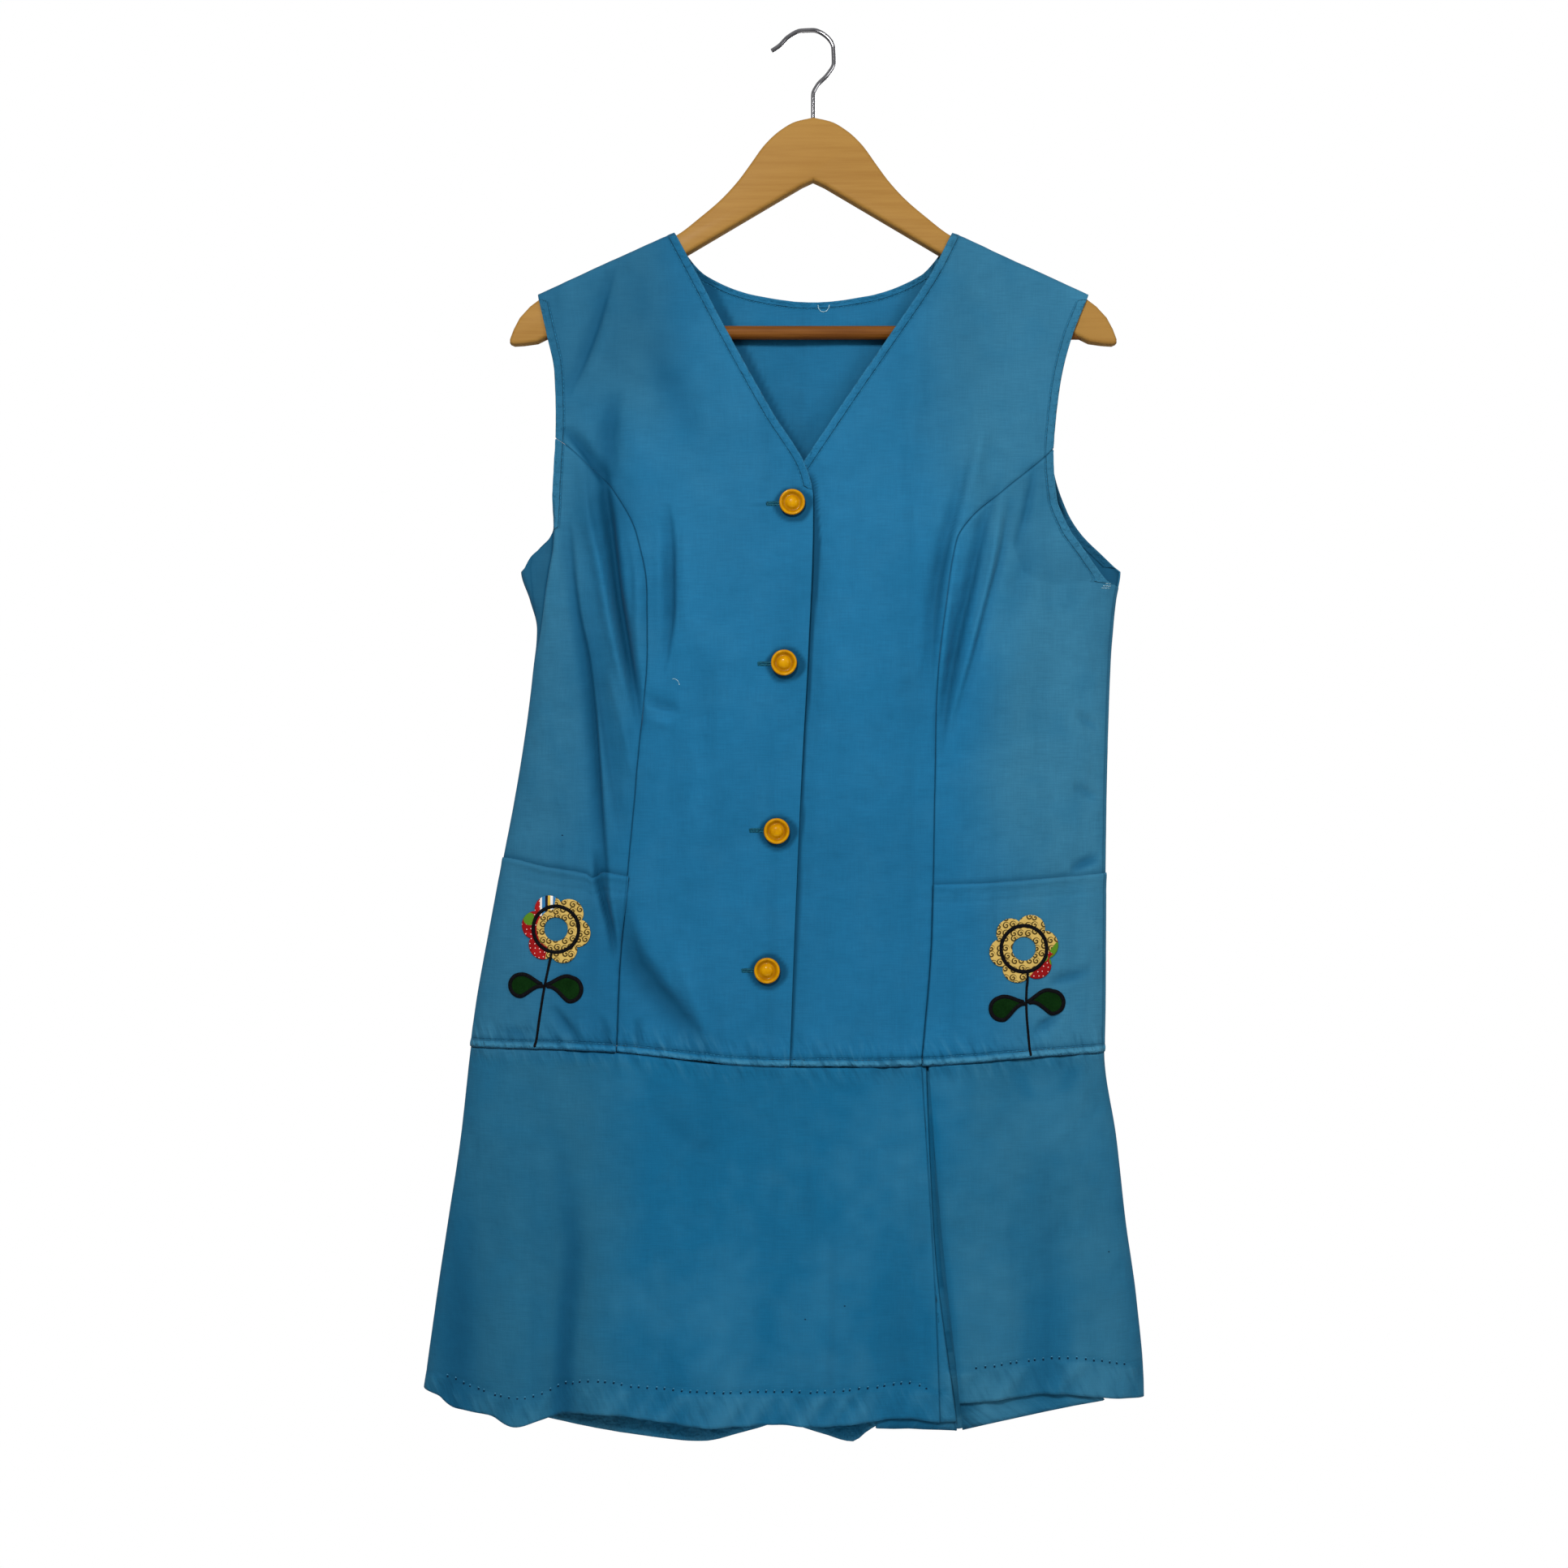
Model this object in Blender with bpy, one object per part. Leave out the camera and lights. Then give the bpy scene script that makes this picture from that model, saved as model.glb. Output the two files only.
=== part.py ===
"""Sleeveless button-front playsuit with a pleated apron skirt, hanging on a wooden hanger.

The tables and sizes are in millimetres and the meshes in metres. X runs to the wearer's left,
-Y is the front and Z is up. The origin is the inside of the hook's top, where the hanger is held.
"""
import math
from collections import namedtuple

import bmesh
import bpy
from mathutils import Matrix, Vector

MM = 0.001

# Cloth and the clearances between sewn pieces
WALL = 1.4
PLEAT_WALL = 1.2
GAP = 0.3
SEAM = 0.2
WAIST_GAP = 0.25
SIDE_POWER = 2.6
CROTCH_POWER = 2.4

# Shoulders, armholes and hanging line
SHOULDER_ROLL = 8.5
NECK_X = 101.0
NECK_Z = -145.5
SHOULDER_X = 199.5
SHOULDER_Z = -190.5
UNDERARM_Z = -391.5
PRINCESS_TOP_RIGHT_Z = -297.5
PRINCESS_TOP_LEFT_Z = -305.5

# Front overlap, welt, pockets and motifs
LAP_SINK = 1.9
LAP_SINK_TOP_Z = -250.0
LAP_SINK_FULL_Z = -300.0
LAP_COVER_FROM = 14.0
LAP_COVER_FULL = 3.0
LAP_LIFT = 3.0
LAP_LIFT_TOP_Z = -180.0
LAP_LIFT_FULL_Z = -330.0
LAP_LIFT_LOW_Z = -420.0
LAP_LIFT_END_Z = -600.0
LAP_LIFT_REACH = 45.0
WELT_HEIGHT = 7.0
WELT_RISE = 0.9
MOTIF_GAP = 0.45
PETAL_WALL = 0.9
LEAF_WALL = 0.8

# Legs behind the skirt
CROTCH_START_Z = -790.0
CROTCH_Z = -872.0
LEG_INSET = WALL + 0.8

# Hanger
HANGER_THICKNESS = 12.0
HANGER_ROUND = 3.0
BAR_RADIUS = 5.0
BAR_Z = -218.0
BAR_STOCK = 420.0
BAR_SIDES = 16
BAR_SEAT_CORNER = 17
BAR_SEAT_GAP = 0.35
HOOK_WIRE = 1.6

BUTTON_STEPS = 20

Section = namedtuple("Section", "z right left front back leg_front")
GARMENT = (
    Section(-60, -214.0, 224.0, 8.0, 8.0, 0),
    Section(-195, -214.0, 224.0, 8.0, 8.0, 0),
    Section(-285, -214.0, 224.0, 17.0, 10.0, 0),
    Section(-360, -213.0, 224.0, 25.0, 12.0, 0),
    Section(-392, -212.0, 223.2, 27.5, 12.5, 0),
    Section(-412, -205.6, 219.7, 28.0, 12.5, 0),
    Section(-433, -200.5, 217.5, 28.0, 12.5, 0),
    Section(-460, -202.5, 215.5, 27.5, 12.5, 0),
    Section(-530, -212.0, 213.2, 25.5, 12.0, 0),
    Section(-613, -227.4, 212.0, 24.0, 12.0, 0),
    Section(-707, -244.4, 211.5, 24.5, 12.0, 18),
    Section(-740, -248.8, 211.0, 25.0, 12.0, 18),
    Section(-801, -255.6, 219.7, 26.0, 13.0, 18),
    Section(-860, -264.5, 226.2, 27.5, 14.0, 17),
    Section(-919, -273.3, 234.4, 29.0, 15.0, 16),
    Section(-978, -281.5, 239.5, 30.0, 16.0, 15),
    Section(-1030, -288.0, 240.0, 31.0, 17.0, 14),
)

Edge = namedtuple("Edge", "z x")
ARMHOLE_RIGHT = (
    Edge(-190.5, -199.5), Edge(-221, -192.5), Edge(-250, -186.5), Edge(-285, -185.3),
    Edge(-332, -187.4), Edge(-361, -188.5), Edge(-371, -193.5), Edge(-382, -206.5), Edge(-391.5, -212.0),
)
ARMHOLE_LEFT = (
    Edge(-190.5, 199.5), Edge(-226, 185.5), Edge(-256, 177.9), Edge(-291, 173.8), Edge(-309, 173.8),
    Edge(-338, 179.7), Edge(-361, 188.4), Edge(-378, 203.0), Edge(-391.5, 223.2),
)
BACK_ARMHOLE_RIGHT = (
    Edge(-190.5, -199.5), Edge(-225, -189.0), Edge(-255, -182.5), Edge(-290, -180.5), Edge(-330, -182.5),
    Edge(-360, -188.0), Edge(-376, -201.5), Edge(-391.5, -212.0),
)
BACK_ARMHOLE_LEFT = (
    Edge(-190.5, 199.5), Edge(-226, 184.5), Edge(-256, 176.5), Edge(-291, 172.5), Edge(-320, 175.5),
    Edge(-345, 184.0), Edge(-363, 195.5), Edge(-379, 211.0), Edge(-391.5, 223.2),
)
PRINCESS_RIGHT = (
    Edge(-297.5, -181.0), Edge(-310, -168.5), Edge(-336, -143.1), Edge(-368, -126.3), Edge(-408, -118.9),
    Edge(-449, -118.7), Edge(-507, -123.7), Edge(-612, -133.3), Edge(-681, -138.9), Edge(-737, -140.8),
)
PRINCESS_LEFT = (
    Edge(-305.5, 171.0), Edge(-311, 165.8), Edge(-336, 135.0), Edge(-356, 111.8), Edge(-371, 101.9),
    Edge(-414, 94.3), Edge(-467, 88.5), Edge(-536, 86.8), Edge(-652, 84.5), Edge(-747, 77.0),
)
NECK_RIGHT = (
    Edge(-145.5, -101.0), Edge(-177, -84.0), Edge(-216, -63.7), Edge(-277, -30.5), Edge(-325, -3.2),
    Edge(-341, -0.4), Edge(-360, -0.5), Edge(-450, -3.9), Edge(-536, -8.5), Edge(-640, -13.1),
    Edge(-748, -17.3),
)
NECK_LEFT = (
    Edge(-145.5, 101.0), Edge(-175, 85.9), Edge(-219, 56.8), Edge(-266, 24.8), Edge(-316, -8.4),
    Edge(-336, -22.5), Edge(-352, -30.5), Edge(-450, -33.5), Edge(-536, -38.0), Edge(-640, -43.0),
    Edge(-748, -47.0),
)
INSEAM_RIGHT = (Edge(-735, -20.0), Edge(-872, -21.0), Edge(-940, -25.0), Edge(-1020, -29.5))
INSEAM_LEFT = (Edge(-735, -20.0), Edge(-872, -19.0), Edge(-940, -17.5), Edge(-1020, -14.5))

# Lines that cross the garment, as height against x
Line = namedtuple("Line", "x z")
WAIST = (
    Line(-252, -735.0), Line(-190, -735.3), Line(-150, -736.6), Line(-120, -739.2), Line(-95, -742.2),
    Line(-70, -744.9), Line(-40, -746.9), Line(-10, -747.5), Line(35, -747.5), Line(77, -746.7),
    Line(110, -744.8), Line(140, -742.4), Line(175, -740.1), Line(212, -739.0),
)
BACK_NECK = (
    Line(-101, -145.5), Line(-94, -157.0), Line(-78, -174.6), Line(-42, -189.0), Line(0, -194.0),
    Line(42, -189.0), Line(78, -174.6), Line(94, -157.0), Line(101, -145.5),
)
SKIRT_HEM = (
    Line(-284, -980.5), Line(-270, -985.5), Line(-256, -993.0), Line(-234, -995.5), Line(-212, -1002.5),
    Line(-197, -998.4), Line(-175, -993.6), Line(-151, -992.9), Line(-117, -997.0), Line(-78, -1001.3),
    Line(-25, -1000.2), Line(0, -1001.3), Line(33, -999.6), Line(62, -996.4), Line(90, -999.0),
    Line(103, -998.0),
)
SIDE_HEM = (Line(102, -985.9), Line(137, -983.0), Line(166, -980.7), Line(190, -982.6), Line(240, -988.2))
RIGHT_LEG_HEM = (
    Line(-284, -976.0), Line(-240, -988.0), Line(-187, -1002.0), Line(-130, -1012.5), Line(-79, -1018.0),
    Line(-50, -1012.5), Line(-29, -1008.0),
)
LEFT_LEG_HEM = (
    Line(-15, -1008.5), Line(6, -1013.5), Line(28, -1018.6), Line(40, -1010.0), Line(60, -1000.0),
    Line(120, -991.0), Line(180, -980.0), Line(240, -974.0),
)

# Pleat in the skirt: seam to the main panel, the two folded edges and how far the cloth runs behind
Pleat = namedtuple("Pleat", "z seam fold side_fold back_right back_left spacing")
PLEAT = (
    Pleat(-747, 77.0, 80.6, 81.6, 55.0, 108.0, 1.8),
    Pleat(-853, 83.4, 87.6, 89.4, 51.0, 130.0, 2.2),
    Pleat(-911, 86.6, 92.6, 95.2, 48.0, 148.0, 2.7),
    Pleat(-963, 88.6, 97.8, 101.0, 46.0, 162.0, 3.1),
    Pleat(-1005, 89.8, 102.8, 104.6, 43.7, 174.0, 3.4),
)
UNDERLAY_HEM = (
    Line(43, -1004.6), Line(103, -1005.7), Line(115, -1003.4), Line(138, -998.8), Line(174, -992.0),
)
PLEAT_FOLD_STEPS = 3
PLEAT_BACK_STEPS = 5
PLEAT_TURN_UNDER = 2.0

# Soft ridges (+) and troughs (-): both ends, width to each side and height; an open one runs off the hem
Fold = namedtuple("Fold", "top_x top_z low_x low_z width height open")
FRONT_FOLDS = (
    Fold(-161, -208, -177, -300, 7, -2.4, False),
    Fold(-140, -150, -162, -310, 12, 2.6, False),
    Fold(-152, -322, -126, -505, 9, -4.5, False),
    Fold(-168, -318, -140, -530, 13, 3.2, False),
    Fold(-110, -335, -98, -500, 13, 3.2, False),
    Fold(-207, -352, -197, -458, 8, -7.0, False),
    Fold(-60, -360, -66, -590, 34, 2.4, False),
    Fold(122, -262, 95, -395, 15, 3.0, False),
    Fold(92, -372, 87, -560, 9, -3.6, False),
    Fold(131, -330, 106, -540, 13, 3.4, False),
    Fold(46, -330, 42, -560, 30, 2.4, False),
    Fold(188, -420, 186, -600, 18, 2.0, False),
)
SKIRT_FOLDS = (
    Fold(-252, -790, -256, -995, 15, -3.5, True),
    Fold(-210, -765, -212, -1000, 20, 4.5, True),
    Fold(-180, -765, -178, -1000, 15, -3.5, True),
    Fold(-77, -790, -77, -1003, 30, 3.5, True),
    Fold(2, -800, 0, -1003, 26, 2.5, True),
    Fold(60, -800, 62, -1000, 20, -2.4, True),
    Fold(166, -790, 167, -985, 20, -2.6, True),
    Fold(205, -800, 208, -988, 16, 2.4, True),
)
BACK_FOLDS = (
    Fold(-120, -230, -128, -520, 24, 3.0, False),
    Fold(112, -230, 104, -540, 22, 3.0, False),
    Fold(-40, -260, -30, -430, 30, -2.0, False),
    Fold(60, -420, 52, -700, 28, 2.0, False),
    Fold(-140, -780, -150, -1005, 26, 3.0, True),
    Fold(110, -780, 118, -995, 26, 3.0, True),
)

ButtonPlace = namedtuple("ButtonPlace", "name x z")
BUTTONS = (
    ButtonPlace("button_1", -15.4, -345.1), ButtonPlace("button_2", -21.2, -459.4),
    ButtonPlace("button_3", -26.4, -578.9), ButtonPlace("button_4", -33.3, -678.2),
)

# A button's outline, turned from its foot to its domed middle
ButtonRing = namedtuple("ButtonRing", "radius height")
BUTTON_PROFILE = (
    ButtonRing(0, 0), ButtonRing(2.6, 0), ButtonRing(2.9, 1.3), ButtonRing(7.0, 1.7), ButtonRing(9.3, 3.0),
    ButtonRing(9.1, 4.3), ButtonRing(8.0, 4.6), ButtonRing(6.4, 3.4), ButtonRing(4.8, 3.3),
    ButtonRing(3.8, 4.1), ButtonRing(2.1, 4.7), ButtonRing(0, 4.9),
)

Motif = namedtuple("Motif", "name x z petal_turn")
FLOWERS = (Motif("flower_right", -184.0, -649.2, 0.35), Motif("flower_left", 150.0, -663.1, -0.35))
PETALS = 6
PETAL_TIP_RADIUS = 25.0
PETAL_VALLEY_RADIUS = 19.5
PETAL_HOLE_RADIUS = 8.5
PETAL_STEPS = 6
Leaf = namedtuple("Leaf", "name root_x root_z tip_x tip_z width bow")
LEAVES = (
    Leaf("leaf_right_outer", -193.6, -689.3, -217.1, -689.7, 8.7, 1.1),
    Leaf("leaf_right_inner", -190.8, -689.5, -165.8, -693.2, 9.5, 2.1),
    Leaf("leaf_left_inner", 150.4, -701.7, 126.3, -707.7, 9.0, 1.5),
    Leaf("leaf_left_outer", 153.2, -701.3, 178.5, -701.9, 9.1, 2.5),
)
LEAF_ROOT_SHARE = 0.08
LEAF_WIDEST = 0.68
LEAF_STEPS = 12

# One half of the hanger's outline from the crown to the notch, with the tip of the arm between
Corner = namedtuple("Corner", "x z")
HANGER_HALF = (
    Corner(0, -63.0), Corner(13, -66.0), Corner(25, -73.0), Corner(36, -83.5), Corner(45, -96.0),
    Corner(55, -109.5), Corner(67, -122.5), Corner(81, -134.5), Corner(99, -148.2), Corner(150, -171.6),
    Corner(196, -193.0), Corner(208, -199.5), Corner(216, -209.5), Corner(219.5, -219.0),
    Corner(220.0, -225.5), Corner(217, -227.0), Corner(203, -226.4), Corner(189, -219.0), Corner(93, -162.4),
    Corner(8, -112.2), Corner(0, -108.5),
)
HookPoint = namedtuple("HookPoint", "x z")
HOOK_PATH = (
    HookPoint(0.0, -62.7), HookPoint(0.0, -46.0), HookPoint(3.0, -38.5), HookPoint(10.5, -30.5),
    HookPoint(15.0, -22.0), HookPoint(14.6, -11.0), HookPoint(9.0, -2.4), HookPoint(0.0, 1.6),
    HookPoint(-9.0, 1.2), HookPoint(-18.0, -3.2), HookPoint(-24.5, -9.6), HookPoint(-30.0, -13.4),
)
HOOK_SAMPLES = 3
HookKey = namedtuple("HookKey", "key x z")

# Colour as linear red, green and blue, roughness, metallic
Finish = namedtuple("Finish", "name red green blue roughness metallic")
CLOTH = Finish("blue_cloth", 0.022, 0.168, 0.322, 0.8, 0.0)
PETAL = Finish("printed_petal_cloth", 0.52, 0.34, 0.09, 0.8, 0.0)
LEAF_CLOTH = Finish("green_leaf_cloth", 0.005, 0.045, 0.008, 0.85, 0.0)
YELLOW = Finish("yellow_button_plastic", 0.52, 0.24, 0.01, 0.25, 0.0)
WOOD = Finish("pale_hanger_wood", 0.45, 0.26, 0.08, 0.5, 0.0)
BAR_WOOD = Finish("brown_bar_wood", 0.26, 0.1, 0.025, 0.5, 0.0)
STEEL = Finish("bright_hook_steel", 0.75, 0.75, 0.77, 0.15, 1.0)


def ramp(value, start, end):
    """Smooth step from 0 at start to 1 at end."""
    share = min(max((value - start) / (end - start), 0.0), 1.0)
    return share * share * (3.0 - 2.0 * share)


def mix(first, second, share):
    """Value between first and second."""
    return first + (second - first) * share


def read(rows, key, column, place):
    """Column's value at a place between the rows, on a smooth curve that goes through each row."""
    keys = [getattr(row, key) for row in rows]
    values = [getattr(row, column) for row in rows]
    if keys[0] > keys[-1]:
        keys.reverse()
        values.reverse()
    if place <= keys[0]:
        return values[0]
    if place >= keys[-1]:
        return values[-1]
    low = max(i for i in range(len(keys) - 1) if keys[i] <= place)
    step = keys[low + 1] - keys[low]

    def slope(i):
        if i in (0, len(keys) - 1):
            near = 1 if i == 0 else i - 1
            return (values[near] - values[i]) / (keys[near] - keys[i])
        before = (values[i] - values[i - 1]) / (keys[i] - keys[i - 1])
        after = (values[i + 1] - values[i]) / (keys[i + 1] - keys[i])
        return 0.0 if before * after <= 0.0 else 2.0 * before * after / (before + after)

    share = (place - keys[low]) / step
    square, cube = share ** 2, share ** 3
    return ((2 * cube - 3 * square + 1) * values[low] + (cube - 2 * square + share) * step * slope(low)
            + (3 * square - 2 * cube) * values[low + 1] + (cube - square) * step * slope(low + 1))


def shoulder_line(x):
    """Height of the shoulder seam's line at x, carried on past both its ends."""
    slope = (SHOULDER_Z - NECK_Z) / (SHOULDER_X - NECK_X)
    return NECK_Z + slope * (abs(x) - NECK_X)


def waist_line(x):
    """Height of the dropped waist seam at x."""
    return read(WAIST, "x", "z", x)


def fold_height(folds, x, z):
    """Sum of the soft ridges and troughs at a point."""
    total = 0.0
    for fold in folds:
        run_x, run_z = fold.low_x - fold.top_x, fold.low_z - fold.top_z
        length = math.hypot(run_x, run_z)
        along = ((x - fold.top_x) * run_x + (z - fold.top_z) * run_z) / length ** 2
        away = ((x - fold.top_x) * run_z - (z - fold.top_z) * run_x) / length
        if fold.open:
            strength = ramp(along, 0.0, 1.0)
        else:
            strength = math.sin(math.pi * min(max(along, 0.0), 1.0)) ** 0.8
        total += fold.height * strength * math.exp(-(away / fold.width) ** 2)
    return total


class Cloth:
    """Surface of one hanging layer: the point at (x, z) and the direction that faces out there."""

    def __init__(self, side, folds, inset=0.0, reach="front", inseam=None):
        self.side = side
        self.folds = folds
        self.inset = inset
        self.reach = reach
        self.inseam = inseam

    def crotch_rounding(self, x, z):
        """How much a leg closes towards its inseam: the share left of its depth, and the slope there."""
        if self.inseam is None or z > CROTCH_START_Z:
            return 1.0, 0.0
        inner = read(self.inseam, "z", "x", z)
        outer = read(GARMENT, "z", "right" if self.inseam is INSEAM_RIGHT else "left", z)
        middle = mix(outer, inner, 0.5)
        share = min(max((x - middle) / (inner - middle), 0.0), 1.0)
        closed = 1.0 if z <= CROTCH_Z else (CROTCH_START_Z - z) / (CROTCH_START_Z - CROTCH_Z)
        left = max(1.0 - (closed * share) ** CROTCH_POWER, 0.0) ** (1.0 / CROTCH_POWER)
        slope = closed ** CROTCH_POWER * share ** (CROTCH_POWER - 1.0) / (inner - middle)
        return left, slope

    def at(self, x, z):
        """Point on the layer's outer face and its outward direction."""
        right = read(GARMENT, "z", "right", z) + self.inset
        left = read(GARMENT, "z", "left", z) - self.inset
        half = (left - right) / 2.0
        place = min(max((x - (left + right) / 2.0) / half, -1.0), 1.0)
        rounded = (1.0 - abs(place) ** SIDE_POWER) ** (1.0 / SIDE_POWER)
        closing = ramp(z, SHOULDER_Z, UNDERARM_Z)
        across = 1.0 + (rounded - 1.0) * closing
        inner, inner_slope = self.crotch_rounding(x, z)
        drop = max(shoulder_line(x) - z, 0.0)
        roll = math.sqrt(1.0 - (1.0 - min(drop / SHOULDER_ROLL, 1.0)) ** 2)
        reach = read(GARMENT, "z", self.reach, z)
        lean_x = math.copysign(abs(place) ** (SIDE_POWER - 1.0) / half * closing, place) + inner_slope
        lean_y = (across * inner) ** (SIDE_POWER - 1.0) / reach
        lean = math.hypot(lean_x, lean_y)
        depth = reach * across * inner * roll + fold_height(self.folds, x, z) * across * inner * roll
        facing_up = math.sqrt(1.0 - roll * roll)
        normal = Vector((lean_x / lean * roll, self.side * lean_y / lean * roll, facing_up))
        return Vector((x, self.side * (GAP / 2.0 + depth), z)), normal


FRONT = Cloth(-1, FRONT_FOLDS)
SKIRT = Cloth(-1, SKIRT_FOLDS)
BACK = Cloth(1, BACK_FOLDS, reach="back")
RIGHT_LEG_FRONT = Cloth(-1, (), inset=LEG_INSET, reach="leg_front", inseam=INSEAM_RIGHT)
LEFT_LEG_FRONT = Cloth(-1, (), inset=LEG_INSET, reach="leg_front", inseam=INSEAM_LEFT)
RIGHT_LEG_BACK = Cloth(1, BACK_FOLDS, reach="back", inseam=INSEAM_RIGHT)
LEFT_LEG_BACK = Cloth(1, BACK_FOLDS, reach="back", inseam=INSEAM_LEFT)


def edge(rows, shift=0.0):
    """Edge function x(z) from a table, moved sideways by shift."""
    return lambda z: read(rows, "z", "x", z) + shift


def side(column, shift=0.0):
    """Edge function x(z) that follows the garment's side seam."""
    return lambda z: read(GARMENT, "z", column, z) + shift


def joined(upper, lower, z_change):
    """Edge function that follows upper above a height and lower below it."""
    return lambda z: upper(z) if z > z_change else lower(z)


def steps(*stops):
    """Heights from the first stop down, each later stop being (height, rows to it)."""
    heights = [stops[0]]
    for height, rows in stops[1:]:
        start = heights[-1]
        heights += [mix(start, height, (i + 1) / rows) for i in range(rows)]
    return heights


def by_distance(near, count, far):
    """Column places from set distances off the left and right edges, with count more between."""
    def places(left, right):
        start, end = left + near[-1], right - far[-1]
        between = [mix(start, end, (i + 1) / (count + 1)) for i in range(count)]
        return [left + d for d in near] + between + [right - d for d in reversed(far)]
    return places


def by_share(shares):
    """Column places at shares of the way from the left edge to the right one."""
    return lambda left, right: [mix(left, right, share) for share in shares]


class Panel:
    """Flat outline of one cut piece: its side edges, the heights of its rows and where its columns go."""

    def __init__(self, left, right, left_rows, right_rows, places, top=None, top_rows=0, bottom=None,
                 bottom_rows=0, top_keep=0):
        self.left = left
        self.right = right
        self.left_rows = left_rows
        self.right_rows = right_rows
        self.places = places
        self.top = top
        self.top_rows = top_rows
        self.bottom = bottom
        self.bottom_rows = bottom_rows
        self.top_keep = top_keep

    def bend(self, x, share, index):
        """How far a row leaves its straight line to follow the curved top or bottom edge."""
        from_end = len(self.left_rows) - 1 - index
        shift = 0.0
        if self.top and index < self.top_rows:
            straight = mix(self.left_rows[0], self.right_rows[0], share)
            shift += (self.top(x) - straight) * (1.0 - ramp(index, self.top_keep, self.top_rows))
        if self.bottom and from_end < self.bottom_rows:
            straight = mix(self.left_rows[-1], self.right_rows[-1], share)
            shift += (self.bottom(x) - straight) * (1.0 - ramp(from_end, 0, self.bottom_rows))
        return shift

    def grid(self):
        """Rows of (x, z) places that fill the piece, from its top edge down."""
        rows = []
        for index, (z_left, z_right) in enumerate(zip(self.left_rows, self.right_rows, strict=True)):
            x_left, x_right = self.left(z_left), self.right(z_right)
            row = []
            for x in self.places(x_left, x_right):
                share = (x - x_left) / (x_right - x_left)
                row.append((x, mix(z_left, z_right, share) + self.bend(x, share, index)))
            rows.append(row)
        return rows


def welt_rise(x, z):
    """Height of the puffed seam allowance just above the waist seam."""
    above = z - waist_line(x)
    if above <= 0.0 or above >= WELT_HEIGHT:
        return 0.0
    return WELT_RISE * math.sin(math.pi * above / WELT_HEIGHT)


def bodice_bottom(x):
    """Lower edge of the bodice, just above the waist seam."""
    return waist_line(x) + WAIST_GAP


def skirt_top(x):
    """Upper edge of the skirt and shorts, just below the waist seam."""
    return waist_line(x) - WAIST_GAP


def back_top(x):
    """Upper edge of the back: the two shoulder seams and the scooped neck between them."""
    return shoulder_line(x) if abs(x) >= NECK_X else read(BACK_NECK, "x", "z", x)


def hem(rows):
    """Hem height as a function of x, from a table."""
    return lambda x: read(rows, "x", "z", x)


def over_lift(x, z):
    """How far the overlapping front edge stands off the one beneath."""
    edge_x = read(NECK_RIGHT, "z", "x", z)
    height = LAP_LIFT * ramp(z, LAP_LIFT_TOP_Z, LAP_LIFT_FULL_Z) * ramp(z, LAP_LIFT_END_Z, LAP_LIFT_LOW_Z)
    return height * ramp(x, edge_x - LAP_LIFT_REACH, edge_x)


def covered(x, z):
    """1 where the overlapping front covers the lower one, 0 well clear of its edge."""
    edge_x = read(NECK_RIGHT, "z", "x", z)
    return ramp(x, edge_x + LAP_COVER_FROM, edge_x + LAP_COVER_FULL)


def under_sink(x, z):
    """How far the lower front drops back where the other front covers it."""
    return -LAP_SINK * covered(x, z) * ramp(z, LAP_SINK_TOP_Z, LAP_SINK_FULL_Z)


def under_welt(x, z):
    """Welt of the lower front, flat where the other front covers it."""
    return welt_rise(x, z) * (1.0 - covered(x, z))


def material(finish):
    """Principled material with the finish's colour, roughness and metallic value."""
    found = bpy.data.materials.get(finish.name)
    if found:
        return found
    made = bpy.data.materials.new(finish.name)
    made.use_nodes = True
    shader = made.node_tree.nodes["Principled BSDF"]
    shader.inputs["Base Color"].default_value = (finish.red, finish.green, finish.blue, 1.0)
    shader.inputs["Roughness"].default_value = finish.roughness
    shader.inputs["Metallic"].default_value = finish.metallic
    return made


def add_object(name, bm, finish):
    """Object from a closed bmesh, with its faces turned out."""
    bmesh.ops.recalc_face_normals(bm, faces=bm.faces)
    mesh = bpy.data.meshes.new(name)
    bm.to_mesh(mesh)
    bm.free()
    mesh.materials.append(material(finish))
    made = bpy.data.objects.new(name, mesh)
    bpy.context.scene.collection.objects.link(made)
    return made


def wall_solid(name, outer, inner, finish, ring=False):
    """Closed wall between two grids of points of the same size; a ring's rows close on themselves."""
    bm = bmesh.new()
    sheets = [[[bm.verts.new(p * MM) for p in row] for row in grid] for grid in (outer, inner)]
    rows, columns = len(outer), len(outer[0])
    spans = columns if ring else columns - 1
    for sheet in sheets:
        for r in range(rows - 1):
            for c in range(spans):
                d = (c + 1) % columns
                bm.faces.new((sheet[r][c], sheet[r][d], sheet[r + 1][d], sheet[r + 1][c]))
    rim = [((r, c), (r, (c + 1) % columns)) for r in (0, rows - 1) for c in range(spans)]
    if not ring:
        rim += [((r, c), (r + 1, c)) for c in (0, columns - 1) for r in range(rows - 1)]
    for (r, c), (s, d) in rim:
        bm.faces.new((sheets[0][r][c], sheets[0][s][d], sheets[1][s][d], sheets[1][r][c]))
    return add_object(name, bm, finish)


def cloth_wall(name, surface, grid, low, high, finish, lift=None, ring=False):
    """Wall on a surface between two distances out from it, with an optional extra lift at each place."""
    outer, inner = [], []
    for row in grid:
        outer_row, inner_row = [], []
        for x, z in row:
            point, normal = surface.at(x, z)
            if lift:
                point = point + normal * lift(x, z)
            outer_row.append(point + normal * high(x, z))
            inner_row.append(point + normal * low(x, z))
        outer.append(outer_row)
        inner.append(inner_row)
    return wall_solid(name, outer, inner, finish, ring)


def flat(distance):
    """Distance function that is the same everywhere."""
    return lambda x, z: distance


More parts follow.
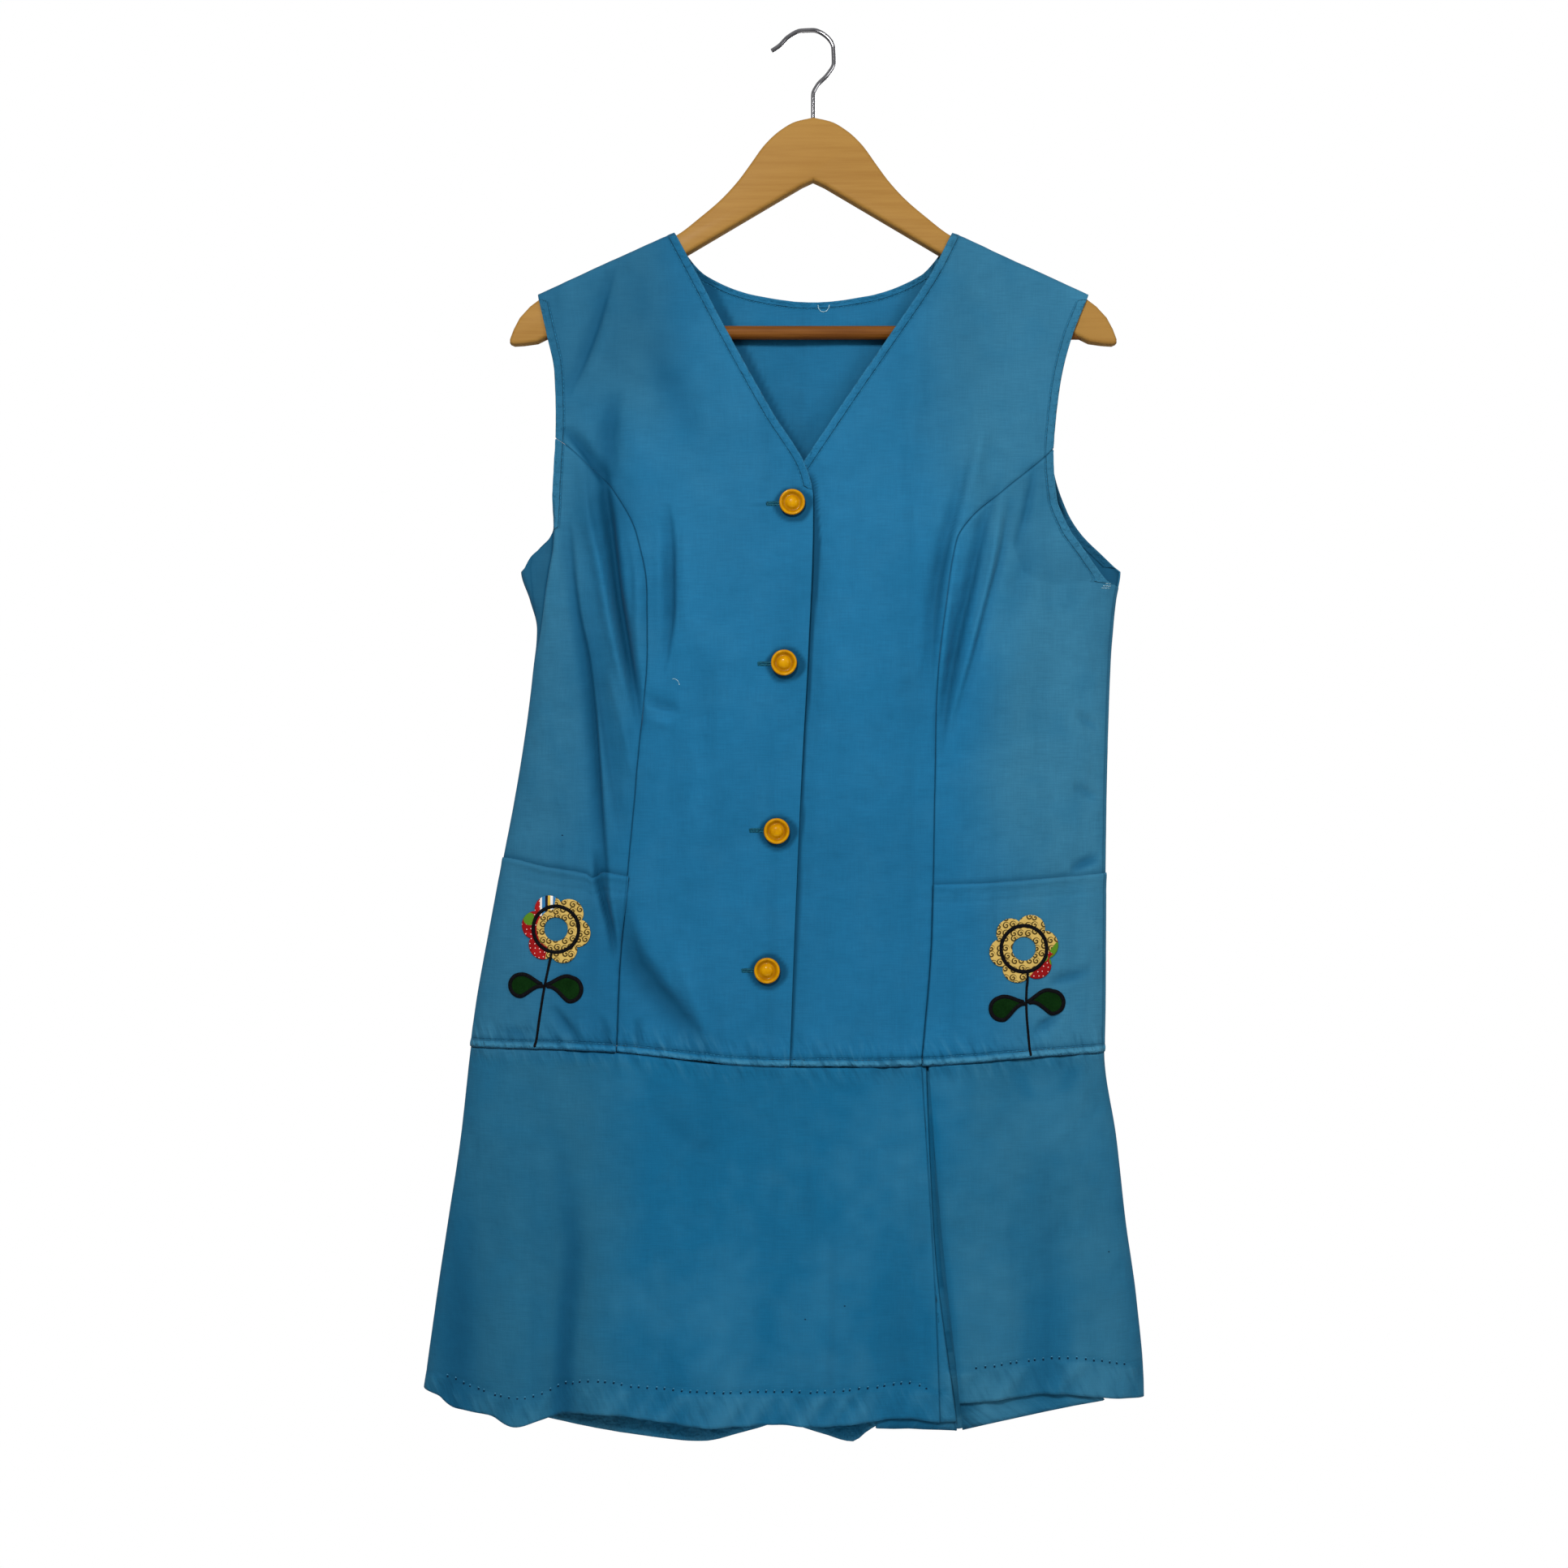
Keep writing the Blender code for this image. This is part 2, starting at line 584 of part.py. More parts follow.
# Heights of the rows, shared where two pieces meet
SHOULDER_ROWS = steps(SHOULDER_Z, (-191.3, 1), (-192.9, 1), (-195.5, 1), (-200.0, 1), (-212.0, 1),
                      (-290.0, 3), (-295.5, 1))
PRINCESS_RIGHT_ROWS = steps(PRINCESS_TOP_RIGHT_Z, (-345.0, 5), (-391.5, 2), (-598.8, 6), (-729.5, 4),
                            (-736.7, 3))
PRINCESS_LEFT_ROWS = steps(PRINCESS_TOP_LEFT_Z, (-345.0, 5), (-391.5, 2), (-617.0, 6), (-739.8, 4),
                           (-746.7, 3))
OUTER_RIGHT_ROWS = steps(-299.0, (-361.0, 4), (-391.5, 3), (-597.5, 6), (-728.0, 4), (-734.8, 3))
OUTER_LEFT_ROWS = steps(-307.0, (-361.0, 4), (-391.5, 3), (-610.0, 6), (-732.0, 4), (-738.8, 3))
LAP_ROWS = steps(NECK_Z, (-146.3, 1), (-147.9, 1), (-150.5, 1), (-155.0, 1), (-168.0, 1), (-290.0, 5),
                 (-341.0, 5), (-395.0, 2), (-611.0, 6), (-740.0, 4), (-747.2, 3))
POCKET_FIRST_ROW = 13
BACK_TOP_ROWS = (SHOULDER_Z, (-191.3, 1), (-192.9, 1), (-195.5, 1), (-200.0, 1), (-212.0, 1), (-345.0, 5),
                 (-391.5, 3))
BACK_BEND_ROWS = 12
SEAM_ROWS = steps(-747.3, (-762.0, 1), (-800.0, 1), (-960.0, 5), (-999.0, 3))

# Where the columns go: shares across a panel, or distances in from its edge
SIDE_COLUMNS = (0.0, 0.012, 0.04, 0.09, 0.17, 0.29, 0.44, 0.62, 0.81, 1.0)
SIDE_COLUMNS_MIRRORED = tuple(1.0 - share for share in reversed(SIDE_COLUMNS))
SIDE_ROUND = (0.0, 0.9, 3.2, 8.0, 16.0)
LEG_ROUND = (0.0, 1.2, 4.5, 12.0)
LAP_EDGE = (0.0, 12.0, 24.0, 33.0, 42.0)
BACK_OUTER_COLUMNS = (0.0, 0.004, 0.018, 0.05, 0.11, 0.18)
NECK_COLUMNS = (NECK_X, 99.5, 97.0, 88.0, 68.0, 41.0, 13.0)


def build_front_centres():
    """The two buttoning fronts: the wearer's right one laps over the left."""
    princess_right = joined(edge(ARMHOLE_RIGHT), edge(PRINCESS_RIGHT, SEAM), PRINCESS_TOP_RIGHT_Z + 1.0)
    princess_left = joined(edge(ARMHOLE_LEFT), edge(PRINCESS_LEFT, -SEAM), PRINCESS_TOP_LEFT_Z + 1.0)
    right = Panel(
        princess_right, edge(NECK_RIGHT),
        SHOULDER_ROWS + PRINCESS_RIGHT_ROWS, LAP_ROWS, by_distance((0.0,), 7, (0.0, 12.0)),
        bottom=bodice_bottom, bottom_rows=4)
    cloth_wall("front_centre_right", FRONT, right.grid(), flat(-WALL), welt_rise, CLOTH, over_lift)
    left = Panel(
        edge(NECK_LEFT), princess_left,
        LAP_ROWS, SHOULDER_ROWS + PRINCESS_LEFT_ROWS, by_distance(LAP_EDGE, 4, (0.0,)),
        bottom=bodice_bottom, bottom_rows=4)
    cloth_wall("front_centre_left", FRONT, left.grid(), flat(-WALL), under_welt, CLOTH, under_sink)


def build_side_fronts():
    """Side fronts from armhole to waist, and the patch pockets made from their lower rows."""
    right = Panel(
        joined(edge(ARMHOLE_RIGHT), side("right"), UNDERARM_Z), edge(PRINCESS_RIGHT, -SEAM),
        OUTER_RIGHT_ROWS, PRINCESS_RIGHT_ROWS, by_share(SIDE_COLUMNS), bottom=bodice_bottom, bottom_rows=4)
    left = Panel(
        edge(PRINCESS_LEFT, SEAM), joined(edge(ARMHOLE_LEFT), side("left"), UNDERARM_Z),
        PRINCESS_LEFT_ROWS, OUTER_LEFT_ROWS, by_share(SIDE_COLUMNS_MIRRORED),
        bottom=bodice_bottom, bottom_rows=4)
    for name, panel in (("right", right), ("left", left)):
        grid = panel.grid()
        cloth_wall("front_side_" + name, FRONT, grid, flat(-WALL), welt_rise, CLOTH)
        cloth_wall("pocket_" + name, FRONT, grid[POCKET_FIRST_ROW:],
                   lambda x, z: GAP + welt_rise(x, z), lambda x, z: GAP + WALL + welt_rise(x, z), CLOTH)


def build_back():
    """Back bodice in one piece, from both shoulders to the waist seam."""
    right_rows = steps(*BACK_TOP_ROWS, (-727.0, 9), (-734.8, 2))
    left_rows = steps(*BACK_TOP_ROWS, (-731.0, 9), (-738.8, 2))
    panel = Panel(
        joined(edge(BACK_ARMHOLE_RIGHT), side("right"), UNDERARM_Z),
        joined(edge(BACK_ARMHOLE_LEFT), side("left"), UNDERARM_Z),
        right_rows, left_rows, by_share(neck_shares()), back_top, BACK_BEND_ROWS, bodice_bottom, 3,
        top_keep=4)
    cloth_wall("back_bodice", BACK, panel.grid(), flat(-WALL), welt_rise, CLOTH)


def neck_shares():
    """Column shares across the back, with columns crowded where the neck scoop leaves the shoulders."""
    half = list(BACK_OUTER_COLUMNS) + [(SHOULDER_X - x) / (2.0 * SHOULDER_X) for x in NECK_COLUMNS]
    return half + [1.0 - share for share in reversed(half)]


def pleat_edge(column, shift=0.0):
    """Edge function x(z) that follows one line of the pleat."""
    return lambda z: read(PLEAT, "z", column, z) + shift


def build_skirt():
    """Apron skirt: main panel, side panel and the pleat that folds behind both."""
    main = Panel(
        side("right"), pleat_edge("seam", -SEAM),
        steps(-735.3, (-752.0, 1), (-792.0, 1), (-945.0, 5), (-980.5, 3)), SEAM_ROWS,
        by_distance(SIDE_ROUND, 14, (0.0,)), skirt_top, 3, hem(SKIRT_HEM), 4)
    cloth_wall("skirt_main", SKIRT, main.grid(), flat(-WALL), flat(0.0), CLOTH)
    panel = Panel(
        pleat_edge("side_fold", GAP), side("left"),
        steps(-747.2, (-762.0, 1), (-800.0, 1), (-950.0, 4), (-985.9, 2)),
        steps(-739.3, (-755.0, 1), (-795.0, 1), (-950.0, 4), (-988.2, 2)),
        by_distance((0.0,), 5, SIDE_ROUND), skirt_top, 3, hem(SIDE_HEM), 3)
    cloth_wall("skirt_side", SKIRT, panel.grid(), flat(-WALL), flat(0.0), CLOTH)
    build_pleat()


def pleat_section(z):
    """Middle line of the folded pleat at a height, as (x, depth behind the skirt's face) points."""
    line = {name: read(PLEAT, "z", name, z) for name in Pleat._fields if name != "z"}
    half, turn = PLEAT_WALL / 2.0, line["spacing"] / 2.0
    tight = half + turn
    layers = [half, half + 2 * turn, half + 4 * turn]

    def fold_round(x, depth, way, down):
        angles = [math.pi * i / PLEAT_FOLD_STEPS for i in range(PLEAT_FOLD_STEPS + 1)]
        return [(x + way * turn * math.sin(a), depth - down * turn * math.cos(a)) for a in angles]

    front_turn, right_turn = line["fold"] - tight, line["back_right"] + tight
    left_turn = line["back_left"] - tight
    points = [(line["seam"] + SEAM, layers[0])]
    points += fold_round(front_turn, layers[0] + turn, 1, 1)
    points += fold_round(right_turn, layers[1] + turn, -1, 1)
    shares = [i / PLEAT_BACK_STEPS for i in range(1, PLEAT_BACK_STEPS)]
    points += [(mix(right_turn, left_turn, share), layers[2]) for share in shares]
    points += fold_round(left_turn, layers[1] + turn, 1, -1)
    points.append((mix(left_turn, line["side_fold"], 0.5), layers[1]))
    points.append((line["side_fold"] + PLEAT_TURN_UNDER, layers[1]))
    return points


def build_pleat():
    """Pleat insert: a strip beside the main panel that folds behind, runs across and folds back."""
    outer, inner = [], []
    first, last = SEAM_ROWS[0], SEAM_ROWS[-1]
    for row_z in SEAM_ROWS:
        share = (row_z - first) / (last - first)
        section = pleat_section(row_z)
        outer_row, inner_row = [], []
        for index, (x, depth) in enumerate(section):
            before = section[max(index - 1, 0)]
            after = section[min(index + 1, len(section) - 1)]
            run_x, run_depth = after[0] - before[0], after[1] - before[1]
            length = math.hypot(run_x, run_depth)
            out_x, out_depth = run_depth / length, -run_x / length
            behind = ramp(depth, PLEAT_WALL, 2.0 * PLEAT_WALL)
            low_z = mix(read(SKIRT_HEM, "x", "z", x), read(UNDERLAY_HEM, "x", "z", x), behind)
            z = mix(mix(row_z, first, share), low_z, share) if index else row_z
            for row, way in ((outer_row, 1.0), (inner_row, -1.0)):
                place_x = x + way * out_x * PLEAT_WALL / 2.0
                place_depth = depth + way * out_depth * PLEAT_WALL / 2.0
                point, normal = SKIRT.at(place_x, z)
                row.append(point - normal * place_depth)
        outer.append(outer_row)
        inner.append(inner_row)
    wall_solid("skirt_pleat", outer, inner, CLOTH)


def build_legs():
    """Shorts under the skirt: a front and a back for each leg, open at the hem."""
    inner_rows = (-747.4, (CROTCH_START_Z, 2), (CROTCH_Z, 5), (-985.0, 4), (-1008.0, 2))
    right_rows = (-735.4, (CROTCH_START_Z, 2), (CROTCH_Z, 5), (-960.0, 4), (-976.0, 2))
    left_rows = (-739.4, (CROTCH_START_Z, 2), (CROTCH_Z, 5), (-960.0, 4), (-974.0, 2))
    layers = (("front", RIGHT_LEG_FRONT, LEFT_LEG_FRONT, LEG_INSET),
              ("back", RIGHT_LEG_BACK, LEFT_LEG_BACK, 0.0))
    for layer, right_cloth, left_cloth, inset in layers:
        right = Panel(
            side("right", inset), edge(INSEAM_RIGHT, -SEAM), steps(*right_rows), steps(*inner_rows),
            by_distance(SIDE_ROUND, 4, LEG_ROUND), skirt_top, 3, hem(RIGHT_LEG_HEM), 4)
        left = Panel(
            edge(INSEAM_LEFT, SEAM), side("left", -inset), steps(*inner_rows), steps(*left_rows),
            by_distance(LEG_ROUND, 4, SIDE_ROUND), skirt_top, 3, hem(LEFT_LEG_HEM), 4)
        cloth_wall("shorts_%s_right" % layer, right_cloth, right.grid(), flat(-WALL), flat(0.0), CLOTH)
        cloth_wall("shorts_%s_left" % layer, left_cloth, left.grid(), flat(-WALL), flat(0.0), CLOTH)


def leaf_width(share):
    """Share of a leaf's full half width, from its narrow root to its round end."""
    widening = LEAF_ROOT_SHARE + (1.0 - LEAF_ROOT_SHARE) * ramp(share, 0.0, LEAF_WIDEST)
    past = max(share - LEAF_WIDEST, 0.0) / (1.0 - LEAF_WIDEST)
    return max(widening * math.sqrt(1.0 - past ** 2), LEAF_ROOT_SHARE)


def build_motifs():
    """Applied flowers and leaves, laid on the pockets' faces."""
    base = GAP + WALL + MOTIF_GAP
    for flower in FLOWERS:
        rings = []
        for share in (0.0, 0.5, 1.0):
            ring = []
            for i in range(PETALS * PETAL_STEPS):
                angle = 2.0 * math.pi * i / (PETALS * PETAL_STEPS)
                lobe = abs(math.sin(PETALS / 2.0 * angle)) ** 0.7
                radius = mix(PETAL_HOLE_RADIUS, mix(PETAL_VALLEY_RADIUS, PETAL_TIP_RADIUS, lobe), share)
                turned = angle + flower.petal_turn
                ring.append((flower.x + radius * math.cos(turned), flower.z + radius * math.sin(turned)))
            rings.append(ring)
        cloth_wall(flower.name, FRONT, rings, flat(base), flat(base + PETAL_WALL), PETAL, ring=True)
    for leaf in LEAVES:
        run_x, run_z = leaf.tip_x - leaf.root_x, leaf.tip_z - leaf.root_z
        length = math.hypot(run_x, run_z)
        across_x, across_z = -run_z / length, run_x / length
        up = math.copysign(1.0, across_z)
        grid = []
        for i in range(LEAF_STEPS + 1):
            share = i / LEAF_STEPS
            half = leaf.width * leaf_width(share)
            bow = up * leaf.bow * math.sin(math.pi * min(share / LEAF_WIDEST, 1.0))
            away = (bow - half, bow, bow + half)
            grid.append([(leaf.root_x + run_x * share + across_x * distance,
                          leaf.root_z + run_z * share + across_z * distance) for distance in away])
        cloth_wall(leaf.name, FRONT, grid, flat(base), flat(base + LEAF_WALL), LEAF_CLOTH)


def build_buttons():
    """Turned buttons with a short foot, each square to the cloth where it is sewn."""
    for place in BUTTONS:
        bm = bmesh.new()
        verts = [bm.verts.new((ring.radius * MM, 0.0, ring.height * MM)) for ring in BUTTON_PROFILE]
        edges = [bm.edges.new(pair) for pair in zip(verts, verts[1:])]
        bmesh.ops.spin(bm, geom=verts + edges, cent=(0, 0, 0), axis=(0, 0, 1), angle=2.0 * math.pi,
                       steps=BUTTON_STEPS, use_merge=True)
        bmesh.ops.remove_doubles(bm, verts=bm.verts, dist=0.00001)
        button = add_object(place.name, bm, YELLOW)
        button.data.shade_smooth()
        button.data.set_sharp_from_angle(angle=math.radians(50))
        point, normal = FRONT.at(place.x, place.z)
        seat = point + normal * (over_lift(place.x, place.z) + GAP)
        turned = normal.to_track_quat("Z", "Y").to_matrix().to_4x4()
        button.matrix_world = Matrix.Translation(seat * MM) @ turned


def build_hanger():
    """Flat shaped hanger body, its round bar and the wire hook."""
    bm = bmesh.new()
    half = [(corner.x, corner.z) for corner in HANGER_HALF]
    outline = half + [(-x, z) for x, z in reversed(half[1:-1])]
    face = bm.faces.new([bm.verts.new((x * MM, -HANGER_THICKNESS / 2.0 * MM, z * MM)) for x, z in outline])
    pushed = bmesh.ops.extrude_face_region(bm, geom=[face])["geom"]
    moved = [item for item in pushed if isinstance(item, bmesh.types.BMVert)]
    bmesh.ops.translate(bm, verts=moved, vec=(0.0, HANGER_THICKNESS * MM, 0.0))
    body = add_object("hanger_body", bm, WOOD)
    rounding = body.modifiers.new("rounded_edges", "BEVEL")
    rounding.width = HANGER_ROUND * MM
    rounding.segments = 2
    rounding.limit_method = "ANGLE"
    rounding.angle_limit = math.radians(70)

    bm = bmesh.new()
    lying = Matrix.Translation((0.0, 0.0, BAR_Z * MM)) @ Matrix.Rotation(math.pi / 2.0, 4, "Y")
    bmesh.ops.create_cone(bm, cap_ends=True, segments=BAR_SIDES, radius1=BAR_RADIUS * MM,
                          radius2=BAR_RADIUS * MM, depth=BAR_STOCK * MM, matrix=lying)
    low, high = HANGER_HALF[BAR_SEAT_CORNER], HANGER_HALF[BAR_SEAT_CORNER + 1]
    slope = Vector((high.x - low.x, 0.0, high.z - low.z)).normalized()
    for way in (1.0, -1.0):
        outward = Vector((-slope.z * way, 0.0, slope.x))
        if outward.x * way < 0.0:
            outward = -outward
        seat = Vector((low.x * way, 0.0, low.z)) - outward * BAR_SEAT_GAP
        everything = bm.verts[:] + bm.edges[:] + bm.faces[:]
        cut = bmesh.ops.bisect_plane(bm, geom=everything, plane_co=seat * MM, plane_no=outward,
                                     clear_outer=True)
        rim = [item for item in cut["geom_cut"] if isinstance(item, bmesh.types.BMEdge)]
        bmesh.ops.edgeloop_fill(bm, edges=rim)
    add_object("hanger_bar", bm, BAR_WOOD)

    curve = bpy.data.curves.new("hanger_hook", "CURVE")
    curve.dimensions = "3D"
    curve.bevel_depth = HOOK_WIRE * MM
    curve.bevel_resolution = 2
    curve.use_fill_caps = True
    curve.resolution_u = 1
    curve.render_resolution_u = 0
    spline = curve.splines.new("POLY")
    count = (len(HOOK_PATH) - 1) * HOOK_SAMPLES
    keyed = [HookKey(i, point.x, point.z) for i, point in enumerate(HOOK_PATH)]
    spline.points.add(count)
    for index, knot in enumerate(spline.points):
        place = index / HOOK_SAMPLES
        knot.co = (read(keyed, "key", "x", place) * MM, 0.0, read(keyed, "key", "z", place) * MM, 1.0)
    curve.materials.append(material(STEEL))
    hook = bpy.data.objects.new("hanger_hook", curve)
    bpy.context.scene.collection.objects.link(hook)



def main():
    """Clear the scene and build each sub-part."""
    for old in list(bpy.data.objects):
        bpy.data.objects.remove(old, do_unlink=True)
    build_front_centres()
    build_side_fronts()
    build_back()
    build_skirt()
    build_legs()
    build_motifs()
    build_buttons()
    build_hanger()


main()
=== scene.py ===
"""Looks of the sleeveless button-front playsuit that hangs on a wooden hanger.

Each cloth panel lies on the same hanging form as its solid, with finer folds, seams and puckers.
The tables are in millimetres and the meshes in metres. X runs to the wearer's left, -Y is the
front and Z is up.
"""

import logging
import math
from dataclasses import dataclass, field, replace
from enum import Enum
from typing import Callable, Iterable, Optional, Union

import bmesh
import bpy
import numpy as np
from mathutils import Matrix, Vector, noise


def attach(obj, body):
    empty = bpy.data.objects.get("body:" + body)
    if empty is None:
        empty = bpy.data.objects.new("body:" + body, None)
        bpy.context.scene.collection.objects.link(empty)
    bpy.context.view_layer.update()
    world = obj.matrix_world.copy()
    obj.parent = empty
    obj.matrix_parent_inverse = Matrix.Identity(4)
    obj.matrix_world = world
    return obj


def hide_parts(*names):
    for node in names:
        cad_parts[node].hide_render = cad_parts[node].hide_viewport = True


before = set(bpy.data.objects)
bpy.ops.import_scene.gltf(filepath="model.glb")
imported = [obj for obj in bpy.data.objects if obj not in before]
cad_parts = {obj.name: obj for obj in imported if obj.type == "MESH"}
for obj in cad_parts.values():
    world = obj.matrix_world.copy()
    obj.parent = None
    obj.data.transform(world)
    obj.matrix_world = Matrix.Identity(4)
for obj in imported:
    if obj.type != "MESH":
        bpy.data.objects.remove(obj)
LOG = logging.getLogger("playsuit")
MM = 0.001
BODY = "root"

Array = np.ndarray
Surface = Callable[[Array, Array], tuple[Array, Array]]
Relief = Callable[[Array, Array], Array]
Line = Callable[[Array], Array]
Pairs = tuple[tuple[float, float], ...]
Colour = tuple[float, float, float]
Mesh = bmesh.types.BMesh
Piece = bpy.types.Object
Material = bpy.types.Material
Socket = bpy.types.NodeSocket
Sockets = bpy.types.bpy_prop_collection

# Cloth walls, clearances and the shape of the hanging line
WALL = 1.4
CLOTH_THICKNESS = 1.0
GAP = 0.3
SEAM = 0.06
WAIST_GAP = 0.12
SIDE_POWER = 2.6
CROTCH_POWER = 2.4
SHOULDER_ROLL = 8.5
NECK_X, NECK_Z = 101.0, -145.5
SHOULDER_X, SHOULDER_Z = 199.5, -190.5
UNDERARM_Z, UNDERARM_LEFT_Z = -391.5, -403.5
PRINCESS_TOP_RIGHT_Z = -297.5
PRINCESS_TOP_LEFT_Z = -305.5
CROTCH_START_Z, CROTCH_Z = -790.0, -872.0
LEG_INSET = WALL + 0.8
WELT_HEIGHT = 5.6
WELT_RISE = 1.7
CREASE_GAIN = 1.6
NOISE_GAIN = 1.6
PLEAT_X = 95.0

# Distance of topstitching from its edge, how far thread lies off the cloth, and how deep a stitch sinks in
EDGE_STITCH = 6.2
NECK_STITCH = 5.0
LIFT = 0.1
BEDDED = 0.08

# Pocket cloth, and welding distance in metres
POCKET_THICKNESS = 1.2
WELD = 1e-6

# Angles where the hanger's rims are rounded and where its shading turns sharp, and where the lights look
SHARP_RIM, SHARP_SHADE = math.radians(70), math.radians(40)
STAGE_AIM = (0.0, 0.0, -0.6)


def ramp(value: Array, start: float, end: float) -> Array:
    """Smooth step.

    Args:
        value: Places to read.
        start: Place where the step is 0.
        end: Place where the step is 1.

    Returns:
        The step's height at each place.
    """
    share = np.clip((np.asarray(value, float) - start) / (end - start), 0.0, 1.0)
    return share * share * (3.0 - 2.0 * share)


def mix(first: Array, second: Array, share: Array) -> Array:
    """Value between first and second."""
    return first + (second - first) * share


def bell(distance: Array, width: Array) -> Array:
    """Soft bump, 1 at no distance and near 0 past its width."""
    return np.exp(-np.square(distance / width))


def wander(x: Array, z: Array, scale: float, seed: float) -> Array:
    """Smooth uneven values.

    Args:
        x: Places across, in millimetres.
        z: Places up, in millimetres.
        scale: Size of one lump, in millimetres.
        seed: Which pattern.

    Returns:
        Values from about -1 to 1.
    """
    flat_x, flat_z = np.broadcast_arrays(x, z)
    values = [noise.noise(Vector((a / scale, seed, b / scale))) for a, b in zip(flat_x.ravel(), flat_z.ravel())]
    return np.array(values).reshape(flat_x.shape) * NOISE_GAIN


@dataclass(frozen=True)
class Curve:
    """Smooth curve through points, each a (place, value), moved by shift."""

    points: Pairs
    shift: float = 0.0

    def at(self, place: Array) -> Array:
        """Value at each place, level past both ends."""
        keys, values = np.array(sorted(self.points), dtype=float).T
        gaps = np.diff(keys)
        rises = np.diff(values) / gaps
        before, after = rises[:-1], rises[1:]
        total = before + after
        slopes = np.concatenate((rises[:1], np.zeros(len(keys) - 2), rises[-1:]))
        same_way = before * after > 0.0
        slopes[1:-1][same_way] = 2.0 * (before * after)[same_way] / total[same_way]
        place = np.clip(np.asarray(place, float), keys[0], keys[-1])
        low = np.clip(np.searchsorted(keys, place, side="right") - 1, 0, len(keys) - 2)
        step = gaps[low]
        share = (place - keys[low]) / step
        square, cube = share ** 2, share ** 3
        return ((2 * cube - 3 * square + 1) * values[low] + (cube - 2 * square + share) * step * slopes[low]
                + (3 * square - 2 * cube) * values[low + 1] + (cube - square) * step * slopes[low + 1]
                + self.shift)

    def slope(self, place: Array) -> Array:
        """How fast the value changes at each place."""
        return self.at(place + 0.5) - self.at(place - 0.5)

    def moved(self, shift: float) -> "Curve":
        """The same curve, moved."""
        return Curve(self.points, self.shift + shift)


# Outline of the whole garment at its heights: right and left sides, and depth of each layer
SIDE_RIGHT = Curve((
    (-60, -214), (-285, -214), (-360, -213), (-392, -212), (-412, -205.6), (-433, -200.5),
    (-460, -202.5), (-530, -212), (-613, -227.4), (-707, -244.4), (-740, -248.8), (-801, -255.6),
    (-860, -264.5), (-919, -273.3), (-978, -281.5), (-1030, -288)))
SIDE_LEFT = Curve((
    (-60, 224), (-360, 224), (-392, 223.2), (-412, 219.7), (-433, 217.5), (-460, 215.5), (-530, 213.2),
    (-613, 212), (-707, 211.5), (-740, 211), (-801, 219.7), (-860, 226.2), (-919, 234.4),
    (-978, 239.5), (-1030, 240)))
FRONT_DEPTH = Curve((
    (-60, 8), (-195, 8), (-285, 17), (-360, 25), (-392, 27.5), (-412, 28), (-433, 28),
    (-460, 27.5), (-530, 25.5), (-613, 24), (-707, 24.5), (-740, 25), (-801, 26), (-860, 27.5),
    (-919, 29), (-978, 30), (-1030, 31)))
BACK_DEPTH = Curve((
    (-60, 8), (-195, 8), (-285, 10), (-360, 12), (-392, 12.5), (-460, 12.5), (-530, 12),
    (-740, 12), (-801, 13), (-860, 14), (-919, 15), (-978, 16), (-1030, 17)))
LEG_DEPTH = Curve(((-707, 18), (-801, 18), (-860, 17), (-919, 16), (-978, 15), (-1030, 14)))

ARMHOLE_RIGHT = Curve((
    (-190.5, -199.5), (-221, -192.5), (-250, -186.5), (-285, -185.3), (-332, -187.4), (-361, -188.5),
    (-371, -193.5), (-382, -206.5), (-391.5, -212)))
ARMHOLE_LEFT = Curve((
    (-190.5, 199.5), (-226, 185.5), (-256, 177.9), (-291, 173.4), (-309, 172.2), (-338, 174),
    (-361, 182.5), (-378, 194.5), (-390, 203.5), (-399, 211.5), (-403.5, 221.2)))
BACK_ARMHOLE_RIGHT = Curve((
    (-190.5, -199.5), (-225, -189), (-255, -182.5), (-290, -180.5), (-330, -182.5), (-360, -188),
    (-376, -201.5), (-391.5, -212)))
BACK_ARMHOLE_LEFT = Curve((
    (-190.5, 199.5), (-226, 184.5), (-256, 176.5), (-291, 172.5), (-320, 175.5), (-345, 184),
    (-363, 195.5), (-379, 211), (-391.5, 223.2)))
PRINCESS_RIGHT = Curve((
    (-297, -185.2), (-302, -178), (-310, -168.5), (-336, -143.1), (-368, -126.3), (-408, -118.9), (-449, -118.7),
    (-507, -123.7), (-612, -133.3), (-681, -138.9), (-737, -140.8)))
PRINCESS_LEFT = Curve((
    (-305, 172.2), (-311, 165.8), (-336, 135), (-356, 111.8), (-371, 101.9), (-414, 94.3),
    (-467, 88.5), (-536, 86.8), (-652, 84.5), (-747, 77)))
LAP_RIGHT = Curve((
    (-145.5, -101), (-177, -84), (-216, -63.7), (-277, -30.5), (-325, -3.2), (-341, -0.4),
    (-360, -0.5), (-450, -3.9), (-536, -8.5), (-640, -13.1), (-748, -17.3)))
LAP_LEFT = Curve((
    (-145.5, 101), (-175, 85.9), (-219, 56.8), (-266, 24.8), (-316, -8.4), (-336, -22.5),
    (-352, -30.5), (-450, -33.5), (-536, -38), (-640, -43), (-748, -47)))
INSEAM_RIGHT = Curve(((-735, -20), (-872, -21), (-940, -25), (-1020, -29.5)))
INSEAM_LEFT = Curve(((-735, -20), (-872, -19), (-940, -17.5), (-1020, -14.5)))
WAIST = Curve((
    (-252, -735), (-190, -735.3), (-150, -736.6), (-120, -739.2), (-95, -742.2), (-70, -744.9),
    (-40, -746.9), (-10, -747.5), (35, -747.5), (77, -746.7), (110, -744.8), (140, -742.4),
    (175, -740.1), (212, -739)))
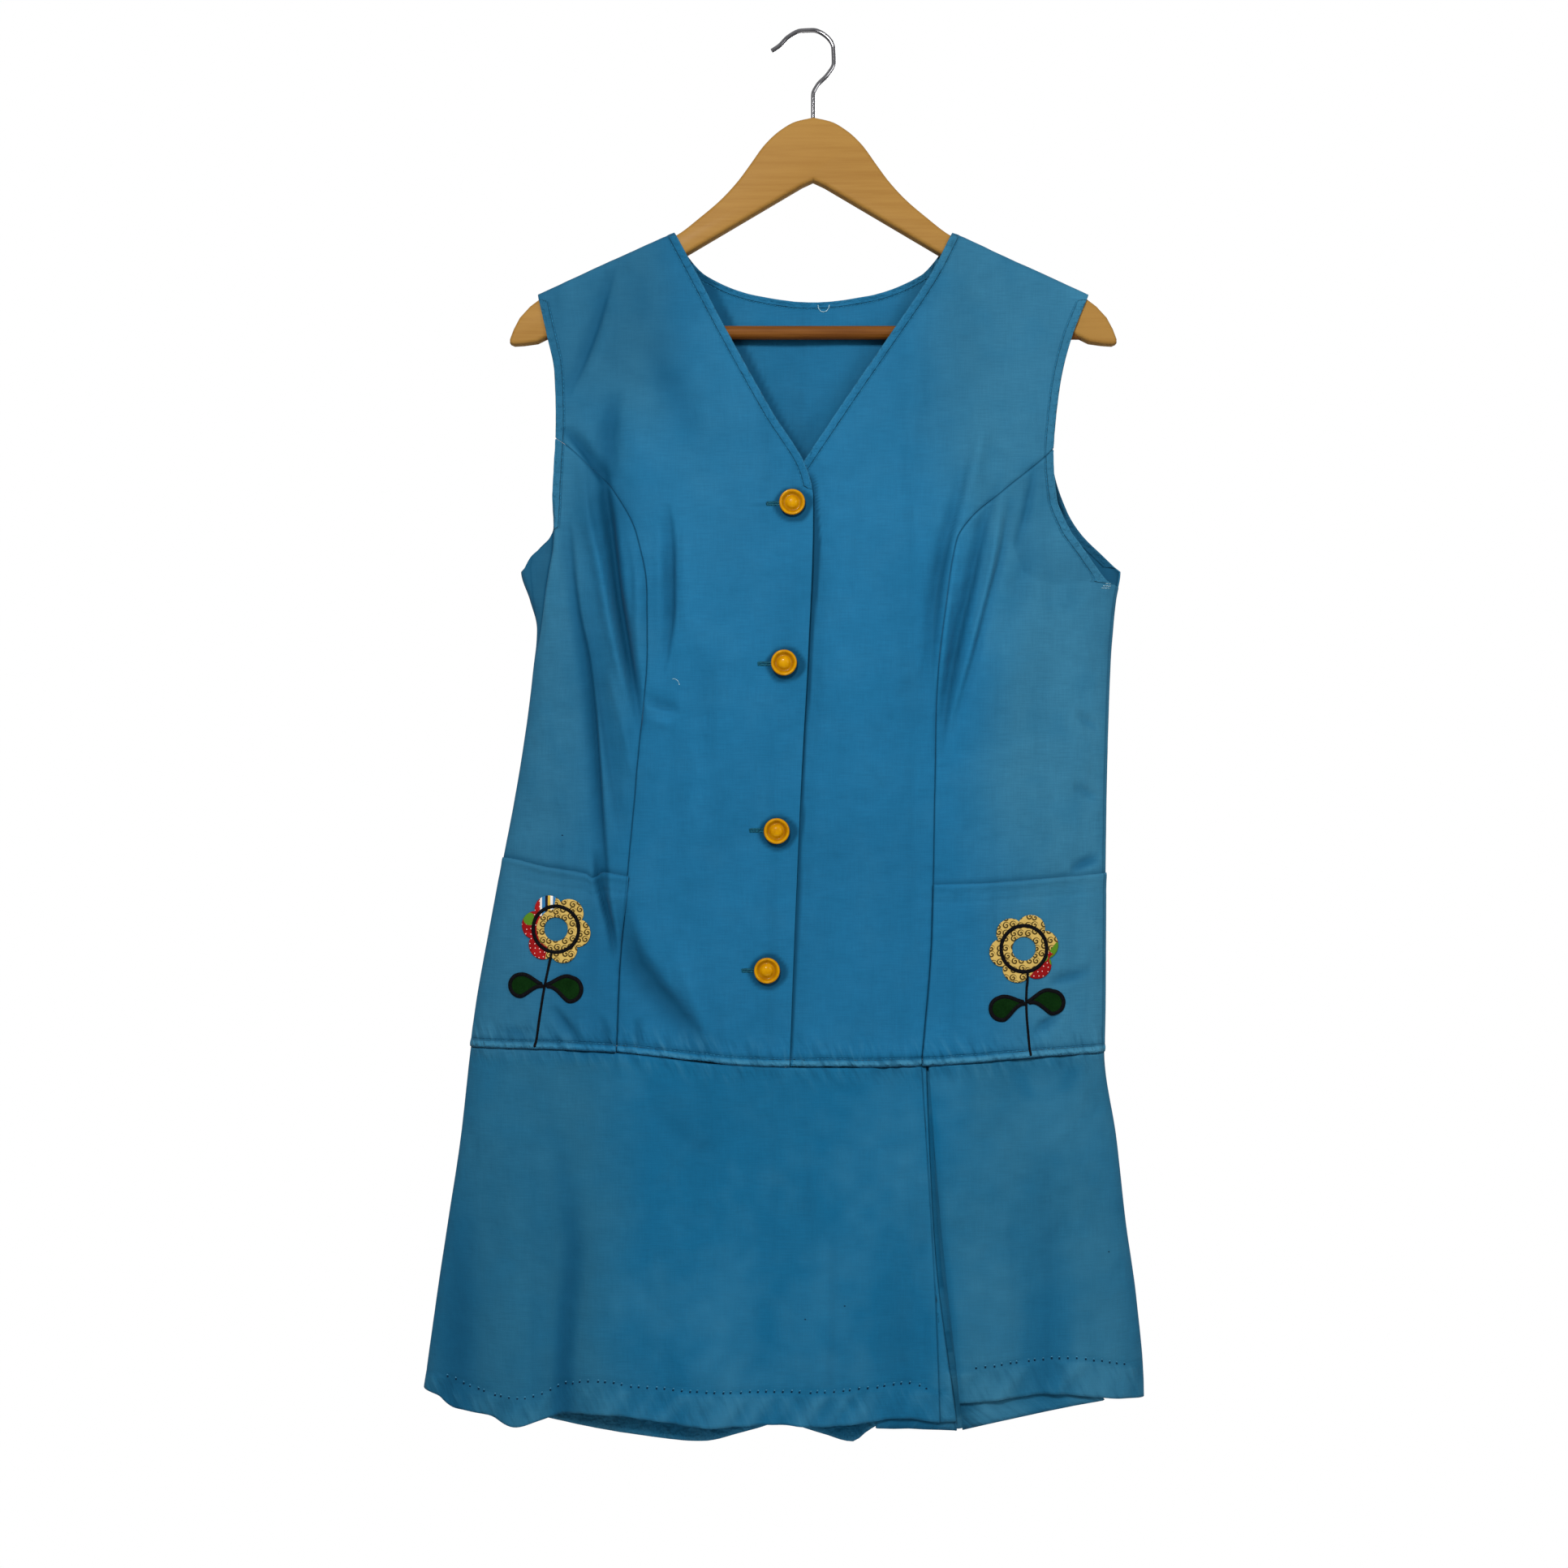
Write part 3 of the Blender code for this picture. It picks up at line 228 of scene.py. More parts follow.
BACK_NECK = Curve((
    (-101, -145.5), (-94, -157), (-78, -174.6), (-42, -189), (0, -194), (42, -189),
    (78, -174.6), (94, -157), (101, -145.5)))
SKIRT_HEM = Curve((
    (-284, -980.5), (-270, -985.5), (-256, -993), (-234, -995.5), (-212, -1002.5), (-197, -998.4),
    (-175, -993.6), (-151, -992.9), (-117, -997), (-78, -1001.3), (-25, -1000.2), (0, -1001.3),
    (33, -999.6), (62, -996.4), (90, -999), (103, -998)))
SIDE_HEM = Curve(((102, -985.9), (137, -983), (166, -980.7), (190, -982.6), (240, -988.2)))
RIGHT_LEG_HEM = Curve((
    (-284, -976), (-240, -988), (-187, -1002), (-130, -1012.5), (-79, -1018), (-50, -1012.5),
    (-29, -1008)))
LEFT_LEG_HEM = Curve((
    (-15, -1008.5), (6, -1013.5), (28, -1018.6), (40, -1010), (60, -1000), (120, -991),
    (180, -980), (240, -974)))
SKIRT_STITCHES = Curve((
    (-265, -970), (-233, -980), (-210, -983), (-175, -973), (-158, -970), (-117, -975), (-59, -977),
    (-1, -977), (39, -975), (68, -972), (87, -978)))
SIDE_STITCHES = Curve(((109, -962), (143, -958), (184, -956), (230, -963)))
TUCK_EDGE = Curve(((-333, -186), (-368, -187), (-403, -192), (-433, -196), (-470, -203)))

# Centres of the buttons and of their buttonholes, and the width of the shadow beside the overlapping edge
BUTTON_SPOTS = (((-15.4, -345.1), (-28.5, -345.5)), ((-21.2, -459.4), (-34.5, -460)),
                ((-26.4, -578.9), (-40.5, -578.5)), ((-33.3, -678.2), (-46, -678.5)))
LAP_SHADOW = Curve((
    (-328, 2.4), (-345, 3.2), (-363, 4.6), (-380, 5.6), (-397, 5.2), (-415, 4.1), (-432, 3.4), (-450, 2.5),
    (-475, 2.9), (-505, 1.9), (-553, 2.1), (-571, 3.1), (-590, 2.3), (-623, 2.8), (-660, 2.7), (-700, 2.1),
    (-727, 1.6), (-748, 0.9)))

# Lines of the pleat by height: seam, folded edges, how far it runs behind each way, and its spacing
PLEAT_SEAM = Curve(((-747, 77), (-853, 83.4), (-911, 86.6), (-963, 88.6), (-1005, 89.8)))
PLEAT_FOLD = Curve(((-747, 80.6), (-853, 87.6), (-911, 92.6), (-963, 97.8), (-1005, 102.8)))
PLEAT_SIDE_FOLD = Curve(((-747, 81.6), (-853, 89.4), (-911, 95.2), (-963, 101), (-1005, 104.6)))
PLEAT_BACK_RIGHT = Curve(((-747, 55), (-853, 51), (-911, 48), (-963, 46), (-1005, 43.7)))
PLEAT_BACK_LEFT = Curve(((-747, 108), (-853, 130), (-911, 148), (-963, 186), (-1005, 214)))
PLEAT_SPACING = Curve(((-747, 1.8), (-853, 2.2), (-911, 2.7), (-963, 3.1), (-1005, 3.4)))
UNDERLAY_HEM = Curve(((43, -1004.6), (103, -1005.7), (115, -1003.4), (138, -998.8), (174, -992.8), (214, -986.5)))


@dataclass(frozen=True)
class Fold:
    """Soft ridge (+) or trough (-) along a path, from its top end to its low one.

    left and right are its widths on the two sides of the path, so that one flank may be sharp.
    """

    path: Pairs
    height: float
    left: float
    right: float
    runs_off: bool = False

    def place(self, x: Array, z: Array) -> tuple[Array, Array]:
        """Distance from the fold's path, and the fold's strength from 0 to 1 there."""
        (first_x, first_z), (last_x, last_z) = self.path[0], self.path[-1]
        if abs(last_x - first_x) > abs(last_z - first_z):
            line, along_key, across_key = Curve(self.path), x, z
            start, end = first_x, last_x
        else:
            line, along_key, across_key = Curve(tuple((b, a) for a, b in self.path)), z, x
            start, end = first_z, last_z
        slope = line.slope(along_key)
        away = (across_key - line.at(along_key)) / np.sqrt(1.0 + slope ** 2)
        along = np.clip((along_key - start) / (end - start), 0.0, 1.0)
        return away, ramp(along, 0.0, 0.8) if self.runs_off else np.sin(math.pi * along) ** 0.85

    def at(self, x: Array, z: Array) -> Array:
        """Height of the fold at each place."""
        away, strength = self.place(x, z)
        return self.height * strength * bell(away, np.where(away < 0.0, self.left, self.right))

    def crease_shade(self, x: Array, z: Array) -> Array:
        """How much painted shade runs beside the fold's sharp flank."""
        sharp = min(self.left, self.right)
        if sharp > 4.5 or self.height > -1.5:
            return np.zeros_like(x)
        away, strength = self.place(x, z)
        shift = sharp * 0.35 * (1.0 if self.right < self.left else -1.0)
        return min(-self.height, 4.0) / 4.0 * strength * bell(away - shift, 1.5)


def folds(*rows: tuple) -> tuple[Fold, ...]:
    """Folds from rows of (path as x, z, x, z and so on, height, left, right, runs_off)."""
    return tuple(Fold(tuple(zip(path[::2], path[1::2])), *rest) for path, *rest in rows)


FRONT_FOLDS = folds(
    ((-143, -171, -159, -225, -177, -269), -1.9, 7, 2.2),
    ((-135, -177, -151, -229, -168, -275), 1.6, 5, 9),
    ((-142, -262, -146, -300, -143, -330), -3.0, 8, 6),
    ((-123, -258, -126, -310, -117, -362), 1.6, 10, 10),
    ((-118, -225, -104, -254, -78, -314), -1.6, 10, 10),
    ((-88, -225, -79, -264, -71, -333), 0.9, 10, 10),
    ((-180, -288, -163, -310, -149, -332), -3.2, 3, 6),
    ((-152, -308, -149.5, -334, -145.5, -367, -140.6, -408, -134.3, -447, -127.5, -485, -124, -512),
     -6.6, 4.5, 4.2),
    ((-166, -312, -160.5, -354, -152, -389, -142.5, -441, -132, -485, -126.5, -510), 3.6, 6, 3),
    ((-133, -360, -126, -400, -125, -440, -124.5, -472), 2.0, 3.5, 5),
    ((-176, -352, -170.6, -414, -162.4, -458, -157, -504, -153, -559, -149.6, -600, -146, -640),
     -4.4, 6.5, 2.0),
    ((-168, -398, -158, -450, -149, -510, -141, -560, -134.5, -592), -2.2, 4, 8),
    ((-147, -463, -134, -512, -128.5, -548), 1.7, 4, 4),
    ((-188, -380, -192, -470, -200, -565), 2.6, 14, 14),
    ((-111, -342, -108, -475), 1.6, 4, 4),
    ((-104, -344, -100.5, -386, -100.5, -415, -104.5, -452, -109, -472), -3.6, 8, 2.0),
    ((-92, -350, -91, -452), 1.5, 4, 10),
    ((-121, -487, -95, -494), -2.2, 2, 6),
    ((-119, -499, -98, -503), 1.3, 5, 2.5),
    ((-88, -484, -94, -539, -97, -611), -1.5, 8, 8),
    ((-80, -449, -80, -539), -1.0, 6, 6),
    ((-156, -592, -154.5, -612, -149, -635, -145.5, -648, -142, -672), -3.6, 2.2, 4),
    ((-147, -610, -141, -650, -138.5, -674), 1.8, 3, 3),
    ((-138, -628, -131, -660, -116, -687, -99, -707, -86, -725, -78.5, -741, -76, -751), -5.2, 12, 7),
    ((-100, -655, -84, -700, -70, -730), 2.2, 7, 9),
    ((-75, -688, -68, -742), -1.8, 7, 7),
    ((-186, -704, -167, -732), -2.0, 4, 3),
    ((-152, -710, -144, -737), -1.6, 3, 3),
    ((-126, -712, -124, -738), -2.0, 3, 3),
    ((-60, -360, -66, -590), 2.4, 30, 30),
    ((112, -296, 105, -335, 99.5, -356, 92.5, -385, 87.5, -415, 84.5, -445, 83, -482), -3.9, 7, 4),
    ((122, -286, 113, -325, 107, -348), 2.0, 4, 6),
    ((132, -328, 124, -352, 120.3, -367, 113.2, -401, 104.7, -438, 96.2, -481, 89, -530),
     -4.4, 6, 3.5),
    ((103, -370, 98, -400, 93, -440, 90, -482), 1.9, 4, 4),
    ((135, -333, 130, -367, 123.5, -404, 112.5, -447, 100, -496), 2.6, 3, 4),
    ((142, -338, 134.5, -379, 124.6, -413, 114.6, -453, 104.7, -487, 97.6, -514), -2.4, 3, 3.5),
    ((159, -314, 153, -348, 144, -380), -1.8, 4, 4),
    ((158, -345, 150, -391, 138, -449), -1.2, 9, 9),
    ((122, -262, 95, -395), 1.6, 12, 12),
    ((187, -496, 206, -506), -2.0, 4, 4),
    ((185, -547, 206, -556), -1.9, 4, 4),
    ((184, -607, 207, -599), -2.8, 3, 5),
    ((46, -330, 42, -560), 2.4, 28, 28),
    ((188, -420, 186, -600), 2.0, 16, 16),
    ((167, -688, 201, -680), -2.0, 3.5, 4.5),
    ((156, -723, 178, -711), -2.0, 4, 4),
    ((-224, -722, -197, -724), -1.7, 4, 4),
)
SKIRT_FOLDS = folds(
    ((-252, -790, -256, -995), -3.5, 15, 15, True),
    ((-210, -765, -212, -1000), 4.5, 20, 20, True),
    ((-77, -790, -77, -1003), 3.5, 30, 30, True),
    ((2, -800, 0, -1003), 2.5, 26, 26, True),
    ((60, -800, 62, -1000), -2.4, 20, 20, True),
    ((166, -790, 167, -985), -2.6, 20, 20, True),
    ((205, -800, 208, -988), 2.4, 16, 16, True),
    ((-195, -754, -184, -805, -176, -843, -172, -881, -176, -920, -179, -977, -180, -1004),
     -4.5, 8, 9, True),
    ((-155, -826, -152, -913, -155, -1004), 2.5, 16, 16, True),
    ((-113, -768, -80, -814), -1.6, 12, 12),
    ((-90, -756, -76, -785, -80, -881), -1.2, 14, 14),
    ((-138, -913, -109, -954, -100, -1004), -1.8, 12, 12, True),
    ((-59, -843, -57, -913, -71, -1004), 1.5, 16, 16, True),
    ((114, -826, 123, -913, 129, -990), 2.0, 14, 14, True),
    ((143, -745, 155, -774), -1.2, 6, 6),
    ((190, -745, 178, -768), -1.0, 6, 6),
)
BACK_FOLDS = folds(
    ((-120, -230, -128, -520), 3.2, 22, 22),
    ((112, -230, 104, -540), 3.2, 20, 20),
    ((-40, -260, -30, -430), -2.2, 26, 26),
    ((60, -420, 52, -700), 2.2, 24, 24),
    ((-140, -780, -150, -1005), 3.2, 24, 24, True),
    ((110, -780, 118, -995), 3.2, 24, 24, True),
)
BACK_CREASES = folds(
    ((-176, -322, -152, -400, -128, -478), -4.4, 8, 3.5),
    ((-164, -322, -138, -402, -112, -470), 2.4, 6, 6),
    ((170, -326, 144, -410, 118, -490), -4.4, 3.5, 8),
    ((156, -322, 130, -408, 104, -480), 2.4, 6, 6),
    ((-150, -520, -140, -600, -152, -690), -3.0, 8, 3),
    ((-96, -540, -88, -640, -104, -725), -3.2, 10, 4),
    ((-78, -560, -70, -650, -84, -720), 1.8, 8, 8),
    ((14, -590, 2, -660, -2, -738), -2.6, 5, 9),
    ((120, -560, 132, -640, 128, -725), -3.2, 4, 9),
    ((70, -620, 62, -735), -2.0, 5, 5),
    ((-196, -420, -182, -500, -186, -590), -2.4, 8, 4),
    ((192, -430, 180, -520, 184, -600), -2.4, 4, 8),
    ((-150, -190, -140, -260, -118, -330), -1.4, 6, 6),
    ((148, -192, 138, -262, 116, -332), -1.4, 6, 6),
    ((-60, -206, 0, -216, 60, -206), -1.2, 5, 5),
    ((-160, -760, -168, -860, -182, -1000), -4.2, 10, 6, True),
    ((-70, -800, -80, -900, -84, -1015), -3.4, 12, 6, True),
    ((50, -800, 62, -900, 60, -1005), -3.4, 6, 12, True),
    ((150, -760, 166, -870, 172, -985), -4.0, 6, 10, True),
    ((-222, -800, -234, -985), -2.2, 8, 8, True),
    ((-120, -745, -112, -790), -1.8, 5, 5),
    ((96, -745, 104, -792), -1.8, 5, 5),
)


def below_stitches(x: Array, z: Array) -> Array:
    """How far a place lies below the skirt's hem stitches."""
    return np.where(x < PLEAT_X, SKIRT_STITCHES.at(x), SIDE_STITCHES.at(x)) - z


def shoulder_line(x: Array) -> Array:
    """Height of the shoulder seam's line at x, carried on past both its ends."""
    slope = (SHOULDER_Z - NECK_Z) / (SHOULDER_X - NECK_X)
    return NECK_Z + slope * (np.abs(x) - NECK_X)


@dataclass(frozen=True)
class Form:
    """One hanging layer before its creases: front (-1) or back (+1), set in at the sides by inset."""

    side: int
    reach: Curve
    folds: tuple[Fold, ...] = ()
    inset: float = 0.0
    inseam: Optional[Curve] = None

    def crotch(self, x: Array, z: Array) -> tuple[Array, Array]:
        """How much of a leg's depth is left towards its inseam, and the slope there."""
        if self.inseam is None:
            return np.ones_like(x), np.zeros_like(x)
        inner = self.inseam.at(z)
        outer = (SIDE_RIGHT if self.inseam is INSEAM_RIGHT else SIDE_LEFT).at(z)
        middle = mix(outer, inner, 0.5)
        share = np.clip((x - middle) / (inner - middle), 0.0, 1.0)
        closed = np.clip((CROTCH_START_Z - z) / (CROTCH_START_Z - CROTCH_Z), 0.0, 1.0)
        left = np.maximum(1.0 - (closed * share) ** CROTCH_POWER, 0.0) ** (1.0 / CROTCH_POWER)
        slope = closed ** CROTCH_POWER * share ** (CROTCH_POWER - 1.0) / (inner - middle)
        return left, slope

    def at(self, x: Array, z: Array) -> tuple[Array, Array, Array]:
        """Point on the layer, its outward direction, and how open the layer is there (0 at a side)."""
        x, z = np.broadcast_arrays(np.asarray(x, float), np.asarray(z, float))
        right = SIDE_RIGHT.at(z) + self.inset
        left = SIDE_LEFT.at(z) - self.inset
        half = (left - right) / 2.0
        place = np.clip((x - (left + right) / 2.0) / half, -1.0, 1.0)
        rounded = (1.0 - np.abs(place) ** SIDE_POWER) ** (1.0 / SIDE_POWER)
        closing = ramp(z, SHOULDER_Z, UNDERARM_Z)
        across = 1.0 + (rounded - 1.0) * closing
        inner, inner_slope = self.crotch(x, z)
        drop = np.maximum(shoulder_line(x) - z, 0.0)
        roll = np.sqrt(1.0 - (1.0 - np.minimum(drop / SHOULDER_ROLL, 1.0)) ** 2)
        reach = self.reach.at(z)
        lean_x = np.copysign(np.abs(place) ** (SIDE_POWER - 1.0) / half * closing, place) + inner_slope
        lean_y = np.maximum(across * inner, 1e-6) ** (SIDE_POWER - 1.0) / reach
        lean = np.hypot(lean_x, lean_y)
        open_share = across * inner * roll
        depth = (reach + sum((fold.at(x, z) for fold in self.folds), 0.0)) * open_share
        facing_up = np.sqrt(1.0 - roll * roll)
        normal = np.stack((lean_x / lean * roll, self.side * lean_y / lean * roll, facing_up), axis=-1)
        point = np.stack((x, self.side * (GAP / 2.0 + depth), z), axis=-1)
        return point, normal, open_share


class Run(Enum):
    """Which way an edge's curve is read: x against height, or height against x."""

    DOWN = "down"
    ACROSS = "across"


@dataclass(frozen=True)
class Edging:
    """Sewn edge of a panel: a sunk seam or a turned and topstitched edge, with its puckers.

    cloth_side is +1 where the cloth lies at greater values than the curve and -1 where it lies at
    less. stitch is the topstitching's distance in from the edge, or 0.
    """

    curve: Curve
    run: Run
    cloth_side: int
    low: float
    high: float
    stitch: float = 0.0
    sink: float = 0.0
    plump: float = 0.0
    pucker: float = 0.0
    reach: float = 7.0
    wave: float = 5.0
    seed: float = 1.0

    def distance(self, x: Array, z: Array) -> tuple[Array, Array]:
        """Distance in from the edge, and the place along it."""
        key, value = (z, x) if self.run is Run.DOWN else (x, z)
        away = self.cloth_side * (value - self.curve.at(key)) / np.sqrt(1.0 + self.curve.slope(key) ** 2)
        return away, key

    def at(self, x: Array, z: Array) -> Array:
        """Height that the edging adds at each place."""
        away, key = self.distance(x, z)
        within = ramp(key, self.low - 6.0, self.low + 2.0) * ramp(key, self.high + 6.0, self.high - 2.0)
        height = -self.sink * bell(away, 1.3)
        if self.stitch:
            height -= 0.32 * bell(away - self.stitch, 0.9)
            height += self.plump * bell(away - self.stitch * 0.5, self.stitch * 0.42)
        if self.pucker:
            height += self.pucker * wander(key, away * 0.35, self.wave, self.seed) * bell(away, self.reach)
        return height * within

    def line(self, away: float) -> tuple[Array, Array]:
        """Places along a line that keeps a distance in from the edge."""
        key = np.linspace(self.low, self.high, max(int((self.high - self.low) / 2.0), 2))
        value, slope = self.curve.at(key), self.curve.slope(key)
        size = np.sqrt(1.0 + slope ** 2)
        value = value + self.cloth_side * away / size
        key = key - self.cloth_side * away * slope / size
        return (value, key) if self.run is Run.DOWN else (key, value)


@dataclass(frozen=True)
class Skin:
    """Finished outer face of a panel: a hanging form with creases, edgings and small unevenness."""

    form: Form
    creases: tuple[Fold, ...] = ()
    edgings: tuple[Edging, ...] = ()
    lifts: tuple[Relief, ...] = ()
    drawn: tuple[Edging, ...] = ()
    shades: tuple[Relief, ...] = ()
    base: float = 0.0
    crumple: float = 0.5
    seed: float = 0.0

    def at(self, x: Array, z: Array) -> tuple[Array, Array]:
        """Point on the face and its outward direction."""
        point, normal, open_share = self.form.at(x, z)
        height = sum((crease.at(x, z) for crease in self.creases), np.zeros_like(open_share))
        height = height + self.crumple * (wander(x, z * 0.7, 34.0, self.seed) + 0.35 * wander(x, z, 11.0, 7.0))
        height = height * np.minimum(open_share * 1.3, 1.0) * CREASE_GAIN
        for edging in self.edgings:
            height = height + edging.at(x, z)
        for lift in self.lifts:
            height = height + lift(x, z) * np.minimum(open_share * 1.7, 1.0)
        base = self.base * (0.25 + 0.75 * np.minimum(open_share * 1.6, 1.0))
        return point + normal * (height + base)[..., None], normal

    def relief(self, x: Array, z: Array) -> Array:
        """Height of the creases and folds alone, for the painted shade in the cloth's troughs and the painted
        highlight on its ridges.
        """
        folds = self.creases + self.form.folds
        return sum((fold.at(x, z) for fold in folds), np.zeros_like(x))

    def shade(self, x: Array, z: Array) -> Array:
        """How much painted shade (+) or painted light (-) the cloth gets, with painted shade beside the creases' sharp
        flanks.
        """
        # Painted shade beside the creases' sharp flanks, on top of the panel's painted shades and light.
        lines = sum((fold.crease_shade(x, z) for fold in self.creases), np.zeros_like(x))
        return sum((shade(x, z) for shade in self.shades), 0.19 * np.minimum(lines, 1.0))

    def raised(self, height: float) -> "Skin":
        """The same face, standing off by a height."""
        return replace(self, base=self.base + height)

    def marks(self, x: Array, z: Array) -> Array:
        """Distances for the cloth's finish.

        Args:
            x: Places across.
            z: Places up.

        Returns:
            For each place: distance in from the nearest turned edge as a share of its stitching's (a
            quarter is 1), distance from the nearest seam in centimetres, and how gathered it is.
        """
        turned = np.full(x.shape, 4.0)
        sewn = np.full(x.shape, 1.0)
        for edging in self.edgings + self.drawn:
            away, key = edging.distance(x, z)
            off = 60.0 * (1.0 - ramp(key, edging.low - 8.0, edging.low) * ramp(key, edging.high + 8.0, edging.high))
            if edging.stitch:
                turned = np.minimum(turned, (np.where(away < -1.0, 99.0, away) + off) / edging.stitch)
            else:
                sewn = np.minimum(sewn, (np.abs(away) + off) / 10.0)
        above = z - WAIST.at(x)
        gathered = np.where(above > 0.0, bell(above - 3.0, 13.0), 0.7 * bell(above, 11.0))
        gathered = np.maximum(gathered, 0.4 * ramp(below_stitches(x, z), -1.0, 2.0))
        return np.stack((np.clip(turned, 0.0, 4.0) / 4.0, np.clip(sewn, 0.0, 1.0), gathered, x * 0.0 + 1.0), axis=-1)


def steps(*stops: Union[float, tuple[float, int]]) -> list[float]:
    """Heights from the first stop down, each later stop being (height, rows to it)."""
    heights = [stops[0]]
    for height, rows in stops[1:]:
        start = heights[-1]
        heights += [start + (height - start) * (i + 1) / rows for i in range(rows)]
    return heights


ROLL_DROPS = (0.0, 0.12, 0.5, 1.1, 2.0, 3.2, 4.7, 6.5, 9.5, 22.5)


def rolled(top: float) -> list[float]:
    """Heights of the rows where cloth rolls over the shoulder."""
    return [top - drop for drop in ROLL_DROPS]


PRINCESS_RIGHT_ROWS = steps(PRINCESS_TOP_RIGHT_Z, (-345.0, 5), (UNDERARM_Z, 2), (-598.8, 6), (-729.5, 4), (-736.7, 3))
PRINCESS_LEFT_ROWS = steps(PRINCESS_TOP_LEFT_Z, (-345.0, 5), (UNDERARM_Z, 2), (-617.0, 6), (-739.8, 4), (-746.7, 3))
OUTER_RIGHT_ROWS = steps(-297.7, (-361.0, 4), (UNDERARM_Z, 3), (-597.5, 6), (-728.0, 4), (-734.8, 3))
OUTER_LEFT_ROWS = steps(-305.7, (-361.0, 4), (UNDERARM_LEFT_Z, 3), (-610.0, 6), (-732.0, 4), (-738.8, 3))
SHOULDER_ROWS = rolled(SHOULDER_Z) + steps(-212.0, (-290.0, 3))[1:] + [-295.5]
LAP_ROWS = rolled(NECK_Z) + steps(-168.0, (-290.0, 5), (-341.0, 5), (-395.0, 2), (-611.0, 6), (-740.0, 4),
                                  (-747.2, 3))[1:]
POCKET_FIRST_ROW = 13
POCKET_TOP_RIGHT = Curve(((-228, -598), (-217, -599), (-192, -604.5), (-175, -607), (-162, -609.5),
                          (-158, -612.5), (-151, -608.5), (-133, -611)))
POCKET_TOP_LEFT = Curve(((84, -617.0), (116, -616.2), (153, -613.9), (176, -612.0), (212, -609.5)))
SEAM_ROWS = steps(-747.3, (-762.0, 1), (-800.0, 1), (-960.0, 5), (-999.0, 3))
SIDE_SHARES = (0.0, 0.0015, 0.005, 0.012, 0.023, 0.04, 0.065, 0.09, 0.17, 0.29, 0.44, 0.62, 0.81, 0.93, 0.96,
               0.98, 0.992, 1.0)
SIDE_SHARES_MIRRORED = tuple(1.0 - share for share in reversed(SIDE_SHARES))
SIDE_ROUND = (0.0, 0.12, 0.45, 1.0, 2.0, 3.4, 5.4, 8.0, 16.0)
SEWN_EDGE = (0.0, 0.8, 1.7, 2.8, 4.2, 6.0, 8.0, 12.0)
LEG_ROUND = (0.0, 0.3, 1.2, 2.5, 4.5, 8.0, 12.0)


@dataclass(frozen=True)
class Panel:
    """Flat outline of one cut piece, with the heights of its rows and where its columns go."""

    left: Line
    right: Line
    left_rows: list[float]
    right_rows: list[float]
    near: tuple[float, ...] = ()
    far: tuple[float, ...] = ()
    shares: tuple[float, ...] = ()
    top: Optional[Line] = None
    top_rows: float = 0
    top_keep: float = 0
    bottom: Optional[Line] = None
    bottom_rows: float = 0
    spacing: float = 3.0

    def grid(self) -> tuple[Array, Array]:
        """Rows of x and z places that fill the piece, from its top edge down."""
        rows_left, rows_right = np.array(self.left_rows), np.array(self.right_rows)
        spans = np.maximum(np.abs(np.diff(rows_left)), np.abs(np.diff(rows_right)))
        index = self.divided(spans)
        z_left = np.interp(index, np.arange(len(rows_left)), rows_left)[:, None]
        z_right = np.interp(index, np.arange(len(rows_right)), rows_right)[:, None]
        x_left, x_right = self.left(z_left), self.right(z_right)
        if self.shares:
            columns = x_left + (x_right - x_left) * np.array(self.shares)
        else:
            columns = np.hstack((x_left + np.array(self.near), x_right - np.array(self.far)[::-1]))
        place = self.divided(np.diff(columns, axis=1).max(axis=0))
        low = np.minimum(place.astype(int), columns.shape[1] - 2)
        x = mix(columns[:, low], columns[:, low + 1], place - low)
        share = (x - x_left) / (x_right - x_left)
        z = mix(z_left, z_right, share)
        index = index[:, None]
        if self.top:
            straight = mix(rows_left[0], rows_right[0], share)
            z = z + (self.top(x) - straight) * (1.0 - ramp(index, self.top_keep, self.top_rows))
        if self.bottom:
            straight = mix(rows_left[-1], rows_right[-1], share)
            from_end = len(rows_left) - 1 - index
            z = z + (self.bottom(x) - straight) * (1.0 - ramp(from_end, 0.0, self.bottom_rows))
        return x, z

    def divided(self, spans: Array) -> Array:
        """Places counted in spans, with each span cut into equal steps no longer than the spacing."""
        counts = np.maximum(1, np.ceil(spans / self.spacing)).astype(int)
        inside = [i + np.arange(count) / count for i, count in enumerate(counts)]
        return np.concatenate(inside + [np.array([float(len(counts))])])


def joined(upper: Curve, lower: Curve, change: float) -> Line:
    """Edge that follows upper above a height and lower below it."""
    return lambda z: np.where(z > change, upper.at(z), lower.at(z))


def side_tuck(x: Array, z: Array) -> Array:
    """Recessed strip at the wearer's right underarm, behind the edge where the front folds over."""
    edge = TUCK_EDGE.at(z)
    within = ramp(z, -338.0, -362.0) * ramp(z, -468.0, -425.0)
    return (-6.0 * ramp(x, edge + 1.2, edge - 1.6) + 1.2 * bell(x - edge - 5.0, 4.0)) * within


def tuck_shade(x: Array, z: Array) -> Array:
    """Painted shade in the recessed strip at the wearer's right underarm, darkest at its edge, with a painted
    highlight on the edge that folds over it.
    """
    past = x - TUCK_EDGE.at(z)
    within = ramp(z, -345.0, -366.0) * ramp(z, -462.0, -428.0)
    return (0.17 * ramp(past, 0.0, -1.5) + 0.33 * bell(past + 1.0, 1.5) - 0.07 * bell(past - 2.6, 2.2)) * within


def lap_shade(x: Array, z: Array) -> Array:
    """Shadow of the overlapping front on the one beneath, beside its edge."""
    away = np.maximum(x - LAP_RIGHT.at(z), 0.0)
    width = LAP_SHADOW.at(z)
    return (0.5 * ramp(away, width + 1.2, width - 0.8) + 0.04 * bell(away, 9.0)) * ramp(z, -318.0, -330.0)


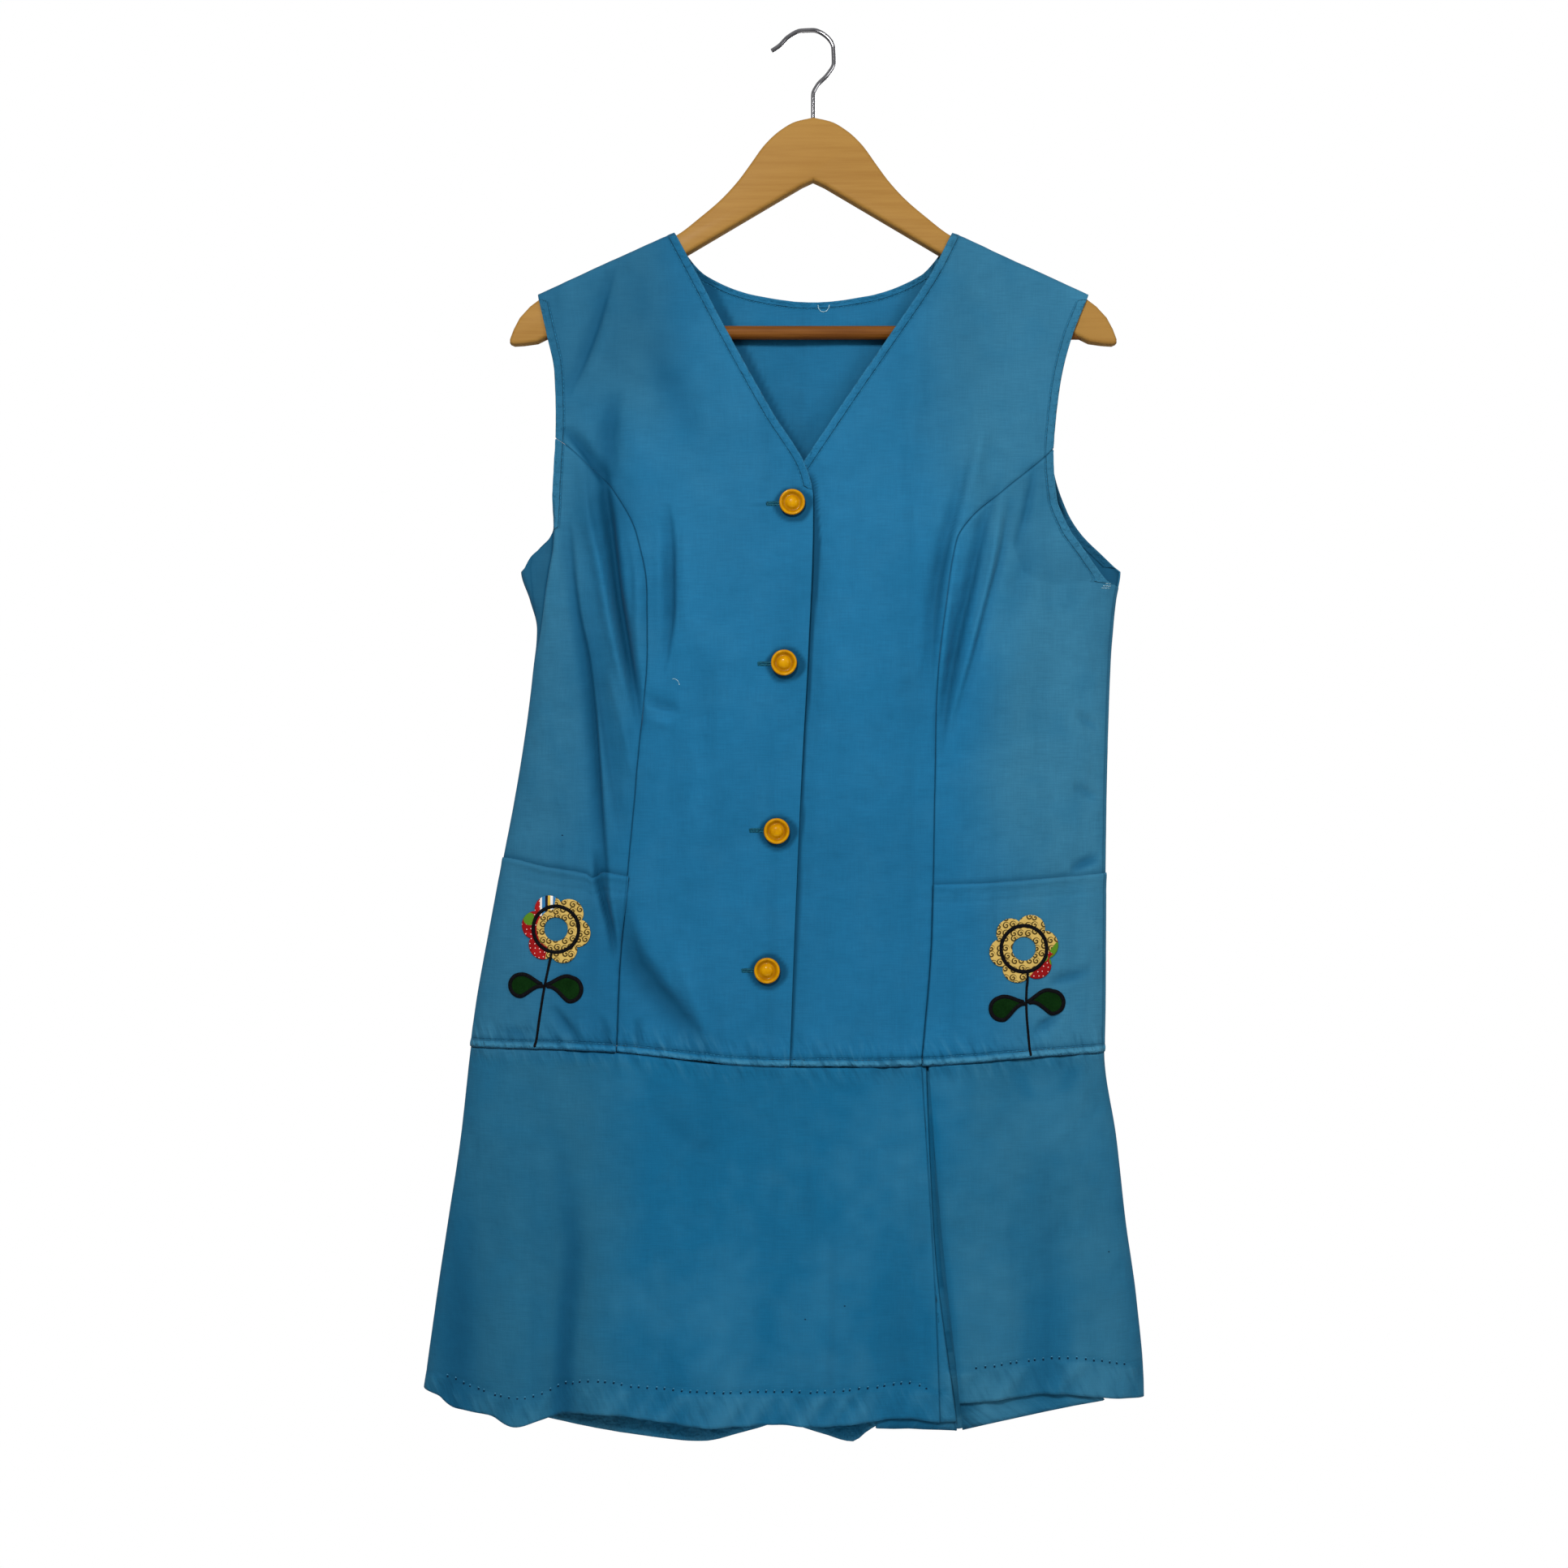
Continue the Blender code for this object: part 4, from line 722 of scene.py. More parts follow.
def button_shade(x: Array, z: Array) -> Array:
    """Painted shadow round each button, and the painted shade of the fine crease beyond the first buttonhole."""
    dark = np.zeros_like(x)
    for (across, up), _ in BUTTON_SPOTS:
        angle = np.arctan2(z - up, x - across)
        away = np.hypot(x - across - 0.9, z - up + 1.3)
        reach = 12.4 + 1.5 * np.cos(angle) ** 8 + 0.7 * wander(angle * 2.0, angle * 0.0, 1.3, up)
        dark = np.maximum(dark, 0.62 * ramp(away, reach + 2.0, reach - 2.0))
    line = 0.12 * bell(z + 345.6 - 0.3 * np.sin(x / 5.0), 0.9) * ramp(x, -56.0, -44.0) * ramp(x, -29.0, -33.0)
    return dark + line


def welt_shade(x: Array, z: Array) -> Array:
    """Painted highlight along the puffed welt, and painted shade beside it."""
    above = z - WAIST.at(x)
    return (0.2 * bell(above - WELT_HEIGHT - 1.2, 1.6) - 0.25 * bell(above - 2.9, 2.3)) * (above > 0.0)


def pleat_shade(x: Array, z: Array) -> Array:
    """Shadow down both sides of the pleat's opening."""
    right, left = x - PLEAT_FOLD.at(z), x - PLEAT_SIDE_FOLD.at(z)
    deep = ramp(z, -748.0, -840.0)
    return 0.22 * bell(left, 3.0) * (left > 0.0) * deep + 0.2 * bell(right, 1.6) * (right <= 0.0) * deep


def inner_shade(x: Array, z: Array) -> Array:
    """Painted shadow on the inside of the back, beside the front edges that stand before it and at the underarms, over
    an inside a little darker throughout.
    """
    away = np.maximum(x - LAP_RIGHT.at(z), 0.0)
    width = 9.8 + 0.03 * (z + 200.0)
    neck = 0.4 * ramp(away, width + 2.2, width - 2.2) + 0.06 * bell(away, 14.0)
    neck = neck + 0.2 * bell(np.minimum(x - LAP_LEFT.at(z), 0.0), 5.0)
    outside = np.maximum(x - ARMHOLE_LEFT.at(z), ARMHOLE_RIGHT.at(z) - x)
    arms = 0.36 * ramp(outside, -3.0, 0.0) * ramp(z, -300.0, -345.0)
    return np.where(np.abs(x) < 105.0, neck * ramp(z, -150.0, -175.0), arms) + 0.04


def pocket_lip(top: Curve) -> Relief:
    """Turned and stitched lip along a pocket's top."""

    def lip(x: Array, z: Array) -> Array:
        """Height of the lip at each place."""
        below = top.at(x) - z
        uneven = 0.6 * wander(x, below * 0.4, 9.0, 51.0) * bell(below, 9.0)
        return 1.2 * bell(below - 2.2, 2.6) - 0.6 * bell(below, 0.9) - 0.5 * bell(below - 13.0, 1.6) + uneven

    return lip


def pocket_shade(top: Curve) -> Relief:
    """Shadow above a pocket's lip."""
    return lambda x, z: 0.22 * bell(np.maximum(z - top.at(x), 0.0), 3.0) * (z > top.at(x) - 1.0)


def hem_shade(x: Array, z: Array) -> Array:
    """Lighter turned-up hem with painted light and shade on its slanting ripples, and painted shade at its stitch
    dimples.
    """
    below = below_stitches(x, z)
    slant = wander(x + below * 0.7, z * 0.2, 14.0, 31.0)
    return 0.06 * bell(below, 2.2) - (0.03 + 0.08 * slant) * ramp(below, 0.0, 4.0)


def welt(x: Array, z: Array) -> Array:
    """Height of the puffed and puckered seam allowance just above the waist seam."""
    above = z - WAIST.at(x)
    inside = np.clip(above / WELT_HEIGHT, 0.0, 1.0)
    swell = WELT_RISE * np.sin(math.pi * inside) ** 0.8
    pucker = 0.95 * wander(x + above * 0.35, z * 0.22, 5.2, 21.0) * bell(above - 6.0, 9.0)
    broad = 0.9 * wander(x + above * 0.3, z * 0.15, 14.0, 23.0) * bell(above - 10.0, 22.0)
    inside = ramp(above, -0.6, 0.6)
    return (swell + pucker + broad) * inside - 0.4 * bell(above, 1.2) - 0.5 * bell(above - WELT_HEIGHT, 1.1)


def lap_lift(x: Array, z: Array) -> Array:
    """How far the overlapping front edge stands off the one beneath."""
    edge = LAP_RIGHT.at(z)
    height = 3.0 * ramp(z, -180.0, -330.0) * ramp(z, -600.0, -420.0)
    ripple = 0.5 * wander(z, z * 0.0, 42.0, 3.0) * ramp(x, edge - 22.0, edge) * ramp(z, -330.0, -380.0)
    return height * ramp(x, edge - 45.0, edge) + ripple


def covered(x: Array, z: Array) -> Array:
    """1 where the overlapping front covers the lower one, 0 well clear of its edge."""
    edge = LAP_RIGHT.at(z)
    return 1.0 - ramp(x, edge + 3.0, edge + 14.0)


def lap_sink(x: Array, z: Array) -> Array:
    """How far the lower front drops back where the other front covers it."""
    return -1.9 * covered(x, z) * ramp(z, -250.0, -300.0)


def under_welt(x: Array, z: Array) -> Array:
    """Welt of the lower front, flat where the other front covers it."""
    return welt(x, z) * (1.0 - covered(x, z))


def skirt_hem_band(x: Array, z: Array) -> Array:
    """Turned-up hem: a step at the stitches, their dimples and short slanting ripples below."""
    below = below_stitches(x, z)
    slant = 1.7 * wander(x + below * 0.7, z * 0.2, 14.0, 31.0) * ramp(below, -2.0, 4.0)
    return 0.5 * ramp(below, -1.5, 1.5) - 0.7 * bell(below, 1.6) + slant


def waist_pull(x: Array, z: Array) -> Array:
    """Small gathers in the skirt just below the waist seam."""
    below = WAIST.at(x) - z
    fine = 0.8 * wander(x - below * 0.2, z * 0.2, 6.5, 41.0) * bell(below, 12.0)
    broad = 1.1 * wander(x - below * 0.2, z * 0.1, 17.0, 43.0) * bell(below - 8.0, 30.0)
    return (fine + broad - 0.35 * bell(below, 1.2)) * (below > -1.0)


PRINCESS_STYLE = dict(sink=0.75, pucker=0.3, reach=5.0, wave=6.0)
EDGE_STYLE = dict(stitch=EDGE_STITCH, sink=0.5, plump=0.35, pucker=0.4, reach=9.0, wave=5.5)
NECK_EDGE_RIGHT = Edging(LAP_RIGHT, Run.DOWN, -1, -334.0, -150.0, **EDGE_STYLE)
NECK_EDGE_LEFT = replace(NECK_EDGE_RIGHT, curve=LAP_LEFT, cloth_side=1, low=-338.0, plump=0.45, pucker=0.7,
                         wave=5.0, seed=4.0)
ARM_EDGE_RIGHT = Edging(ARMHOLE_RIGHT, Run.DOWN, 1, -362.0, -197.0, **EDGE_STYLE)
ARM_EDGE_LEFT = Edging(ARMHOLE_LEFT, Run.DOWN, -1, -400.0, -197.0, **EDGE_STYLE)
BACK_ARM_RIGHT = Edging(BACK_ARMHOLE_RIGHT, Run.DOWN, 1, -365.0, -197.0, **EDGE_STYLE)
BACK_ARM_LEFT = Edging(BACK_ARMHOLE_LEFT, Run.DOWN, -1, -388.0, -197.0, **EDGE_STYLE)
BACK_NECK_EDGE = Edging(BACK_NECK, Run.ACROSS, -1, -88.0, 88.0, stitch=NECK_STITCH, sink=0.4, plump=0.3,
                        pucker=0.35, reach=8.0, wave=5.0)
SEAM_RIGHT_IN = Edging(PRINCESS_RIGHT, Run.DOWN, 1, -740.0, -300.0, **PRINCESS_STYLE)
SEAM_RIGHT_OUT = replace(SEAM_RIGHT_IN, cloth_side=-1)
SEAM_LEFT_IN = Edging(PRINCESS_LEFT, Run.DOWN, -1, -750.0, -308.0, **PRINCESS_STYLE)
SEAM_LEFT_OUT = replace(SEAM_LEFT_IN, cloth_side=1)

WAIST_SEAM = Edging(WAIST, Run.ACROSS, 1, -262.0, 222.0)
WELT_STITCH = WELT_HEIGHT + 0.4
WAIST_ABOVE = (replace(WAIST_SEAM, stitch=WELT_STITCH), WAIST_SEAM)
WAIST_BELOW = (replace(WAIST_SEAM, cloth_side=-1),)
TO_WAIST = dict(bottom=WAIST.moved(WAIST_GAP).at, bottom_rows=4)
FROM_WAIST = dict(top=WAIST.moved(-WAIST_GAP).at, top_rows=3)
SIDE_SEAM_LEFT = Edging(SIDE_LEFT.moved(-3.0), Run.DOWN, -1, -736.0, -398.0)
TUCK_SEAM = Edging(Curve(((-345, -190.5), (-390, -206.0), (-440, -200.0))), Run.DOWN, 1, -430.0, -352.0)

FRONT_FORM = Form(-1, FRONT_DEPTH)
SKIRT_FORM = Form(-1, FRONT_DEPTH, SKIRT_FOLDS)
BACK_FORM = Form(1, BACK_DEPTH, BACK_FOLDS)
POCKET_BASE = GAP + WALL
MOTIF_BASE = POCKET_BASE + 0.35


class Nodes:
    """Node tree that is built up node by node."""

    def __init__(self, tree: bpy.types.NodeTree) -> None:
        """Start on a tree."""
        self.tree = tree

    def fill(self, socket: Socket, value: object) -> None:
        """Link a socket to another one or give it a value; a colour gets its opaque alpha."""
        if isinstance(value, Socket):
            self.tree.links.new(value, socket)
        else:
            socket.default_value = (*value, 1.0) if socket.type == "RGBA" and len(value) == 3 else value

    def add(self, kind: str, inputs: Optional[dict] = None, **settings: object) -> bpy.types.Node:
        """Add a node, with values or links for its sockets and settings for itself."""
        node = self.tree.nodes.new("ShaderNode" + kind)
        for name, value in settings.items():
            setattr(node, name, value)
        for socket, value in (inputs or {}).items():
            self.fill(node.inputs[socket], value)
        return node


class Shader(Nodes):
    """Node graph of one material, ending in its Principled shader."""

    def __init__(self, name: str, roughness: float, **constants: Union[float, Colour]) -> None:
        """Start a material.

        Args:
            name: The material's name.
            roughness: The shader's roughness.
            constants: Other sockets of the shader, with underscores for spaces.
        """
        self.material = bpy.data.materials.new(name)
        self.material.use_nodes = True
        super().__init__(self.material.node_tree)
        self.shader = self.tree.nodes["Principled BSDF"]
        for socket, value in {"Roughness": roughness, **constants}.items():
            self.fill(self.shader.inputs[socket.replace("_", " ")], value)

    def math(self, operation: str, first: object, second: object = 0.0) -> Socket:
        """Result of a sum on two numbers or sockets."""
        return self.add("Math", {0: first, 1: second}, operation=operation).outputs[0]

    def times(self, first: object, second: object) -> Socket:
        """Product of two numbers or sockets."""
        return self.math("MULTIPLY", first, second)

    def plus(self, first: object, second: object) -> Socket:
        """Sum of two numbers or sockets."""
        return self.math("ADD", first, second)

    def less(self, first: object, second: object) -> Socket:
        """First number or socket less the second."""
        return self.math("SUBTRACT", first, second)

    def blend(self, share: object, first: object, second: object) -> Socket:
        """Colour between two colours or sockets."""
        return self.add("Mix", {0: share, 6: first, 7: second}, data_type="RGBA").outputs[2]

    def coordinates(self, which: str, scale: tuple[float, ...] = (1.0, 1.0, 1.0)) -> Socket:
        """Object or UV coordinates, stretched by a scale."""
        return self.add("Mapping", {"Vector": self.add("TexCoord").outputs[which], "Scale": scale}).outputs[0]

    def lumps(self, place: Socket, scale: float, detail: float) -> Socket:
        """Noise from 0 to 1 at a place."""
        return self.add("TexNoise", {"Vector": place, "Scale": scale, "Detail": detail}).outputs[0]

    def streaks(self, which: str, scale: tuple[float, ...], detail: float) -> Socket:
        """Noise from 0 to 1, stretched along the coordinates by a scale."""
        return self.lumps(self.coordinates(which, scale), 1.0, detail)

    def cells(self, place: Socket, scale: float, randomness: float) -> Sockets:
        """Distance, colour and position of the nearest of many scattered points."""
        return self.add("TexVoronoi", {"Vector": place, "Scale": scale, "Randomness": randomness},
                        feature="F1", voronoi_dimensions="2D").outputs

    def axes(self, place: Socket) -> Sockets:
        """The three numbers of a place."""
        return self.add("SeparateXYZ", {0: place}).outputs

    def parts(self, colour: Socket) -> Sockets:
        """The three numbers of a colour."""
        return self.add("SeparateColor", {0: colour}).outputs

    def attribute(self, name: str) -> Sockets:
        """What the mesh keeps under a name."""
        return self.add("Attribute", attribute_name=name).outputs

    def between(self, value: Socket, low: float, high: float) -> Socket:
        """Value brought smoothly from low..high to 0..1."""
        return self.add("MapRange", {"Value": value, "From Min": low, "From Max": high},
                        interpolation_type="SMOOTHSTEP").outputs[0]

    def bump(self, height: Socket, strength: float, distance: float, under: Optional[Socket] = None) -> Socket:
        """Surface direction bent by a height, on top of an earlier one."""
        below = {} if under is None else {"Normal": under}
        return self.add("Bump", {"Height": height, "Strength": strength, "Distance": distance, **below}).outputs[0]

    def finish(self, colour: Socket, normal: Optional[Socket] = None) -> Material:
        """Join the colour and the bent surface direction to the shader."""
        for name, value in (("Base Color", colour), ("Normal", normal)):
            if value is not None:
                self.tree.links.new(value, self.shader.inputs[name])
        return self.material


@dataclass(frozen=True)
class BlueCloth:
    """Fine plain-woven cotton, deeper blue at the middle, greyer where rubbed and with painted sheen, and with painted
    shade and highlights.
    """

    name: str = "blue_cloth"
    inside: bool = False
    middle: Colour = (0.010, 0.145, 0.297)
    faded_and_sheened: Colour = (0.035, 0.173, 0.280)
    low: Colour = (0.0035, 0.118, 0.243)
    low_faded_and_sheened: Colour = (0.015, 0.123, 0.218)
    worn_and_lit: Colour = (0.07, 0.27, 0.41)
    stained_and_shaded: Colour = (0.001, 0.055, 0.12)
    gap: Colour = (0.0, 0.03, 0.08)
    thread: float = 0.00062

    def build(self) -> Material:
        """Make the material."""
        made = Shader(self.name, 0.8, Sheen_Weight=0.07, Sheen_Roughness=0.4,
                      Sheen_Tint=(0.4, 0.7, 0.9), Specular_IOR_Level=0.12)
        tone = made.attribute("tone")
        fade_and_sheen, low, both = made.parts(tone[0])[:3]
        colour = made.blend(fade_and_sheen, self.middle, self.faded_and_sheened)
        colour = made.blend(low, colour, made.blend(fade_and_sheen, self.low, self.low_faded_and_sheened))
        # The inside faces take the painted shadow kept in the tone's alpha.
        if self.inside:
            colour = made.blend(made.times(made.less(1.0, tone["Alpha"]), 2.0), colour, self.stained_and_shaded)
        solid, cloth = made.coordinates("Object"), made.coordinates("UV")
        across, up = made.axes(cloth)[:2]
        slubs, warp = made.streaks("UV", (70.0, 1500.0, 1.0), 3.0), made.streaks("UV", (1300.0, 55.0, 1.0), 2.0)
        threads = made.plus(made.times(slubs, 0.65), made.times(warp, 0.35))
        colour = made.blend(made.between(threads, 0.3, 0.7), made.blend(0.22, colour, self.gap), colour)
        mottle, streaks = made.lumps(solid, 38.0, 5.0), made.streaks("Object", (52.0, 1.0, 5.0), 3.0)
        puckers = made.streaks("UV", (230.0, 230.0, 1.0), 2.0)
        signed = made.less(both, 0.5)
        wear_and_light, stain_and_shade = (made.math("MAXIMUM", made.times(signed, way), 0.0) for way in (2.0, -2.0))
        turned, sewn, gathered = made.parts(made.attribute("marks")[0])[:3]
        line = made.between(made.math("ABSOLUTE", made.less(turned, 0.25)), 0.042, 0.012)
        slant = made.plus(across, made.times(up, 0.45))
        along = made.add("CombineXYZ", {0: made.times(slant, 150.0), 1: made.times(up, 38.0)}).outputs[0]
        wrinkles = made.lumps(along, 1.0, 2.0)
        hollow_shade, crest_highlight = (made.times(made.between(wrinkles, *ends), gathered) for ends in ((0.5, 0.3), (0.52, 0.7)))
        # Random mottle and ironed streaks; rubbing and painted light; stains and painted shade; painted shade in
        # wrinkle hollows and painted highlight on their crests; dark seams and stitch lines; turned edges lighter,
        # partly rubbed and partly a painted highlight.
        for share, amount, paint in (
                (made.between(mottle, 0.45, 0.8), 0.05, self.worn_and_lit), (made.between(mottle, 0.55, 0.2), 0.25, self.low),
                (made.between(streaks, 0.52, 0.8), 0.2, self.stained_and_shaded), (wear_and_light, 1.0, self.worn_and_lit),
                (stain_and_shade, 1.0, self.stained_and_shaded), (hollow_shade, 0.55, self.stained_and_shaded), (crest_highlight, 0.24, self.worn_and_lit),
                (line, 0.27, self.stained_and_shaded), (made.between(sewn, 0.11, 0.02), 0.45, self.stained_and_shaded),
                (made.between(turned, 0.07, 0.0), 0.16, self.worn_and_lit)):
            colour = made.blend(made.times(share, amount), colour, paint)
        pitch = 2.0 * math.pi / self.thread
        weave = made.plus(*(made.math("SINE", made.times(axis, pitch)) for axis in (across, up)))
        normal = None
        for height, strength, distance in (
                (weave, 0.12, 0.00008), (threads, 0.35, 0.00018), (made.lumps(solid, 210.0, 3.0), 0.35, 0.0006),
                (made.streaks("Object", (30.0, 30.0, 19.0), 3.0), 0.6, 0.006), (made.times(line, -1.0), 0.8, 0.0007),
                (made.times(puckers, made.between(turned, 0.36, 0.05)), 0.8, 0.0032),
                (made.times(wrinkles, gathered), 0.9, 0.004)):
            normal = made.bump(height, strength, distance, normal)
        return made.finish(colour, normal)


@dataclass(frozen=True)
class PrintedCloth:
    """Thin cloth with a generic print: small olive curls on pale yellow, and one red patch with dots.

    The patch lies outside the ring and past a line, given by a direction and a distance; its stripes
    start at a distance across from the centre.
    """

    name: str
    patch_x: float
    patch_z: float
    patch_start: float
    stripe_start: float
    centre: tuple[float, float]

    def build(self) -> Material:
        """Make the material."""
        made = Shader(self.name, 0.8, Specular_IOR_Level=0.1)
        solid = made.coordinates("Object", (1.0, 0.0, 1.0))
        across, _, up = made.axes(solid)
        flat = made.add("CombineXYZ", {0: across, 1: up}).outputs[0]
        curls = made.cells(flat, 190.0, 0.4)
        away = made.add("VectorMath", {0: flat, 1: curls["Position"]}, operation="SUBTRACT").outputs[0]
        away_x, away_z, _ = made.axes(away)
        angle = made.math("DIVIDE", made.math("ARCTAN2", away_z, away_x), 2.0 * math.pi)
        turn = made.math("FRACT", made.plus(made.times(curls["Distance"], 2.6), angle))
        line = made.between(made.math("ABSOLUTE", made.less(turn, 0.5)), 0.33, 0.24)
        marks = made.times(line, made.between(curls["Distance"], 0.52, 0.46))
        ground = made.blend(made.lumps(solid, 160.0, 2.0), (0.52, 0.34, 0.08), (0.60, 0.42, 0.12))
        colour = made.blend(made.times(marks, 0.95), ground, (0.05, 0.03, 0.004))
        x, z = made.less(across, self.centre[0] * MM), made.less(up, self.centre[1] * MM)
        radius = made.math("SQRT", made.plus(made.times(x, x), made.times(z, z)))
        past = made.plus(made.times(x, self.patch_x), made.times(z, self.patch_z))
        patch = made.times(made.between(past, self.patch_start * MM, (self.patch_start + 0.4) * MM),
                           made.between(radius, 0.0141, 0.0145))
        blobs = made.cells(flat, 90.0, 0.9)
        petals = made.blend(made.between(blobs["Distance"], 0.34, 0.30), (0.25, 0.004, 0.005), (0.33, 0.007, 0.008))
        specks = made.cells(flat, 300.0, 0.35)["Distance"]
        red = made.blend(made.between(specks, 0.13, 0.08), petals, (0.78, 0.66, 0.6))
        leafy = made.times(made.between(made.parts(blobs["Color"])[0], 0.6, 0.62),
                           made.between(blobs["Distance"], 0.42, 0.38))
        red = made.blend(leafy, red, (0.08, 0.2, 0.012))
        stripe = made.math("FRACT", made.times(x, 125.0))
        bars = (0.01, 0.01, 0.02)
        for start, paint in ((0.22, (0.6, 0.38, 0.05)), (0.45, (0.75, 0.72, 0.65)), (0.68, (0.03, 0.16, 0.34))):
            bars = made.blend(made.between(stripe, start, start + 0.04), bars, paint)
        striped = made.times(made.between(x, self.stripe_start * MM, (self.stripe_start + 0.3) * MM),
                             made.between(z, 0.009, 0.0094))
        colour = made.blend(patch, colour, made.blend(striped, red, bars))
        return made.finish(colour, made.bump(made.streaks("Object", (1600.0, 1.0, 1600.0), 1.0), 0.3, 0.0002))


@dataclass(frozen=True)
class PlainCloth:
    """Thin woven cloth in one dyed colour, a little uneven."""

    name: str
    colour: Colour
    lighter: Colour

    def build(self) -> Material:
        """Make the material."""
        made = Shader(self.name, 0.9, Specular_IOR_Level=0.06)
        fibres = made.streaks("Object", (900.0, 1.0, 900.0), 2.0)
        cloudy = made.lumps(made.coordinates("Object"), 120.0, 3.0)
        share = made.plus(made.times(fibres, 0.5), made.times(cloudy, 0.5))
        colour = made.blend(made.between(share, 0.35, 0.7), self.colour, self.lighter)
        return made.finish(colour, made.bump(fibres, 0.35, 0.0003))


@dataclass(frozen=True)
class Thread:
    """Twisted sewing thread, nearly matt."""

    name: str
    colour: Colour
    lighter: Colour
    roughness: float = 0.5

    def build(self) -> Material:
        """Make the material."""
        made = Shader(self.name, self.roughness, Specular_IOR_Level=0.08)
        twist = made.lumps(made.coordinates("Object"), 1400.0, 1.0)
        colour = made.blend(made.between(twist, 0.35, 0.65), self.colour, self.lighter)
        return made.finish(colour, made.bump(twist, 0.4, 0.0002))


@dataclass(frozen=True)
class YellowPlastic:
    """Glossy golden plastic, cloudy inside, with painted shade in the ring between rim and dome and on its outer side.
    """

    name: str = "yellow_button_plastic"
    colour: Colour = (0.58, 0.275, 0.0005)
    deep: Colour = (0.45, 0.19, 0.0)
    groove_shade: Colour = (0.16, 0.042, 0.0)

    def build(self) -> Material:
        """Make the material."""
        made = Shader(self.name, 0.28, Coat_Weight=0.08, Coat_Roughness=0.06, Specular_IOR_Level=0.06)
        cloudy, scuffs = (made.lumps(made.coordinates("Object"), *size) for size in ((230.0, 3.0), (900.0, 2.0)))
        colour = made.blend(made.between(cloudy, 0.3, 0.75), self.colour, self.deep)
        colour = made.blend(made.attribute("hollow_shade")["Fac"], colour, self.groove_shade)
        return made.finish(colour, made.bump(scuffs, 0.08, 0.0002))


@dataclass(frozen=True)
class Wood:
    """Varnished wood with grain that runs along X."""

    name: str
    colour: Colour
    grain: Colour
    roughness: float
    coat: float

    def build(self) -> Material:
        """Make the material."""
        made = Shader(self.name, self.roughness, Coat_Weight=self.coat, Coat_Roughness=0.2, Specular_IOR_Level=0.12)
        fibres = made.streaks("Object", (9.0, 90.0, 150.0), 4.0)
        streaks = made.streaks("Object", (22.0, 400.0, 620.0), 3.0)
        broad = made.streaks("Object", (5.0, 8.0, 16.0), 2.0)
        share = made.plus(made.times(fibres, 0.6), made.times(streaks, 0.4))
        colour = made.blend(made.between(share, 0.38, 0.72), self.colour, self.grain)
        colour = made.blend(made.times(made.between(broad, 0.45, 0.8), 0.35), colour, self.grain)
        return made.finish(colour, made.bump(streaks, 0.12, 0.0002))


@dataclass(frozen=True)
class BrightSteel:
    """Plated wire with faint rubbing marks."""

    name: str = "bright_hook_steel"
    bright: Colour = (0.3, 0.295, 0.305)
    rubbed: Colour = (0.2, 0.195, 0.205)

    def build(self) -> Material:
        """Make the material."""
        made = Shader(self.name, 0.1, Metallic=1.0)
        marks = made.streaks("Object", (120.0, 120.0, 40.0), 2.0)
        return made.finish(made.blend(made.between(marks, 0.4, 0.7), self.bright, self.rubbed))


@dataclass
class Wardrobe:
    """Every finish of the playsuit, built once."""

    made: dict[str, Material] = field(default_factory=dict)

    def get(self, finish: object) -> Material:
        """The material of a finish, made the first time it is asked for."""
        if finish.name not in self.made:
            self.made[finish.name] = finish.build()
        return self.made[finish.name]


BLUE = BlueCloth()
# Inside faces: the same cloth, darkened by the painted shadow of inner_shade.
BLUE_INSIDE = BlueCloth("blue_cloth_inside", True)
BLACK_THREAD = Thread("black_satin_thread", (0.001, 0.001, 0.0015), (0.004, 0.004, 0.006), 0.8)
BLUE_THREAD = Thread("blue_sewing_thread", (0.012, 0.12, 0.24), (0.03, 0.2, 0.34))
# Dark grains: real lint specks, and painted shade in the hem's stitch dimples.
DARK_LINT_AND_DIMPLE_SHADE = Thread("dark_lint_and_dimple_shade_thread", (0.0, 0.012, 0.035), (0.001, 0.02, 0.05))
LIGHT_THREAD = Thread("light_hem_thread", (0.04, 0.2, 0.33), (0.075, 0.27, 0.42))
TEAL_THREAD = Thread("teal_buttonhole_thread", (0.001, 0.03, 0.055), (0.008, 0.11, 0.16))
PALE_THREAD = Thread("pale_loop_thread", (0.12, 0.32, 0.42), (0.45, 0.6, 0.66))
LEAF_CLOTH = PlainCloth("green_leaf_cloth", (0.001, 0.014, 0.0012), (0.003, 0.024, 0.003))
PALE_WOOD = Wood("pale_hanger_wood", (0.335, 0.175, 0.038), (0.288, 0.14, 0.027), 0.6, 0.02)
BAR_WOOD = Wood("brown_bar_wood", (0.185, 0.064, 0.0075), (0.105, 0.031, 0.003), 0.55, 0.03)


def linked(name: str, data: bpy.types.ID) -> Piece:
    """Object that shows some data, put in the scene."""
    made = bpy.data.objects.new(name, data)
    bpy.context.scene.collection.objects.link(made)
    return made


def place_piece(made: Piece, slot: str, *nodes: str) -> Piece:
    """Hang a piece on the part.

    Args:
        made: The piece.
        slot: The record's material slot that it takes its finish from; not used.
        nodes: The nodes it stands for.

    Returns:
        The piece.
    """
    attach(made, BODY)
    if nodes:
        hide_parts(*nodes)
    return made


def to_object(name: str, bm: Mesh, material: Material) -> Piece:
    """Smooth-shaded object from a bmesh."""
    mesh = bpy.data.meshes.new(name)
    bm.to_mesh(mesh)
    bm.free()
    mesh.materials.append(material)
    mesh.shade_smooth()
    return linked(name, mesh)


